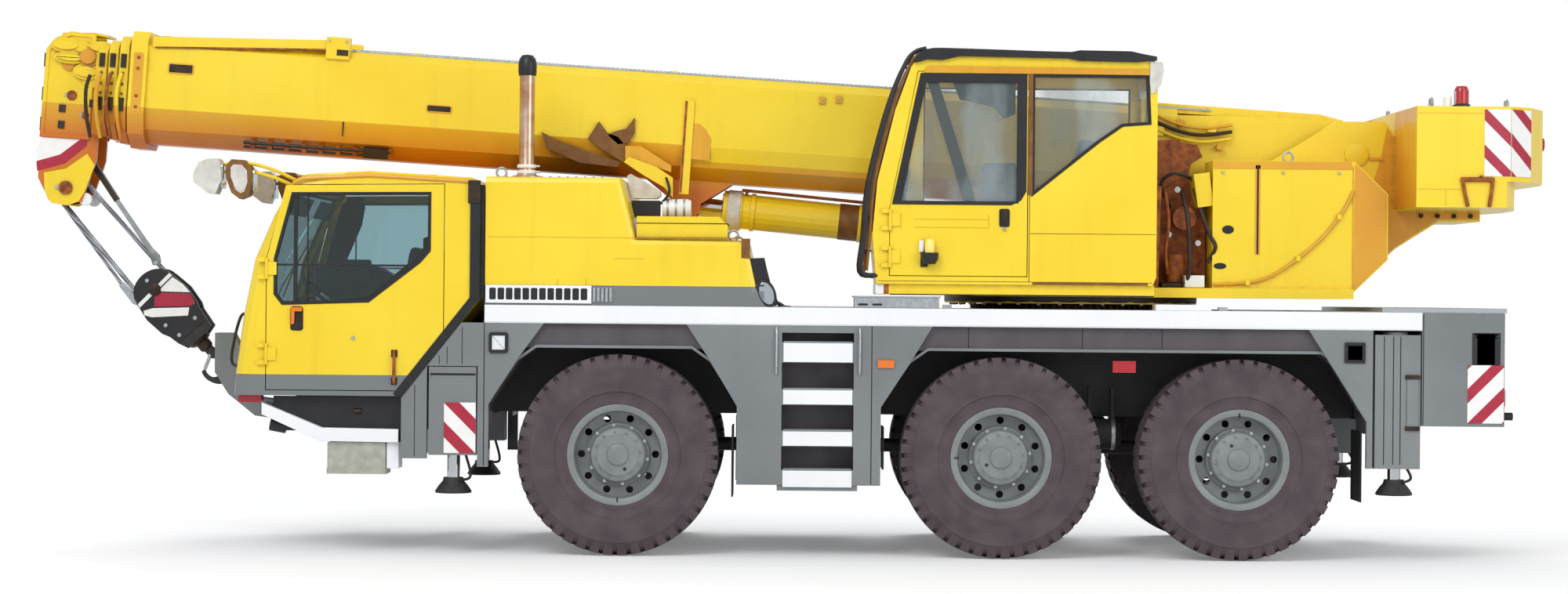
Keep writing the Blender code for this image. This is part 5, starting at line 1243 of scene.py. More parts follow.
    # the glass stands tilted in the lower half of its shell
    tilt = Matrix.Rotation(math.radians(22), 2)
    rim, face = ([Vector((-0.122, 1.855)) + tilt @ Vector(point)
                  for point in circle((0, 0), 0.055 * size, 28, high=0.095 * size)] for size in (1.0, 0.88))
    mirror.pipe([(x, -1.222, z) for x, z in rim], 0.010, "black", 8, closed=True)
    mirror.plate(face, -1.2152, -1.226, "mirror")
    mirror.pipe(smooth_path([(-0.05, -1.16, 1.79), (-0.02, -1.16, 1.775), (0.0, -1.16, 1.76)]), 0.014,
                "black", 8)
    mirror.turned([(0, DECK_TOP), (0.05, DECK_TOP), (0.05, 1.768), (0, 1.772)], (0.0, -1.16, 0), "Z",
                  "black", 20)
    mirror.build("round_mirror", "carrier", None, 0.006)


# Slewing platform

def make_platform(sizes):
    """Slewing ring with its teeth and bolts, step box, hoses, slew motors and valve box."""
    ring = Shape()
    ring.turned([(0.605, 1.738), (0.72, 1.738), (0.72, 1.762), (0.70, 1.765), (0.70, 1.796), (0.605, 1.796)],
                (SLEW_X, 0, 0), "Z", "dark_steel", 72)
    for i in range(sizes.ring_teeth):
        a = 2 * math.pi * i / sizes.ring_teeth
        x, y = SLEW_X + 0.727 * math.cos(a), 0.727 * math.sin(a)
        ring.box((x - 0.012, x + 0.012), (y - 0.010, y + 0.010), (1.7605, 1.790), "dark_steel",
                 Matrix.Rotation(a, 3, "Z"))
    ring.build("slewing_ring", "carrier", None, 0.001, 1)
    step = Shape()
    step.box((0.495, 1.09), (-1.235, -0.90), (1.7605, 1.832), "zinc")
    step.box((0.485, 1.10), (-1.240, -0.895), (1.832, 1.843), "tread_plate")
    for x in (0.52, 0.62):
        step.plate(rounded((x, x + 0.07), (1.775, 1.79), 0.005), -1.2352, -1.238, "black")
    step.build("platform_step", "carrier", None, 0.003)

    under = Shape()
    under.turned([(0.60, 1.806), (0.925, 1.806), (0.932, 1.815), (0.932, 1.852), (0.60, 1.852)],
                 (SLEW_X, 0, 0), "Z",
                 "black", 72)
    for x, y in circle((SLEW_X, 0), 0.88, 36):
        under.turned([(0, 0), (0.016, 0), (0.016, -0.018), (0, -0.022)], (x, y, 1.8065), "Z", "zinc", 6)
    # front tip of the sill with its pale mount
    under.box((0.642, 0.70), (-1.222, -0.60), (1.858, 1.926), "white")
    under.box((0.70, 0.735), (-1.223, -0.60), (1.858, 1.926), "rust")
    under.box((0.74, 2.60), (-1.2205, -1.215), (1.852, 1.862), "seal")
    under.build("platform_underside", "superstructure", None, 0.003)

    # hoses from the slew motor to the winch, over the platform floor
    hoses = Shape()
    for i in range(4):
        y = -0.16 + i * 0.032
        path = smooth_path([(1.70, y, 1.98), (1.95, y - 0.04, 2.02), (2.25, y - 0.12, 1.965),
                            (2.75, y - 0.13, 1.96),
                            (3.05, y, 2.00), (3.18, y, 2.12)])
        hoses.pipe(path, 0.014, "hose", 8)
    hoses.turned([(0, 1.93), (0.13, 1.93), (0.13, 2.10), (0.10, 2.16), (0.09, 2.30), (0, 2.30)],
                 (1.62, -0.10, 0), "Z",
                 "dark_steel", 28)
    hoses.turned([(0, 1.93), (0.10, 1.93), (0.10, 2.05), (0.07, 2.10), (0.07, 2.20), (0, 2.20)],
                 (1.62, 0.20, 0), "Z",
                 "dark_steel", 28)
    hoses.box((1.40, 1.85), (0.42, 0.92), (1.921, 2.18), "yellow")
    for i in range(6):
        z = 1.98 + i * 0.028
        hoses.box((1.44, 1.81), (0.917, 0.926), (z, z + 0.014), "black")
    hoses.build("platform_hoses", "superstructure", None, 0.003)


def make_winch(sizes):
    """Hoist winch: rusted flanged drum with bolted hubs, wound with two layers of rope."""
    winch = Shape()
    x, z = 3.45, 2.16
    winch.turned([(0, -0.35), (0.235, -0.35), (0.235, -0.33), (0.17, -0.325), (0.17, 0.325), (0.235, 0.33),
                  (0.235, 0.35), (0, 0.35)], (x, 0, z), "Y", "rust", 48)
    for side in (-1, 1):
        hub = [(0, 0), (0.13, 0), (0.13, 0.03), (0.09, 0.05), (0.08, 0.068), (0, 0.068)]
        winch.turned([(radius, side * height) for radius, height in hub], (x, side * 0.35, z), "Y", "rust",
                     36)
        for a, b in circle((x, z), 0.105, 12, math.pi / 12):
            winch.bar((a, side * 0.352, b), (a, side * 0.364, b), 0.009, "zinc", steps=6)
    made = winch.build("hoist_winch", "superstructure", "cast_iron", 0.003)
    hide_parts("winch")
    rope = Shape()
    laps = sizes.winch_laps
    path = []
    for layer, radius in ((0, 0.184), (1, 0.206)):
        for i in range(laps * 16):
            t = i / (laps * 16)
            across = -0.305 + 0.61 * (t if layer == 0 else 1 - t)
            a = 2 * math.pi * i / 16
            path.append((x + radius * math.cos(a), across, z + radius * math.sin(a)))
    rope.pipe(path, 0.0125, "rope", 6)
    rope.build("winch_rope", "superstructure", "bright_steel", 0)


# Operator's cab

# front skin of the operator's cab, x at height z
OP_FRONT = ((0.616, 2.27), (0.649, 2.655), (0.77, 3.151), (0.88, 3.455), (0.9625, 3.57))
OP_DOOR_WINDOW = [(0.80, 2.50), (0.975, 3.36), (1.64, 3.36), (1.64, 2.50)]
OP_SIDE_WINDOW = [(1.738, 3.40), (2.54, 3.40), (2.5575, 3.07), (2.365, 3.055), (2.2, 2.94), (1.738, 2.567)]
# what is fixed to its far side and its rear wall starts here
OP_FAR = -0.4798
OP_BACK = 2.6102


def op_front_x(z):
    """The operator's cab front skin at one height."""
    return skin_x(OP_FRONT, z)


def roof_z(x):
    """The top of the operator's cab roof, which falls to the rear."""
    return 3.57 + (x - 0.9625) * (3.525 - 3.57) / (2.585 - 0.9625)


def make_operator_cab():
    """Panes and seals, guard rails, wiper, louvres, roof gear and the fittings of the door."""
    panes = Shape()
    heights = (2.305, 2.46, 2.655, 2.90, 3.151, 3.30, 3.435)
    outer = [(op_front_x(z) + 0.010, z) for z in heights]
    panes.plate(outer + [(x + 0.007, z) for x, z in reversed(outer)], -1.178, -0.552, "glass_dusty")
    panes.plate(grow(OP_SIDE_WINDOW, -0.001), -1.236, -1.230, "glass_dusty")
    panes.box((1.001, 2.499), (-0.504, -0.498), (2.501, 3.359), "glass_dusty")
    panes.box((2.586, 2.592), (-1.149, -0.581), (2.601, 3.349), "glass_dusty")
    panes.build("operator_panes", "superstructure", None, 0)

    trim = Shape()
    for y in (-1.176, -0.554):
        trim.pipe([(op_front_x(z) + 0.003, y, z) for z in heights], 0.011, "seal", 8)
    for z in (heights[0], heights[-1]):
        trim.pipe([(op_front_x(z) + 0.003, -1.17, z), (op_front_x(z) + 0.003, -0.56, z)], 0.011, "seal", 8)
    trim.plate(grow(OP_SIDE_WINDOW, 0.010), -SKIN, -1.2535, "seal", holes=[grow(OP_SIDE_WINDOW, -0.012)])
    trim.plate(grow(OP_SIDE_WINDOW, -0.0005), -1.250, -1.222, "seal", holes=[grow(OP_SIDE_WINDOW, -0.012)])
    right = [(1.0, 2.50), (2.5, 2.50), (2.5, 3.36), (1.0, 3.36)]
    trim.plate(grow(right, 0.010), OP_FAR, -0.476, "seal", holes=[grow(right, -0.012)])
    rear = [(-1.15, 2.60), (-0.58, 2.60), (-0.58, 3.35), (-1.15, 3.35)]
    trim.plate(grow(rear, 0.010), OP_BACK, 2.614, "seal", "YZ", holes=[grow(rear, -0.012)])
    # brown post behind the door and the seams pressed into the side
    trim.box((1.704, 1.736), (-1.257, -SKIN), (2.56, 3.43), "brown")
    for x, z in (((1.7135, 1.7195), (1.95, 2.56)), ((1.72, 2.605), (2.288, 2.292)),
                 ((0.66, 2.58), (1.948, 1.952))):
        trim.box(x, (-1.2512, -SKIN), z, "brown")
    # painted shadow between the cab's side and the sill under it
    trim.box((1.74, 2.55), (-1.254, -SKIN), (1.931, 1.949), "brown")
    # moulded roof edge over the windows, its underside in shade
    trim.plate([(0.96, 3.414), (1.00, 3.462), (2.550, 3.450), (2.550, 3.408)], -SKIN, -1.262, "amber")
    # black shroud along the edge of the roof, thick at both ends
    shroud = [(0.900, 3.482), (0.925, 3.545), (0.975, 3.578), (1.06, 3.584), (1.14, 3.580), (2.00, 3.566),
              (2.06, 3.578), (2.42, 3.574), (2.50, 3.556), (2.60, 3.538), (2.60, 3.510), (2.45, 3.498),
              (2.06, 3.504), (1.98, 3.520), (1.22, 3.530), (1.10, 3.502), (0.985, 3.506), (0.945, 3.490)]
    for y in (-1.278, -0.477):
        trim.plate(shroud, y, y + 0.0275, "black")
    # guard rails ahead of the glass, tied by short bars
    for y in (-1.238, -0.492):
        path = [Vector((op_front_x(z) - 0.052, y, z)) for z in (2.02, 2.27, 2.655, 3.151, 3.455, 3.555)]
        ends = [Vector((0.655, y, 1.985)), *path, Vector((0.985, y, 3.585))]
        trim.pipe(smooth_path(ends, 4), 0.016, "black", 8)
        inner = [point + Vector((0.036, 0, 0)) for point in path]
        trim.pipe(smooth_path(inner, 4), 0.010, "brown", 8)
    for z in (2.16, 2.40, 3.50):
        x = op_front_x(z) - 0.052
        trim.pipe([(x, -1.238, z), (x, -0.492, z)], 0.009, "black", 8)
        for y in (-1.21, -0.52):
            trim.bar((x, y, z), (op_front_x(z) + 0.004, y, z), 0.008, "black", steps=8)
    # wiper with its motor under the glass
    foot = Vector((op_front_x(2.29) - 0.014, -0.86, 2.29))
    trim.bar(foot, foot + Vector((0.03, 0, 0)), 0.022, "black", steps=14)
    tip = Vector((op_front_x(2.80) - 0.006, -0.98, 2.80))
    trim.pipe([foot, (foot + tip) / 2 - Vector((0.014, 0, 0)), tip], 0.006, "black", 6)
    trim.pipe([(op_front_x(z), y, z) for y, z in ((-0.93, 2.52), (-0.98, 2.80), (-1.03, 3.08))], 0.007,
              "seal", 6)
    # far side: louvres
    for i in range(6):
        z = 2.06 + i * 0.032
        trim.box((1.75, 2.35), (OP_FAR, -0.474), (z, z + 0.015), "black")
    # rear wall: louvred cover over the heater and a blank plate
    for i in range(7):
        z = 2.12 + i * 0.034
        trim.box((OP_BACK, 2.618), (-1.12, -0.62), (z, z + 0.016), "black")
    trim.box((OP_BACK, 2.613), (-0.97, -0.77), (2.44, 2.54), "white")
    trim.build("operator_trim", "superstructure", None, 0.0015)

    roof = Shape()
    for y in (-1.20, -0.53):
        path = [Vector((x, y, roof_z(x) + lift)) for x, lift in
                ((1.02, 0.0), (1.04, 0.016), (1.30, 0.020), (2.10, 0.020), (2.44, 0.016), (2.46, 0.0))]
        roof.pipe(smooth_path(path, 3), 0.010, "black", 8)
    for x in (1.40, 1.80, 2.20):
        for y in (-1.20, -0.53):
            roof.bar((x, y, roof_z(x) - 0.002), (x, y, roof_z(x) + 0.020), 0.008, "black", steps=8)
    # flat air box at the rear
    hump = [(2.02, roof_z(2.02) + 0.001), (2.03, roof_z(2.03) + 0.025), (2.09, roof_z(2.1) + 0.032),
            (2.46, roof_z(2.46) + 0.038), (2.52, roof_z(2.52) + 0.020), (2.53, roof_z(2.53) + 0.001)]
    roof.plate(hump, -1.16, -0.57, "black")
    for i in range(8):
        x = 2.08 + i * 0.05
        roof.box((x, x + 0.022), (-1.10, -0.63), (roof_z(x) + 0.036, roof_z(x) + 0.044), "dark_steel")
    # glazed roof hatch with its frame
    roof.box((1.20, 1.90), (-1.08, -0.65), (roof_z(1.55) + 0.004, roof_z(1.55) + 0.022), "black")
    roof.box((1.24, 1.86), (-1.04, -0.69), (roof_z(1.55) + 0.018, roof_z(1.55) + 0.028), "glass")
    # pale marker lamp housing on the rear upper corner
    shell = [(2.555, 3.505), (2.640, 3.500), (2.650, 3.44), (2.632, 3.345), (2.585, 3.282), (2.562, 3.280),
             (2.552, 3.36)]
    roof.plate(shell, -1.262, -1.12, "ivory")
    roof.plate(shell, -0.61, -0.468, "ivory")
    roof.build("operator_roof", "superstructure", None, 0.005, 3)

    body = "operator_door"
    glass_piece = Shape()
    glass_piece.plate(grow(OP_DOOR_WINDOW, -0.001), -1.236, -1.230, "glass_dusty")
    glass_piece.build("operator_door_pane", body, None, 0)
    door = Shape()
    # bonded pane: its black rim covers the door's frame
    band = [(0.752, 2.487), (0.945, 3.410), (1.694, 3.410), (1.694, 2.585), (1.655, 2.520), (1.590, 2.487)]
    door.plate(band, -SKIN, -1.2535, "black", holes=[grow(OP_DOOR_WINDOW, -0.014)])
    door.plate(grow(OP_DOOR_WINDOW, -0.0005), -1.250, -1.222, "seal", holes=[grow(OP_DOOR_WINDOW, -0.014)])
    # handle in a black recess
    door.plate(rounded((1.505, 1.578), (2.335, 2.462), 0.014), -SKIN, -1.256, "black")
    door.plate(rounded((1.520, 1.563), (2.350, 2.450), 0.010), -1.256, -1.268, "dark_steel")
    door.bar((1.542, -1.256, 2.318), (1.542, -1.262, 2.318), 0.012, "zinc", steps=18)
    # pressed recess in the lower panel, its edges drawn as lines of painted shade
    for x, z in (((0.91, 1.43), (2.383, 2.387)), ((0.91, 1.43), (2.325, 2.329)),
                 ((1.430, 1.434), (2.325, 2.42))):
        door.box(x, (-1.2512, -SKIN), z, "amber")
    # grab rail inside the rear edge
    rail = smooth_path([(1.615, -1.20, 2.20), (1.615, -1.165, 2.22), (1.615, -1.165, 2.62),
                        (1.615, -1.20, 2.64)], 4)
    door.pipe(rail, 0.010, "black", 8)
    # work lamp: bowl, lens, arm and its bracket
    door.box((0.955, 1.005), (-1.262, -SKIN), (2.05, 2.17), "dark_steel")
    door.pipe(smooth_path([(0.975, -1.262, 2.07), (0.975, -1.30, 2.075), (1.01, -1.315, 2.09)], 4), 0.009,
              "black", 8)
    door.turned([(0, -0.045), (0.040, -0.045), (0.060, -0.01), (0.062, 0.035), (0, 0.035)],
                (1.018, -1.288, 2.115),
                "Z", "black", 28)
    door.turned([(0, 0.035), (0.034, 0.035), (0.034, 0.10), (0.026, 0.128), (0, 0.138)],
                (1.018, -1.288, 2.115), "Z", "lens_yellow", 28)
    door.box((0.945, 0.975), (-1.272, -SKIN), (2.155, 2.235), "white")
    door.build("operator_door_trim", body, None, 0.0015)


def make_operator_interior():
    """The operator's sprung seat with joystick consoles, pedals, display and floor mat."""
    floor = 1.9705
    middle = -0.865
    seat("operator_chair", (1.85, middle), floor, "superstructure", "operator_seat")
    gear = Shape()
    for side in (-1, 1):
        y = middle + side * 0.275
        gear.plate([(1.43, 2.44), (1.45, 2.30), (1.98, 2.28), (2.00, 2.42), (1.72, 2.475), (1.56, 2.50),
                    (1.46, 2.50)],
                   y - 0.045, y + 0.045, "liner")
        gear.turned([(0, 0), (0.032, 0), (0.028, 0.022), (0.010, 0.034), (0.009, 0.085), (0.022, 0.095),
                     (0.026, 0.155),
                     (0.017, 0.175), (0, 0.177)], (1.52, y, 2.50), "Z", "black", 20)
        for i in range(3):
            x = 1.60 + i * 0.05
            gear.box((x, x + 0.03), (y - 0.02, y + 0.02), (2.485 - i * 0.011, 2.502 - i * 0.011),
                     "dark_steel")
        # padded arm rest
        gear.plate(rounded((1.66, 1.96), (2.505, 2.545), 0.018), y - 0.035, y + 0.035, "seal")
        gear.box((1.80, 1.86), (y - 0.02, y + 0.02), (2.40, 2.51), "dark_steel")
    # display and switch panel on a stalk beside the glass
    gear.bar((0.86, -0.62, 2.0), (0.86, -0.62, 2.62), 0.016, "dark_steel", steps=12)
    gear.box((0.845, 0.885), (-0.74, -0.53), (2.60, 2.80), "black")
    gear.box((0.884, 0.888), (-0.725, -0.545), (2.62, 2.78), "lens_clear")
    # dark bar across the cab behind the guard rail
    gear.pipe([(0.79, -1.205, 2.40), (0.79, -0.525, 2.40)], 0.016, "black", 10)
    for y in (-1.04, -0.92, -0.80, -0.68):
        gear.box((0.80, 0.84), (y - 0.035, y + 0.035), (2.02, 2.14), "seal", leaned(25))
        gear.bar((0.80, y, 1.972), (0.82, y, 2.03), 0.008, "dark_steel", steps=8)
    gear.box((0.75, 2.50), (-1.195, -0.535), (1.9705, 1.980), "seal")
    # far pillar's lining, rolled blind under the roof and the tall side console
    gear.plate([(1.02, 3.42), (1.10, 3.42), (1.40, 2.49), (1.31, 2.49)], -0.525, -0.508, "seal")
    gear.plate([(1.20, 3.41), (1.66, 3.41), (1.66, 3.17), (1.58, 3.13), (1.50, 3.22), (1.26, 3.27)], -0.60,
               -0.56, "seal")
    gear.plate(rounded((1.42, 1.668), (2.10, 2.81), 0.03), -0.66, -0.57, "liner")
    # low locker behind the seat
    gear.box((2.28, 2.56), (-1.19, -0.54), (1.981, 2.34), "liner")
    gear.build("operator_gear", "superstructure", None, 0.004)


# Slewing covers and counterweight

def upright(start, end):
    """A frame that runs from start to end over the ground and faces outward on its -Y."""
    start, end = Vector((*start, 0.0)), Vector((*end, 0.0))
    along = (end - start).normalized()
    turn = Matrix((along, Vector((0, 0, 1)).cross(along), Vector((0, 0, 1)))).transposed()
    return Matrix.Translation(start) @ turn.to_4x4()


def make_covers():
    """Painted shade in folds and grooves, bolts, holes, hoses and a cable along the yellow covers beside the
    boom foot.
    """
    for label, side in SIDES:
        near = side * 0.90
        cover = Shape()
        out = (near, near + side * 0.004)
        # painted shade: in the pressed groove, as a strip under the boom and along the panel's edges
        cover.box((3.352, 3.388), out, (2.16, 2.80), "amber")
        cover.box((3.363, 3.377), (near, near + side * 0.0055), (2.165, 2.80), "dark_steel")
        cover.box((3.055, 4.04), out, (2.772, 2.826), "amber")
        cover.box((4.046, 4.052), out, (1.90, 2.80), "amber")
        # sealed openings
        for x, z, wide, high in ((3.160, 2.338, 0.042, 0.030), (3.105, 2.078, 0.045, 0.022)):
            cover.plate(circle((x, z), wide, 28, high=high), near, near + side * 0.004, "seal")
        # pressure pipe clipped down the cover from the boom foot
        line = [(3.06, 1.945), (3.30, 1.960), (3.44, 1.995), (3.58, 2.075), (3.74, 2.20), (3.88, 2.34),
                (4.00, 2.51),
                (4.05, 2.62)]
        cover.pipe(smooth_path([(x, near + side * 0.012, z) for x, z in line], 5), 0.011, "amber", 8)
        for x, z in ((3.30, 1.960), (3.66, 2.137), (3.95, 2.436)):
            cover.box((x - 0.015, x + 0.015), (near, near + side * 0.026), (z - 0.018, z + 0.018), "yellow")
        for x in (3.12, 3.55, 3.95):
            cover.bolts([(x, near + side * 0.0015, 2.745)], "Y", 0.011, side * 0.010, "zinc")
        # painted shade over the cover's rear edge, where the face slopes inward away from the light
        cover.plate([(4.056, 1.905), (4.292, 2.134), (4.292, 2.596), (4.062, 2.820)], near,
                    near + side * 0.0025, "amber")
        # lifting eye on top
        eye = [(a, near - side * 0.10, b) for a, b in circle((3.60, 2.862), 0.035, 16)]
        cover.pipe(eye, 0.009, "zinc", 8, closed=True)
        cover.build(f"cover_trim_{label}", "superstructure", None, 0.001)

    plant = Shape()
    # winch area between the cab and the near cover: rusty bracket, motor, hoses
    plant.plate([(2.66, 1.925), (2.98, 1.925), (3.04, 2.02), (3.04, 2.62), (2.90, 2.74), (2.70, 2.60)],
                -0.60, -0.57,
                "rust")
    plant.plate([(2.63, 1.925), (2.67, 1.925), (2.69, 2.64), (2.63, 2.66)], -0.86, -0.60, "rust")
    plant.plate([(2.635, 2.56), (2.635, 2.985), (2.80, 2.995), (2.985, 2.955), (3.02, 2.87), (2.94, 2.82),
                 (2.91, 2.70), (2.86, 2.60)], -0.55, -0.52, "rust")
    plant.turned([(0, -0.12), (0.085, -0.12), (0.085, 0.06), (0.062, 0.08), (0.062, 0.12), (0, 0.12)],
                 (2.86, -0.70, 2.42), "Y", "rust", 32)
    plant.turned([(0, -0.10), (0.060, -0.10), (0.068, -0.02), (0.068, 0.10), (0, 0.10)],
                 (2.80, -0.72, 2.06), "Z",
                 "rust", 28)
    plant.box((2.70, 2.84), (-0.84, -0.66), (1.924, 1.956), "dark_steel")
    plant.box((2.86, 3.00), (-0.87, -0.68), (1.924, 2.01), "white")
    plant.box((2.93, 3.045), (-0.88, -0.62), (2.50, 2.74), "yellow", leaned(-8))
    # hoses as tables: radius, finish, points
    for radius, finish, points in (
            (0.017, "hose", [(2.84, -0.80, 2.62), (2.87, -0.885, 2.45), (2.885, -0.90, 2.25),
                             (2.89, -0.89, 2.06),
                             (2.87, -0.84, 1.95)]),
            (0.015, "hose", [(2.93, -0.80, 2.63), (2.98, -0.885, 2.44), (3.03, -0.90, 2.30),
                             (3.07, -0.905, 2.21),
                             (3.02, -0.86, 2.10)]),
            (0.013, "rust", [(2.72, -0.84, 2.60), (2.74, -0.88, 2.40), (2.72, -0.88, 2.18),
                             (2.74, -0.84, 2.02)]),
            (0.013, "hose", [(2.78, -0.62, 2.50), (2.70, -0.72, 2.66), (2.78, -0.78, 2.74),
                             (2.92, -0.74, 2.70),
                             (2.95, -0.66, 2.60)])):
        plant.pipe(smooth_path(points, 6), radius, finish, 8)
    for x, z in ((2.80, 2.62), (2.95, 2.24), (2.74, 2.30)):
        plant.turned([(0, -0.012), (0.024, -0.012), (0.024, 0.012), (0, 0.012)], (x, -0.87, z), "Y", "zinc",
                     6)
    plant.build("winch_plant", "superstructure", None, 0.003)

    # pin caps and keepers on the cheeks at the boom foot
    foot = Shape()
    for _, side in SIDES:
        y = side * 0.4702
        foot.turned([(0, 0), (0.085, 0), (0.085, side * 0.012), (0.060, side * 0.020), (0, side * 0.020)],
                    (4.15, y, 2.90), "Y", "yellow", 36)
        foot.box((4.24, 4.34), (y, y + side * 0.014), (2.86, 2.88), "amber")
        # painted shade on the frame's tail under the weight
        foot.plate([(4.10, 2.45), (4.32, 2.13), (4.44, 2.235), (4.75, 2.435), (5.045, 2.435), (5.045, 2.492),
                    (4.425, 2.492), (4.425, 3.03), (4.37, 3.10), (4.33, 2.90), (4.26, 2.65)], y,
                   y + side * 0.0012, "amber")
    foot.build("foot_pin_caps", "superstructure", None, 0.002)


def make_counterweight():
    """Stripes on both rear corners, seams, handles, lifting eyes, beacon and tail lamps."""
    for label, side in SIDES:
        edge = side * 1.25
        trim = Shape()
        out = (edge, edge + side * 0.0012)
        for x, z in (((4.44, 4.90), (3.160, 3.164)), ((4.44, 4.75), (2.625, 2.629)),
                     ((4.634, 4.638), (2.51, 2.625))):
            trim.box(x, out, z, "amber")
        # forged handle: two legs and a notched bar
        legs = ([(4.748, 2.702), (4.776, 2.560), (4.790, 2.506)],
                [(4.965, 2.702), (4.955, 2.600), (4.940, 2.506)])
        for leg in legs:
            trim.pipe([(x, edge + side * 0.012, z) for x, z in leg], 0.013, "rust", 8)
        trim.pipe([(4.742, edge + side * 0.014, 2.696), (4.972, edge + side * 0.014, 2.696)], 0.017, "rust",
                  8)
        trim.box((4.874, 4.892), (edge, edge + side * 0.022), (2.680, 2.725), "rust")
        trim.build(f"counterweight_trim_{label}", "superstructure", None, 0.001)
        sheets = Shape()
        stripes(sheets, (4.905, 5.089), (2.72, 3.19), 1.25, side, True, 0.092, 0.262, 1.0, -0.040)
        sheets.build(f"stripe_side_{label}", "superstructure", None, 0)
        corner = [(5.092, -1.25), (5.26, -1.121)] if side < 0 else [(5.26, 1.121), (5.092, 1.25)]
        width = (Vector(corner[1]) - Vector(corner[0])).length
        sheets = Shape(upright(*corner))
        # the same bands as on the side, drawn wider where the corner turns away
        turned = width / 0.168
        stripes(sheets, (0.001, width - 0.002), (2.72, 3.19), 0.0005, -1, side < 0, 0.092 * turned,
                0.262 * turned,
                turned, width - 0.003 - 0.040 * turned)
        sheets.build(f"stripe_corner_{label}", "superstructure", None, 0)
    tail = Shape()
    # beacon and its white neighbour on the near corner
    x, y, z = 4.790, -1.02, WEIGHT_TOP
    tail.turned([(0, 0), (0.062, 0), (0.062, 0.022), (0.054, 0.03), (0, 0.03)], (x, y, z), "Z", "black", 32)
    tail.turned([(0, 0.03), (0.052, 0.03), (0.050, 0.13), (0.038, 0.155), (0, 0.160)], (x, y, z), "Z",
                "lens_red", 32)
    tail.turned([(0.0495, 0.030), (0.052, 0.030), (0.052, 0.120), (0.044, 0.120)], (x, y, z), "Z",
                "lens_red", 32)
    tail.turned([(0, 0), (0.030, 0), (0.030, 0.078), (0.024, 0.086), (0, 0.086)], (x - 0.10, y, z), "Z",
                "white", 24)
    tail.bar((x - 0.045, y - 0.02, z + 0.03), (x - 0.045, y - 0.02, z + 0.12), 0.008, "zinc", steps=8)
    # lifting eyes on the top
    for x, y in ((4.62, -0.80), (4.62, 0.80), (5.20, -0.62), (5.20, 0.62)):
        tail.pipe([(x, a, b) for a, b in circle((y, 3.252), 0.042, 16)], 0.011, "zinc", 8, closed=True)
        tail.turned([(0, WEIGHT_TOP), (0.035, WEIGHT_TOP), (0.032, 3.222), (0, 3.224)], (x, y, 0), "Z",
                    "zinc", 20)
    # painted shade on the front face, and the walkway strip
    for y in ((-1.249, -0.475), (0.475, 1.249)):
        tail.box((4.4275, 4.4298), y, (2.502, 3.208), "amber")
    tail.box((4.47, 4.60), (-1.10, 1.10), (WEIGHT_TOP, 3.216), "tread_plate")
    # a red lamp on each side of the tail, and the rubber strip between them
    for side in (-1, 1):
        tail.turned([(0, 0), (0.048, 0), (0.048, 0.012), (0, 0.016)], (5.474, side * 0.55, 2.98), "X",
                    "lens_red", 28)
    tail.box((5.462, 5.502), (-0.38, 0.38), (2.90, 2.94), "seal")
    tail.build("counterweight_top", "superstructure", None, 0.002)
    # greasy tail plate under the weight, with its bolt heads
    under = Shape()
    for side in (-1, 1):
        under.bolts([(4.62 + i * 0.12, side * 0.4705, 2.46) for i in range(4)], "Y", 0.018, side * 0.016,
                    "dark_steel")
    under.build("tail_plate_bolts", "superstructure", None, 0.001)


# Boom

BOOM_FRONT = -8.95
COLLAR = 0.085


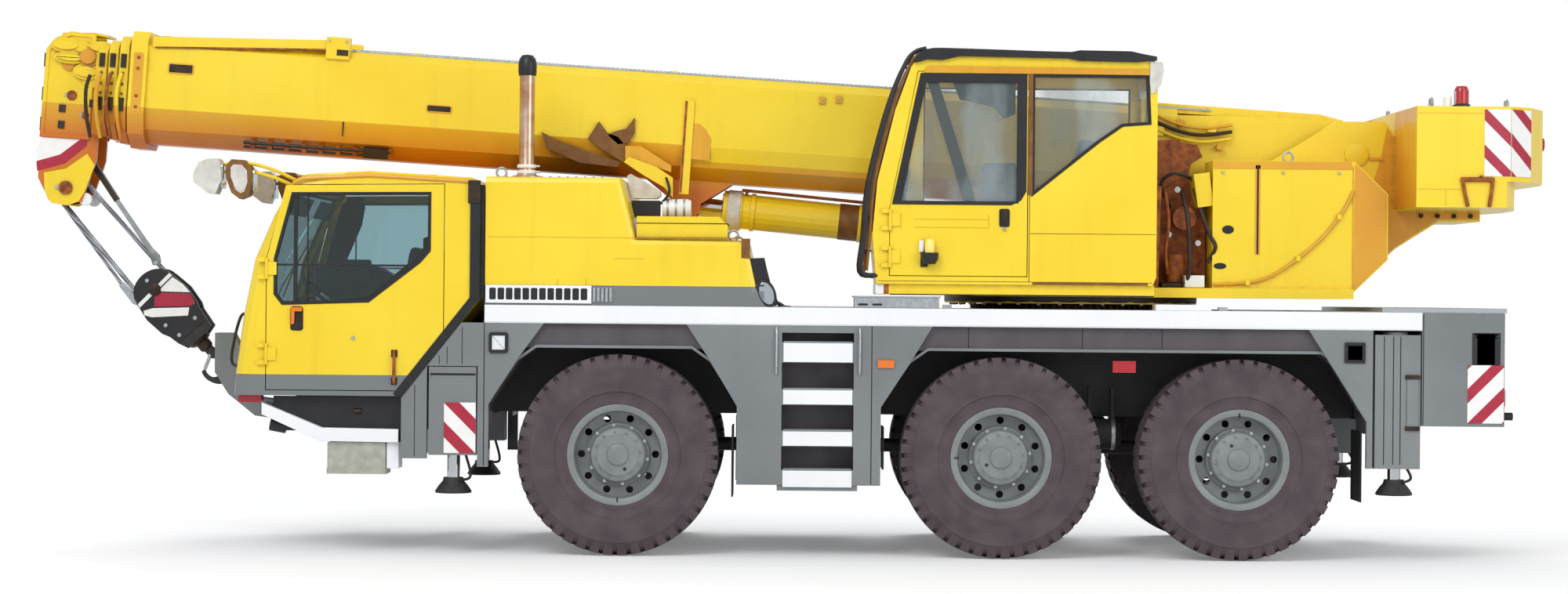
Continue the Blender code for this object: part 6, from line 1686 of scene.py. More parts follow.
def make_boom():
    """Guide rail with its bracket, slots, collar plate, lugs, wear pads and cables on the base section."""
    for label, side in SIDES:
        flank = side * 0.35
        rail = Shape(BOOM)
        # guide rail along the top corner, ending in a bracket
        rail.plate([(-8.80, 0.185), (-8.80, 0.262), (-7.38, 0.330), (-7.38, 0.262)], side * 0.285,
                   flank + side * 0.010,
                   "boom")
        rail.plate([(-8.78, 0.178), (-8.78, 0.190), (-7.40, 0.266), (-7.40, 0.254)], flank + side * 0.009,
                   flank + side * 0.0135, "rust")
        rail.box((-7.535, -7.365), (side * 0.27, flank + side * 0.022), (0.188, 0.348), "yellow")
        rail.box((-7.455, -7.372), (flank + side * 0.021, flank + side * 0.025), (0.215, 0.258), "dark_steel")
        for x in (-7.515, -7.385):
            rail.bolts([(x, flank + side * 0.022, 0.32)], "Y", 0.010, side * 0.008, "zinc")
        # recessed slots with a raised lip
        for x, z in (((-8.67, -8.50), (0.010, 0.070)), ((-6.77, -6.60), (-0.142, -0.102))):
            slot = rounded(x, z, 0.008, 2)
            rail.plate(slot, flank + side * 0.0002, flank + side * 0.003, "dark_steel")
            rail.plate(grow(slot, 0.008), flank + side * 0.0002, flank + side * 0.007, "amber", holes=[slot])
        # lower seam, collar plate round the belly and its brown edge
        rail.box((-7.381, -7.371), (flank, flank + side * 0.002), (-0.27 - 0.10, -0.262), "dark_steel")
        rail.plate([(-4.895, -0.62), (-4.895, 0.05), (-4.885, 0.075), (-4.835, 0.075), (-4.825, 0.05),
                    (-4.825, -0.62)],
                   flank + side * 0.0002, flank + side * 0.016, "yellow")
        rail.box((-4.893, -4.876), (flank + side * 0.015, flank + side * 0.018), (-0.61, 0.06), "rust")
        rail.plate([(-4.825, -0.10), (-4.825, -0.36), (-4.69, -0.36), (-4.69, -0.20), (-4.73, -0.14),
                    (-4.78, -0.10)],
                   flank + side * 0.0002, flank + side * 0.006, "amber")
        # small lugs on the rear half
        for x, z in ((-3.90, 0.135), (-3.78, 0.15), (-2.60, 0.10)):
            rail.box((x - 0.022, x + 0.022), (flank, flank + side * 0.022), (z - 0.025, z + 0.025), "amber")
            rail.bolts([(x, flank + side * 0.022, z)], "Y", 0.009, side * 0.006, "zinc")
        # wear-pad bolts round the front collar
        rail.bolts([(-8.89, side * 0.3905, z) for z in (0.10, 0.02, -0.18, -0.26)], "Y", 0.013,
                   side * 0.010, "rust")
        rail.plate(rounded((-8.925, -8.855), (-0.295, 0.135), 0.012, 2), side * 0.3902, side * 0.3935,
                   "amber")
        rail.build(f"boom_rail_{label}", "boom_base", None, 0.001)

    belly = Shape(BOOM)
    # cable tray and clamps under the front of the boom
    for i in range(9):
        x = -8.05 + i * 0.125
        belly.box((x, x + 0.035), (-0.315, -0.262), (-0.500, -0.438), "rust", leaned(20, "X"))
    for y, z, radius in ((-0.312, -0.462, 0.014), (-0.292, -0.492, 0.011)):
        belly.pipe([(-8.10, y, z), (-7.6, y, z - 0.004), (-7.02, y, z)], radius, "hose", 8)
    belly.box((-7.22, -7.04), (-0.33, -0.25), (-0.505, -0.435), "dark_steel", leaned(20, "X"))
    # hose tray along the top behind the operator's cab
    belly.plate([(-1.45, 0.225), (-1.45, 0.292), (-0.25, 0.288), (-0.08, BOOM_TOP), (-0.08, 0.225)], -0.262,
                0.262, "boom")
    # hose clamps and a junction box on the flank behind the operator's cab
    for x, z, wide, high, finish in ((-1.44, 0.08, 0.09, 0.07, "yellow"), (-1.28, 0.15, 0.06, 0.05, "amber"),
                                     (-1.22, 0.02, 0.11, 0.05, "yellow"), (-1.05, 0.12, 0.07, 0.05, "yellow"),
                                     (-1.36, -0.03, 0.05, 0.04, "rust"), (-0.98, -0.01, 0.05, 0.04, "amber")):
        belly.plate(rounded((x - wide / 2, x + wide / 2), (z - high / 2, z + high / 2), 0.015), -0.322,
                    -0.378, finish)
    for shift, radius, finish in ((0.0, 0.014, "hose"), (0.05, 0.012, "amber"), (-0.05, 0.012, "yellow")):
        belly.pipe(smooth_path([(-1.50, -0.365, 0.16 + shift), (-1.30, -0.385, 0.09 + shift),
                                (-1.12, -0.385, 0.07 + shift), (-0.90, -0.36, 0.11 + shift)], 5), radius,
                   finish, 8)
    # hoist rope over guide rollers along the top, beside its pale duct
    belly.box((-7.33, -1.05), (-0.275, -0.205), (BOOM_TOP, 0.270), "zinc")
    belly.pipe([(-8.93, 0.0, 0.282), (-0.75, 0.0, 0.282)], 0.011, "rope", 8)
    for x in (-8.75, -6.9, -5.0, -3.1, -1.0):
        belly.bar((x, -0.07, 0.2705), (x, 0.07, 0.2705), 0.012, "dark_steel", steps=14)
        for y in (-0.082, 0.070):
            belly.box((x - 0.03, x + 0.03), (y, y + 0.012), (BOOM_TOP, 0.292), "boom")
    belly.build("boom_fittings", "boom_base", None, 0.002)

    # flank brackets under the near side: arm, fins with a strip of painted shadow, cable reel, box and drum
    reel = Shape()
    near = -0.47
    arm = [(-1.172, 2.80), (-1.135, 2.84), (-0.93, 2.765), (-0.815, 2.69), (-0.815, 2.545), (-0.88, 2.62),
           (-1.02, 2.70)]
    reel.plate(arm, near, near + 0.05, "yellow")
    reel.plate([(-1.165, 2.80), (-1.165, 2.92), (-1.05, 2.92), (-0.83, 2.78), (-0.83, 2.73), (-0.93, 2.765),
                (-1.135, 2.84)], near + 0.05, -0.34, "amber")
    # brown fins beside the arm; the long lowest one is painted shadow
    for points in ([(-1.44, 2.975), (-1.36, 3.10), (-1.30, 3.02), (-1.22, 2.99), (-1.10, 2.86), (-1.18, 2.80),
                    (-1.36, 2.91)],
                   [(-1.30, 3.00), (-1.24, 3.03), (-1.16, 3.05), (-1.10, 3.13), (-1.10, 3.02), (-1.15, 2.94),
                    (-1.22, 2.93)],
                   [(-1.78, 3.02), (-1.66, 2.96), (-1.46, 2.89), (-1.20, 2.80), (-1.22, 2.765),
                    (-1.50, 2.795),
                    (-1.74, 2.90)]):
        reel.plate(points, -0.385, -0.352, "brown")
    reel.plate([(-1.145, 2.700), (-1.12, 2.715), (-0.98, 2.640), (-0.905, 2.590), (-0.90, 2.555),
                (-0.93, 2.535),
                (-1.10, 2.535), (-1.13, 2.60)], near - 0.03, near + 0.12, "ivory")
    reel.box((-1.11, -0.906), (near - 0.02, near + 0.13), (2.40, 2.522), "black")
    reel.turned([(0, -0.10), (0.066, -0.10), (0.072, -0.08), (0.072, 0.08), (0.060, 0.11), (0, 0.11)],
                (-0.79, near + 0.05, 2.465), "X", "white", 32)
    for x in (-0.85, -0.79, -0.73):
        reel.sleeve(0.070, 0.076, 0.008, (x, near + 0.05, 2.465), "X", "zinc", 32)
    reel.pipe(smooth_path([(-0.90, near + 0.03, 2.50), (-0.84, near - 0.02, 2.58), (-0.86, near, 2.68),
                           (-0.90, -0.40, 2.74)], 5), 0.010, "hose", 8)
    reel.build("boom_cable_reel", "boom_base", None, 0.004)


def make_boom_sections():
    """Wear pads, stop blocks and bolts on the collar of each telescopic section."""
    for number in range(1, 4):
        front = BOOM_FRONT - COLLAR * number
        half = 0.35 - 0.0292 * number + 0.035
        collar = Shape(BOOM)
        for side in (-1, 1):
            y = side * (half + 0.0003)
            out = (y, y + side * 0.010)
            for z in ((0.02, 0.12), (-0.30, -0.20)):
                collar.box((front + 0.010, front + 0.050), out, z, "dark_steel")
            collar.bolts([(front + 0.030, y, z) for z in (-0.02, -0.10, -0.17)], "Y", 0.011, side * 0.011,
                         "rust")
        collar.build(f"collar_{number}_pads", f"tele_{number}", None, 0.001)


def make_boom_head():
    """Sheaves, guards, hoses and side fittings of the boom head, with the marked nose cover."""
    place = BOOM @ Matrix.Translation((BOOM_FRONT - COLLAR * 3, 0, 0))
    head = Shape(place)
    for side in (-1, 1):
        y = side * HEAD_SIDE
        # stiffener round each side plate and the covers over the collars
        outline = [(-0.05, 0.262), (-0.24, 0.270), (-0.35, 0.215), (-0.412, 0.13),
                   (-0.418, -0.52), (-0.05, -0.52)]
        head.plate(outline, y, y + side * 0.012, "boom")
        head.plate(grow(outline, -0.004), y + side * 0.012, y + side * 0.020, "boom",
                   holes=[grow(outline, -0.030)])
        # rounded covers over the sheave bosses and hose ends at the top
        for x, z, across, high, deep, finish in (
                (-0.26, 0.165, 0.115, 0.055, 0.050, "yellow"), (-0.15, 0.150, 0.070, 0.050, 0.040, "boom"),
                (-0.22, 0.075, 0.125, 0.045, 0.055, "yellow"), (-0.09, 0.090, 0.080, 0.075, 0.060, "amber"),
                (0.00, 0.160, 0.100, 0.050, 0.050, "yellow"), (-0.10, -0.02, 0.100, 0.060, 0.045, "boom")):
            swell = circle((x, z), across, 24, high=high)
            head.plate(swell, y + side * 0.010, y + side * (0.016 + deep * 0.6), finish)
            head.plate(grow(swell, -0.022), y + side * (0.014 + deep * 0.6), y + side * (0.016 + deep),
                       finish)
        # rusty pins with keepers
        for x, z, radius in ((-0.15, 0.11, 0.046), (-0.20, -0.88, 0.050), (-0.20, -0.20, 0.036),
                             (-0.09, -0.34, 0.028)):
            head.turned([(0, 0), (radius, 0), (radius, side * 0.022), (radius * 0.7, side * 0.030),
                         (0, side * 0.030)],
                        (x, y, z), "Y", "rust", 28)
            head.box((x - radius * 1.5, x - radius * 0.5), (y, y + side * 0.018), (z - 0.012, z + 0.012),
                     "zinc")
        # round guides, hose loops over the collars and small blocks
        head.turned([(0, 0), (0.075, 0), (0.075, side * 0.02), (0.055, side * 0.03), (0, side * 0.024)],
                    (-0.06, y + side * 0.001, -0.06), "Y", "yellow", 32)
        head.turned([(0, 0), (0.052, 0), (0.052, side * 0.02), (0.03, side * 0.028), (0, side * 0.024)],
                    (-0.235, y + side * 0.001, 0.03), "Y", "amber", 28)
        head.plate(rounded((-0.30, -0.17), (-0.065, -0.01), 0.012, 2), y, y + side * 0.009, "dark_steel")
        for i in range(4):
            x = 0.19 - i * 0.075
            loop = [(x, side * 0.37, -0.02 - i * 0.01), (x - 0.02, side * 0.385, -0.16),
                    (x - 0.01, side * 0.365, -0.34),
                    (x + 0.015, side * 0.30, -0.50)]
            head.pipe(smooth_path(loop, 5), 0.016 - 0.002 * (i % 2), ("boom", "rust", "amber", "hose")[i], 8)
        for x, z in ((-0.27, -0.42), (-0.27, -0.30), (-0.05, -0.25)):
            head.box((x - 0.018, x + 0.030), (y, y + side * 0.022), (z - 0.028, z + 0.028), "hose")
    # guard over the top sheave and the dark front plate
    head.plate([(-0.33, 0.12), (-0.31, 0.26), (-0.08, 0.275), (0.03, 0.262),
                (0.03, 0.245), (-0.08, 0.255), (-0.295, 0.243), (-0.318, 0.12)],
               -0.135, 0.135, "boom")
    head.box((-0.416, -0.402), (-0.168, 0.168), (-0.50, 0.12), "brown")
    for z in (-0.42, -0.20, 0.05):
        head.box((-0.402, -0.332), (-0.15, 0.15), (z - 0.008, z + 0.008), "boom")
        head.box((-0.424, -0.414), (-0.174, 0.174), (z - 0.05, z + 0.05), "dark_steel")
    # sheaves with their grooves
    for x, z, radius in ((-0.20, -0.88, 0.100), (-0.15, 0.124, 0.100)):
        for y in (-0.095, 0.075):
            head.turned([(0.03, y - 0.022), (radius + 0.014, y - 0.022), (radius + 0.018, y - 0.016),
                         (radius - 0.006, y),
                         (radius + 0.018, y + 0.016), (radius + 0.014, y + 0.022), (0.03, y + 0.022)],
                        (x, 0, z), "Y", "dark_steel", 40)
    # rope keepers across the plates
    for x, z in ((-0.385, -0.72), (-0.10, -0.955), (-0.30, -0.955)):
        head.bar((x, -0.139, z), (x, 0.139, z), 0.012, "zinc", steps=12)
    head.build("boom_head_fittings", "tele_3", None, 0.002)

    nose = Shape(place)
    for side in (-1, 1):
        y = side * HEAD_SIDE
        # white and red marker over the nose, yellow below it
        nose.plate([(-0.395, -0.51), (-0.438, -0.625), (-0.43, -0.70), (-0.26, -0.64),
                    (-0.12, -0.52), (-0.10, -0.49), (-0.20, -0.50)], y, y + side * 0.006,
                   "white_sheet")
        nose.plate([(-0.43, -0.70), (-0.42, -0.77), (-0.22, -0.70), (-0.07, -0.56),
                    (-0.07, -0.49), (-0.10, -0.49), (-0.12, -0.52), (-0.26, -0.64)],
                   y, y + side * 0.006, "red_sheet")
        nose.plate([(-0.37, -0.78), (-0.21, -0.74), (-0.06, -0.62), (0.0, -0.70),
                    (-0.06, -0.90), (-0.10, -0.975), (-0.18, -1.01), (-0.30, -1.00),
                    (-0.355, -0.92)], y, y + side * 0.004, "yellow")
    for y in (-0.158, 0.128):
        nose.turned([(0, 0), (0.042, 0.0), (0.048, 0.006), (0.048, 0.024), (0.042, 0.030), (0, 0.030)],
                    (-0.055, y, -0.955), "Y", "white", 24)
    nose.build("boom_nose_marks", "tele_3", None, 0.001)


def make_luffing():
    """Gland, pipes, clamps and paint lines on the luffing cylinder, and the rod's wiper."""
    base, eye = Vector((2.45, 0, 2.20)), Vector((-0.72, 0, 2.50))
    along = (eye - base).normalized()
    place = Matrix.Translation(base) @ along.to_track_quat("X", "Z").to_matrix().to_4x4()
    barrel = Shape(place)
    for x in (0.34, 1.10, 1.90, 2.70):
        barrel.sleeve(BARREL, 0.140, 0.016, (x, 0, 0), "X", "yellow", 40)
    barrel.turned([(0.1422, -0.06), (0.150, -0.055), (0.150, 0.035), (0.1422, 0.04)], (2.85, 0, 0), "X",
                  "ivory", 40)
    barrel.bolts([(2.9203, a, b) for a, b in circle((0, 0), 0.112, 12, math.pi / 12)], "X", 0.011, 0.010,
                 "zinc")
    barrel.turned([(BARREL, -0.11), (0.1345, -0.105), (0.1345, 0.105), (BARREL, 0.11)], (1.95, 0, 0), "X",
                  "brown", 40)
    # oil pipe along the barrel with its valve block
    barrel.pipe(smooth_path([(0.36, 0.10, 0.10), (0.42, 0.10, 0.145), (0.60, 0.06, 0.155),
                             (2.60, 0.06, 0.155),
                             (2.74, 0.06, 0.150), (2.76, 0.05, 0.120)], 4), 0.012, "rust", 8)
    barrel.box((0.28, 0.46), (-0.06, 0.12), (0.120, 0.190), "dark_steel")
    barrel.turned([(0, 0), (0.024, 0), (0.024, 0.03), (0.015, 0.045), (0, 0.045)], (0.33, 0.0, 0.19), "Z",
                  "zinc", 18)
    barrel.build("luff_barrel_fittings", "luff_cylinder", None, 0.001)
    rod = Shape(place)
    rod.sleeve(0.1002, 0.112, 0.045, ((eye - base).length, 0, 0), "Y", "amber", 32)
    rod.build("luff_rod_eye_ring", "luff_rod", None, 0.001)


# Hook block

HOOK = (Matrix.Translation(BOOM @ Vector((-9.405, 0, -0.88))) @ Matrix.Rotation(math.radians(-41), 4, "Y"))


def make_hook():
    """Striped hook block with sheaves, swivel, latch and hook, its rope falls and its tie strap."""
    block = Shape(HOOK)
    dome = [(0.165 * math.cos(a), -0.975 + 0.130 * math.sin(a))
            for a in (math.pi * i / 20 for i in range(21))]
    cheek = [(-0.170, -0.975), (0.168, -0.975), (0.192, -1.12), (0.178, -1.26), (0.118, -1.40),
             (-0.105, -1.40),
             (-0.172, -1.27), (-0.192, -1.12)]
    lower = [(-0.150, -1.30), (0.160, -1.30), (0.142, -1.455), (0.070, -1.475), (-0.095, -1.475),
             (-0.128, -1.40)]
    for side in (-1, 1):
        block.plate(dome, side * 0.070, side * 0.108, "black")
        block.plate(cheek, side * 0.070, side * 0.106, "black")
        # white strip under the guard, painted highlight of a polished edge, then slanting red and white
        # sheets
        for outline, finish in (
                ([(-0.166, -0.988), (0.160, -0.962), (0.166, -0.990), (-0.172, -1.018)], "white_sheet"),
                ([(0.010, -1.012), (0.160, -1.000), (0.184, -1.090), (0.186, -1.172)], "white_sheet"),
                ([(-0.030, -1.022), (0.002, -1.016), (0.182, -1.182), (0.160, -1.258), (0.122, -1.250),
                  (-0.086, -1.080)], "red_sheet"),
                ([(-0.100, -1.082), (0.108, -1.252), (0.062, -1.292), (-0.150, -1.128), (-0.182, -1.082),
                  (-0.166, -1.052)], "white_sheet")):
            block.plate(outline, side * 0.106, side * 0.1085, finish)
        block.plate(lower, side * 0.050, side * 0.100, "cast")
        block.bolts([(x, side * 0.106, z) for x,
                     z in ((-0.11, -1.24), (0.09, -1.34), (-0.08, -1.36), (0.0, -0.90))],
                    "Y", 0.017, side * 0.012, "zinc")
        block.turned([(0, 0), (0.046, 0), (0.046, side * 0.016), (0.030, side * 0.024), (0, side * 0.024)],
                     (0, side * 0.108, -0.985), "Y", "dark_steel", 28)
    for y in (-0.042, 0.0, 0.042):
        block.turned([(0.024, y - 0.018), (0.128, y - 0.018), (0.132, y - 0.013), (0.112, y),
                      (0.132, y + 0.013),
                      (0.128, y + 0.018), (0.024, y + 0.018)], (0, 0, -0.985), "Y", "dark_steel", 40)
    block.bar((0, -0.069, -0.985), (0, 0.069, -0.985), 0.024, "zinc")
    # cross head, swivel nut and shank
    block.box((-0.075, 0.075), (-0.098, 0.098), (-1.455, -1.385), "cast")
    block.turned([(0, -1.560), (0.044, -1.560), (0.052, -1.545), (0.052, -1.500), (0.078, -1.490),
                  (0.082, -1.456),
                  (0, -1.456)], (0, 0, 0), "Z", "dark_steel", 36)
    # forged hook: thick in the bend, thin at the tip
    spine = arc(-0.040, -1.705, 0.100, 62, -205, 30)
    points = [(0.0, -1.552), (0.004, -1.580)] + spine
    rings = []
    for i, (x, z) in enumerate(points):
        t = i / (len(points) - 1)
        rings.append((Vector((x, 0, z)), 0.030 + 0.022 * math.sin(math.pi * min(1.0, t * 1.25)) - 0.016 * t))
    corners, faces, steps = [], [], 14
    for i, (centre, radius) in enumerate(rings):
        before, after = rings[max(0, i - 1)][0], rings[min(len(rings) - 1, i + 1)][0]
        along = (after - before).normalized()
        across = Vector((along.z, 0, -along.x))
        for k in range(steps):
            a = 2 * math.pi * k / steps
            reach = 1.15 * math.cos(a) * across + 0.8 * math.sin(a) * Vector((0, 1, 0))
            corners.append(centre + radius * reach)
    for i in range(len(rings) - 1):
        faces += wall(i * steps, (i + 1) * steps, steps)
    faces += [tuple(range(steps)), tuple(range(len(corners) - 1, len(corners) - steps - 1, -1))]
    block.add(corners, faces, "cast")
    # sprung latch across the mouth
    block.plate([(0.020, -1.600), (-0.002, -1.612), (-0.112, -1.672), (-0.128, -1.664), (-0.116, -1.650),
                 (0.012, -1.582)], -0.022, 0.022, "zinc")
    made = block.build("hook_block_striped", "hook", "black_paint", 0.002)
    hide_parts("hook_block")

    falls = Shape(HOOK)
    for y in (-0.042, 0.042):
        path = [(-0.112, y, 0.02), (-0.132, y, -0.90)]
        path += [(x, y, z) for x, z in arc(0, -0.985, 0.124, 160, 380, 14)]
        falls.pipe([*path, (0.128, y, -0.90), (0.112, y, 0.02)], 0.0115, "rope", 10)
    # becket fall down the front edge to its wedge socket
    falls.pipe([(-0.120, 0.0, -0.03), (-0.155, 0.0, -0.50), (-0.178, 0.0, -0.80)], 0.0125, "rope", 10)
    falls.plate([(-0.196, -0.78), (-0.160, -0.78), (-0.150, -0.95), (-0.170, -1.02), (-0.205, -0.95)],
                -0.028, 0.028,
                "zinc")
    made = falls.build("hoist_falls", "hook", "bright_steel", 0)
    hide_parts("hoist_rope")

    # tie strap from the head to the block, sleeved at its upper end
    strap = Shape(HOOK)
    strap.plate([(0.226, 0.05), (0.268, 0.05), (0.222, -0.29), (0.182, -0.29)], -0.030, 0.030, "hose")
    strap.plate([(0.188, -0.27), (0.216, -0.27), (0.170, -0.72), (0.176, -0.80), (0.150, -0.845),
                 (0.092, -0.830),
                 (0.120, -0.76), (0.138, -0.70)], -0.024, 0.024, "webbing")
    strap.bar((0.247, -0.05, 0.045), (0.247, 0.05, 0.045), 0.030, "rust")
    strap.bar((0.125, -0.06, -0.835), (0.125, 0.06, -0.835), 0.016, "zinc", steps=14)
    strap.build("hook_tie_strap", "hook", None, 0.003)


# Stage

def make_stage(stage):
    """Pale floor, an even sky, three soft lamps, and the camera at the photo's place."""
    floor = bpy.data.meshes.new("floor")
    half = stage.floor_size / 2
    floor.from_pydata([(-half, -half, 0), (half, -half, 0), (half, half, 0), (-half, half, 0)], [],
                      [(0, 1, 2, 3)])
    tree, shader = new_finish("floor", "pale_floor", stage.floor_colour, 0.9)
    # the floor thins out to the white behind it, so that no horizon shows
    place = add(tree, "ShaderNodeMapping", {
        "Vector": add(tree, "ShaderNodeTexCoord").outputs["Object"], "Scale": (0.7, 1.0, 1.0)})
    reach = add(tree, "ShaderNodeVectorMath", {0: place.outputs["Vector"]}, operation="LENGTH")
    cover = add(tree, "ShaderNodeMapRange",
                {"Value": reach.outputs["Value"], "From Min": stage.floor_fade * 0.5,
                                             "From Max": stage.floor_fade, "To Min": 1.0, "To Max": 0.0})
    tree.links.new(cover.outputs["Result"], shader.inputs["Alpha"])
    # a little of its own white for the camera alone, which leaves the shadow on it
    shader.inputs["Emission Color"].default_value = (1, 1, 1, 1)
    seen = add(tree, "ShaderNodeMath", {
        0: add(tree, "ShaderNodeLightPath").outputs["Is Camera Ray"], 1: stage.floor_lift},
               operation="MULTIPLY")
    tree.links.new(seen.outputs["Value"], shader.inputs["Emission Strength"])
    floor.materials.append(FINISH["floor"])
    ground = bpy.data.objects.new("floor", floor)
    ground.location.z = -0.001
    world = bpy.data.worlds.new("soft daylight")
    bpy.context.scene.world = world
    world.use_nodes = True
    sky = world.node_tree
    seen = add(sky, "ShaderNodeLightPath")
    straight = add(sky, "ShaderNodeMath", {
        0: seen.outputs["Is Camera Ray"], 1: seen.outputs["Is Transmission Ray"]}, operation="MAXIMUM")
    light = add(sky, "ShaderNodeBackground", {"Color": linear("#F4F7FB"), "Strength": stage.sky_strength})
    white = add(sky, "ShaderNodeBackground", {"Color": (1, 1, 1, 1), "Strength": 1.0})
    both = add(sky, "ShaderNodeMixShader",
               {0: straight.outputs["Value"], 1: light.outputs[0], 2: white.outputs[0]})
    sky.links.new(both.outputs[0], sky.nodes["World Output"].inputs["Surface"])
    pieces = [ground]
    # name, place, size across, power, aim
    lamps = (("sun_side", (-6.0, -14.0, 13.0), 9.0, stage.key_power, (0.0, 0.0, 1.5)),
             ("fill_side", (11.0, -12.0, 6.0), 8.0, stage.fill_power, (0.0, 0.0, 1.5)),
             ("back_top", (2.0, 12.0, 12.0), 8.0, stage.back_power, (0.0, 0.0, 2.0)))
    for name, place, size, power, aim in lamps:
        lamp = bpy.data.lights.new(name, "AREA")
        lamp.shape = "DISK"
        lamp.size = size
        lamp.energy = power
        holder = bpy.data.objects.new(name, lamp)
        holder.location = place
        holder.rotation_euler = (Vector(aim) - Vector(place)).to_track_quat("-Z", "Y").to_euler()
        pieces.append(holder)
    lens_data = bpy.data.cameras.new("camera")
    lens_data.lens = stage.focal_length
    lens_data.sensor_width = 36.0
    camera = bpy.data.objects.new("camera", lens_data)
    camera.matrix_world = (Matrix.Translation((0.0, -stage.camera_distance, stage.camera_height))
                           @ Matrix.Rotation(math.pi / 2, 4, "X")
                           @ Matrix.Rotation(stage.camera_roll, 4, "Z"))
    pieces.append(camera)
    for piece in pieces:
        bpy.context.scene.collection.objects.link(piece)
    bpy.context.scene.camera = camera
    bpy.context.scene.view_settings.view_transform = "Standard"


# CAD pieces that stay in view, by their finish
PAINTED = {
    "yellow_cab": ("cab_shell", "cab_door_left", "cab_door_right"),
    "yellow_hood": ("engine_hood",),
    "yellow": ("operator_cab", "operator_door", "luff_cylinder", "counterweight", "turntable"),
    "boom": ("boom_base", "tele_1", "tele_2", "tele_3"),
    "panel": ("side_panel_left", "side_panel_right"),
    "grey": ("tail_box", "outrigger_front_left", "outrigger_front_right", "outrigger_rear_left",
             "outrigger_rear_right"),
    "frame": ("chassis_frame",),
    "white": ("deck",),
    "cast": ("axle_1", "axle_2", "axle_3", "knuckle_1_left", "knuckle_1_right", "knuckle_3_left",
             "knuckle_3_right"),
    "block": ("engine_block",),
    "chrome": ("luff_rod",),
}


def paint_nodes():
    """Gives each CAD piece its paint."""
    for key, names in PAINTED.items():
        for name in names:
            node = bpy.data.objects[name]
            node.data.materials.clear()
            node.data.materials.append(FINISH[key])


# Settings a user would change

def colour_setting(name, description, value):
    return FloatVectorProperty(name=name, description=description, default=linear(value), subtype="COLOR",
                               size=4, min=0.0, max=1.0)


class CranePaint(bpy.types.PropertyGroup):
    yellow: colour_setting("Yellow", "Cab, boom and cover enamel", "#F5D21A")
    grey: colour_setting("Grey", "Carrier panel enamel", "#75797A")
    white: colour_setting("White", "Deck and step enamel", "#F0F2F4")
    rubber: colour_setting("Rubber", "Tyre colour", "#4A4044")
    rim: colour_setting("Rim", "Wheel enamel", "#7D8080")
    glass: colour_setting("Glass", "Window tint", "#B2CBCF")
    # painted shade under the bend of the boom's flank
    boom_belly_shade: colour_setting("Boom belly", "Oily shade under the boom", "#D0700F")
    cab_skirt: FloatProperty(name="Cab skirt", description="Top of the grey band on the cab", default=1.257,
                             unit="LENGTH")
    hood_sill: FloatProperty(name="Hood sill", description="Top of the grey band on the hood", default=1.90,
                             unit="LENGTH")
    crease_front: FloatProperty(name="Front bend",
                                description="Bend of the boom's flank under its pin line, front",
                                default=-0.26, unit="LENGTH")
    crease_rear: FloatProperty(name="Rear bend",
                               description="Bend of the boom's flank under its pin line, rear",
                               default=-0.37, unit="LENGTH")
    crease_step: FloatProperty(name="Bend step",
                               description="Where the bend steps, measured from the foot pin",
                               default=-4.86, unit="LENGTH")


class CraneWheels(bpy.types.PropertyGroup):
    tyre_radius: FloatProperty(name="Tyre radius", description="Outside radius of the tread", default=0.71,
                               unit="LENGTH")
    tyre_width: FloatProperty(name="Tyre width", description="Width over the sidewalls", default=0.42,
                              unit="LENGTH")
    rim_flange: FloatProperty(name="Rim radius", description="Outside radius of the rim's flange",
                              default=0.355,
                              unit="LENGTH")
    tread_pitches: IntProperty(name="Tread blocks", description="Blocks in each tread row", default=44,
                               min=12)


class CraneFittings(bpy.types.PropertyGroup):
    grille_slots: IntProperty(name="Grille slots", description="Slots in each side grille of the hood",
                              default=12,
                              min=2)
    ring_teeth: IntProperty(name="Ring teeth", description="Teeth round the slewing ring", default=90, min=12)
    winch_laps: IntProperty(name="Winch laps", description="Turns of rope in each layer on the winch",
                            default=24,
                            min=4)


class CraneStage(bpy.types.PropertyGroup):
    floor_size: FloatProperty(name="Floor", description="Side of the square floor", default=120.0,
                              unit="LENGTH")
    floor_lift: FloatProperty(name="Floor lift", description="White added to the floor for the camera",
                              default=0.16)
    floor_fade: FloatProperty(name="Floor fade", description="Distance at which the floor has faded out",
                              default=9.0,
                              unit="LENGTH")
    floor_colour: colour_setting("Floor colour", "Floor", "#F4F4F4")
    sky_strength: FloatProperty(name="Sky", description="Strength of the even sky light", default=0.72)
    key_power: FloatProperty(name="Key lamp", description="Power of the side light", default=1150.0,
                             unit="POWER")
    fill_power: FloatProperty(name="Fill lamp", description="Power of the front fill", default=480.0,
                              unit="POWER")
    back_power: FloatProperty(name="Back lamp", description="Power of the light from behind", default=900.0,
                              unit="POWER")
    camera_distance: FloatProperty(name="Distance",
                                   description="Camera's distance from the crane's middle plane",
                                   default=23.25, unit="LENGTH")
    camera_height: FloatProperty(name="Height", description="Camera's height", default=1.83, unit="LENGTH")
    focal_length: FloatProperty(name="Focal length", description="Camera lens on a 36 mm sensor",
                                default=72.0,
                                unit="CAMERA")
    camera_roll: FloatProperty(name="Roll", description="Camera's roll", default=math.radians(0.5),
                               subtype="ANGLE")


class CRANE_OT_stage(bpy.types.Operator):
    """Builds the floor, the lights and the camera"""
    bl_idname = "crane.stage"
    bl_label = "Stage"

    def execute(self, context):
        make_stage(context.scene.crane_stage)
        return {"FINISHED"}


class CRANE_OT_paint(bpy.types.Operator):
    """Makes the finishes and paints the CAD pieces"""
    bl_idname = "crane.paint"
    bl_label = "Paint"

    def execute(self, context):
        make_finishes(context.scene.crane_paint)
        paint_nodes()
        return {"FINISHED"}


class CRANE_OT_wheels(bpy.types.Operator):
    """Builds six tyres and disc wheels"""
    bl_idname = "crane.wheels"
    bl_label = "Wheels"

    def execute(self, context):
        make_wheels(context.scene.crane_wheels)
        return {"FINISHED"}


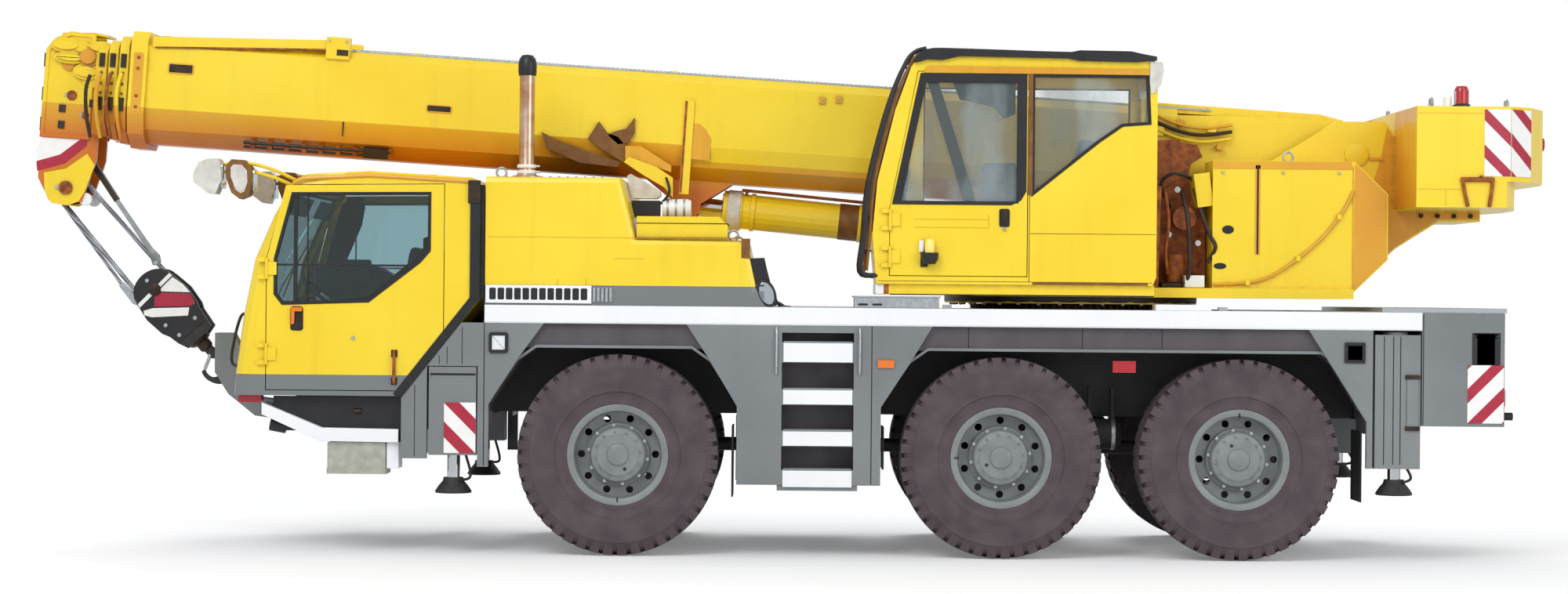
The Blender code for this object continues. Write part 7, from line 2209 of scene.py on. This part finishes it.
class CRANE_OT_running_gear(bpy.types.Operator):
    """Builds suspension, drive shaft and air tanks"""
    bl_idname = "crane.running_gear"
    bl_label = "Running gear"

    def execute(self, context):
        make_running_gear()
        return {"FINISHED"}


class CRANE_OT_carrier_trim(bpy.types.Operator):
    """Builds side trim, tail, bumper and outrigger fittings"""
    bl_idname = "crane.carrier_trim"
    bl_label = "Carrier trim"

    def execute(self, context):
        for make in (make_side_trim, make_tail, make_bumper, make_outriggers):
            make()
        return {"FINISHED"}


class CRANE_OT_drivers_cab(bpy.types.Operator):
    """Builds the driver's cab: glass, doors' fittings, mirrors and interior"""
    bl_idname = "crane.drivers_cab"
    bl_label = "Driver's cab"

    def execute(self, context):
        for make in (make_cab_body, make_cab_doors, make_cab_interior):
            make()
        return {"FINISHED"}


class CRANE_OT_hood(bpy.types.Operator):
    """Builds the grilles, exhaust pipe and fittings of the engine hood"""
    bl_idname = "crane.hood"
    bl_label = "Engine hood"

    def execute(self, context):
        make_hood(context.scene.crane_fittings)
        return {"FINISHED"}


class CRANE_OT_platform(bpy.types.Operator):
    """Builds the slewing ring, winch, covers and counterweight trim"""
    bl_idname = "crane.platform"
    bl_label = "Slewing platform"

    def execute(self, context):
        make_platform(context.scene.crane_fittings)
        make_winch(context.scene.crane_fittings)
        make_covers()
        make_counterweight()
        return {"FINISHED"}


class CRANE_OT_operator_cab(bpy.types.Operator):
    """Builds the operator's cab: glass, rails, lamps, door fittings and interior"""
    bl_idname = "crane.operator_cab"
    bl_label = "Operator's cab"

    def execute(self, context):
        for make in (make_operator_cab, make_operator_interior):
            make()
        return {"FINISHED"}


class CRANE_OT_boom(bpy.types.Operator):
    """Builds the fittings of the boom, its head and its luffing cylinder"""
    bl_idname = "crane.boom"
    bl_label = "Boom"

    def execute(self, context):
        for make in (make_boom, make_boom_sections, make_boom_head, make_luffing):
            make()
        return {"FINISHED"}


class CRANE_OT_hook(bpy.types.Operator):
    """Builds the hook block, its ropes and its tie strap"""
    bl_idname = "crane.hook"
    bl_label = "Hook block"

    def execute(self, context):
        make_hook()
        return {"FINISHED"}


class CRANE_PT_panel(bpy.types.Panel):
    bl_idname = "CRANE_PT_panel"
    bl_label = "Mobile Crane"
    bl_space_type = "VIEW_3D"
    bl_region_type = "UI"
    bl_category = "Crane"

    def draw(self, context):
        for group in GROUPS:
            settings = getattr(context.scene, group)
            box = self.layout.box()
            for key in settings.bl_rna.properties.keys():
                if key not in ("rna_type", "name"):
                    box.prop(settings, key)
        for operator in OPERATORS:
            self.layout.operator(operator.bl_idname)


OPERATORS = (CRANE_OT_paint, CRANE_OT_stage, CRANE_OT_wheels, CRANE_OT_running_gear, CRANE_OT_carrier_trim,
             CRANE_OT_drivers_cab, CRANE_OT_hood, CRANE_OT_platform, CRANE_OT_operator_cab, CRANE_OT_boom,
             CRANE_OT_hook)
GROUPS = {"crane_paint": CranePaint, "crane_wheels": CraneWheels, "crane_fittings": CraneFittings,
          "crane_stage": CraneStage}


def register():
    for group in GROUPS.values():
        bpy.utils.register_class(group)
    for operator in OPERATORS:
        bpy.utils.register_class(operator)
    bpy.utils.register_class(CRANE_PT_panel)
    for name, group in GROUPS.items():
        setattr(bpy.types.Scene, name, PointerProperty(type=group))


def unregister():
    for name in GROUPS:
        delattr(bpy.types.Scene, name)
    bpy.utils.unregister_class(CRANE_PT_panel)
    for cls in (*OPERATORS, *GROUPS.values()):
        bpy.utils.unregister_class(cls)


def main():
    register()
    bpy.ops.crane.paint()
    bpy.ops.crane.stage()
    bpy.ops.crane.wheels()
    bpy.ops.crane.running_gear()
    bpy.ops.crane.carrier_trim()
    bpy.ops.crane.drivers_cab()
    bpy.ops.crane.hood()
    bpy.ops.crane.platform()
    bpy.ops.crane.operator_cab()
    bpy.ops.crane.boom()
    bpy.ops.crane.hook()


if __name__ == "__main__":
    main()
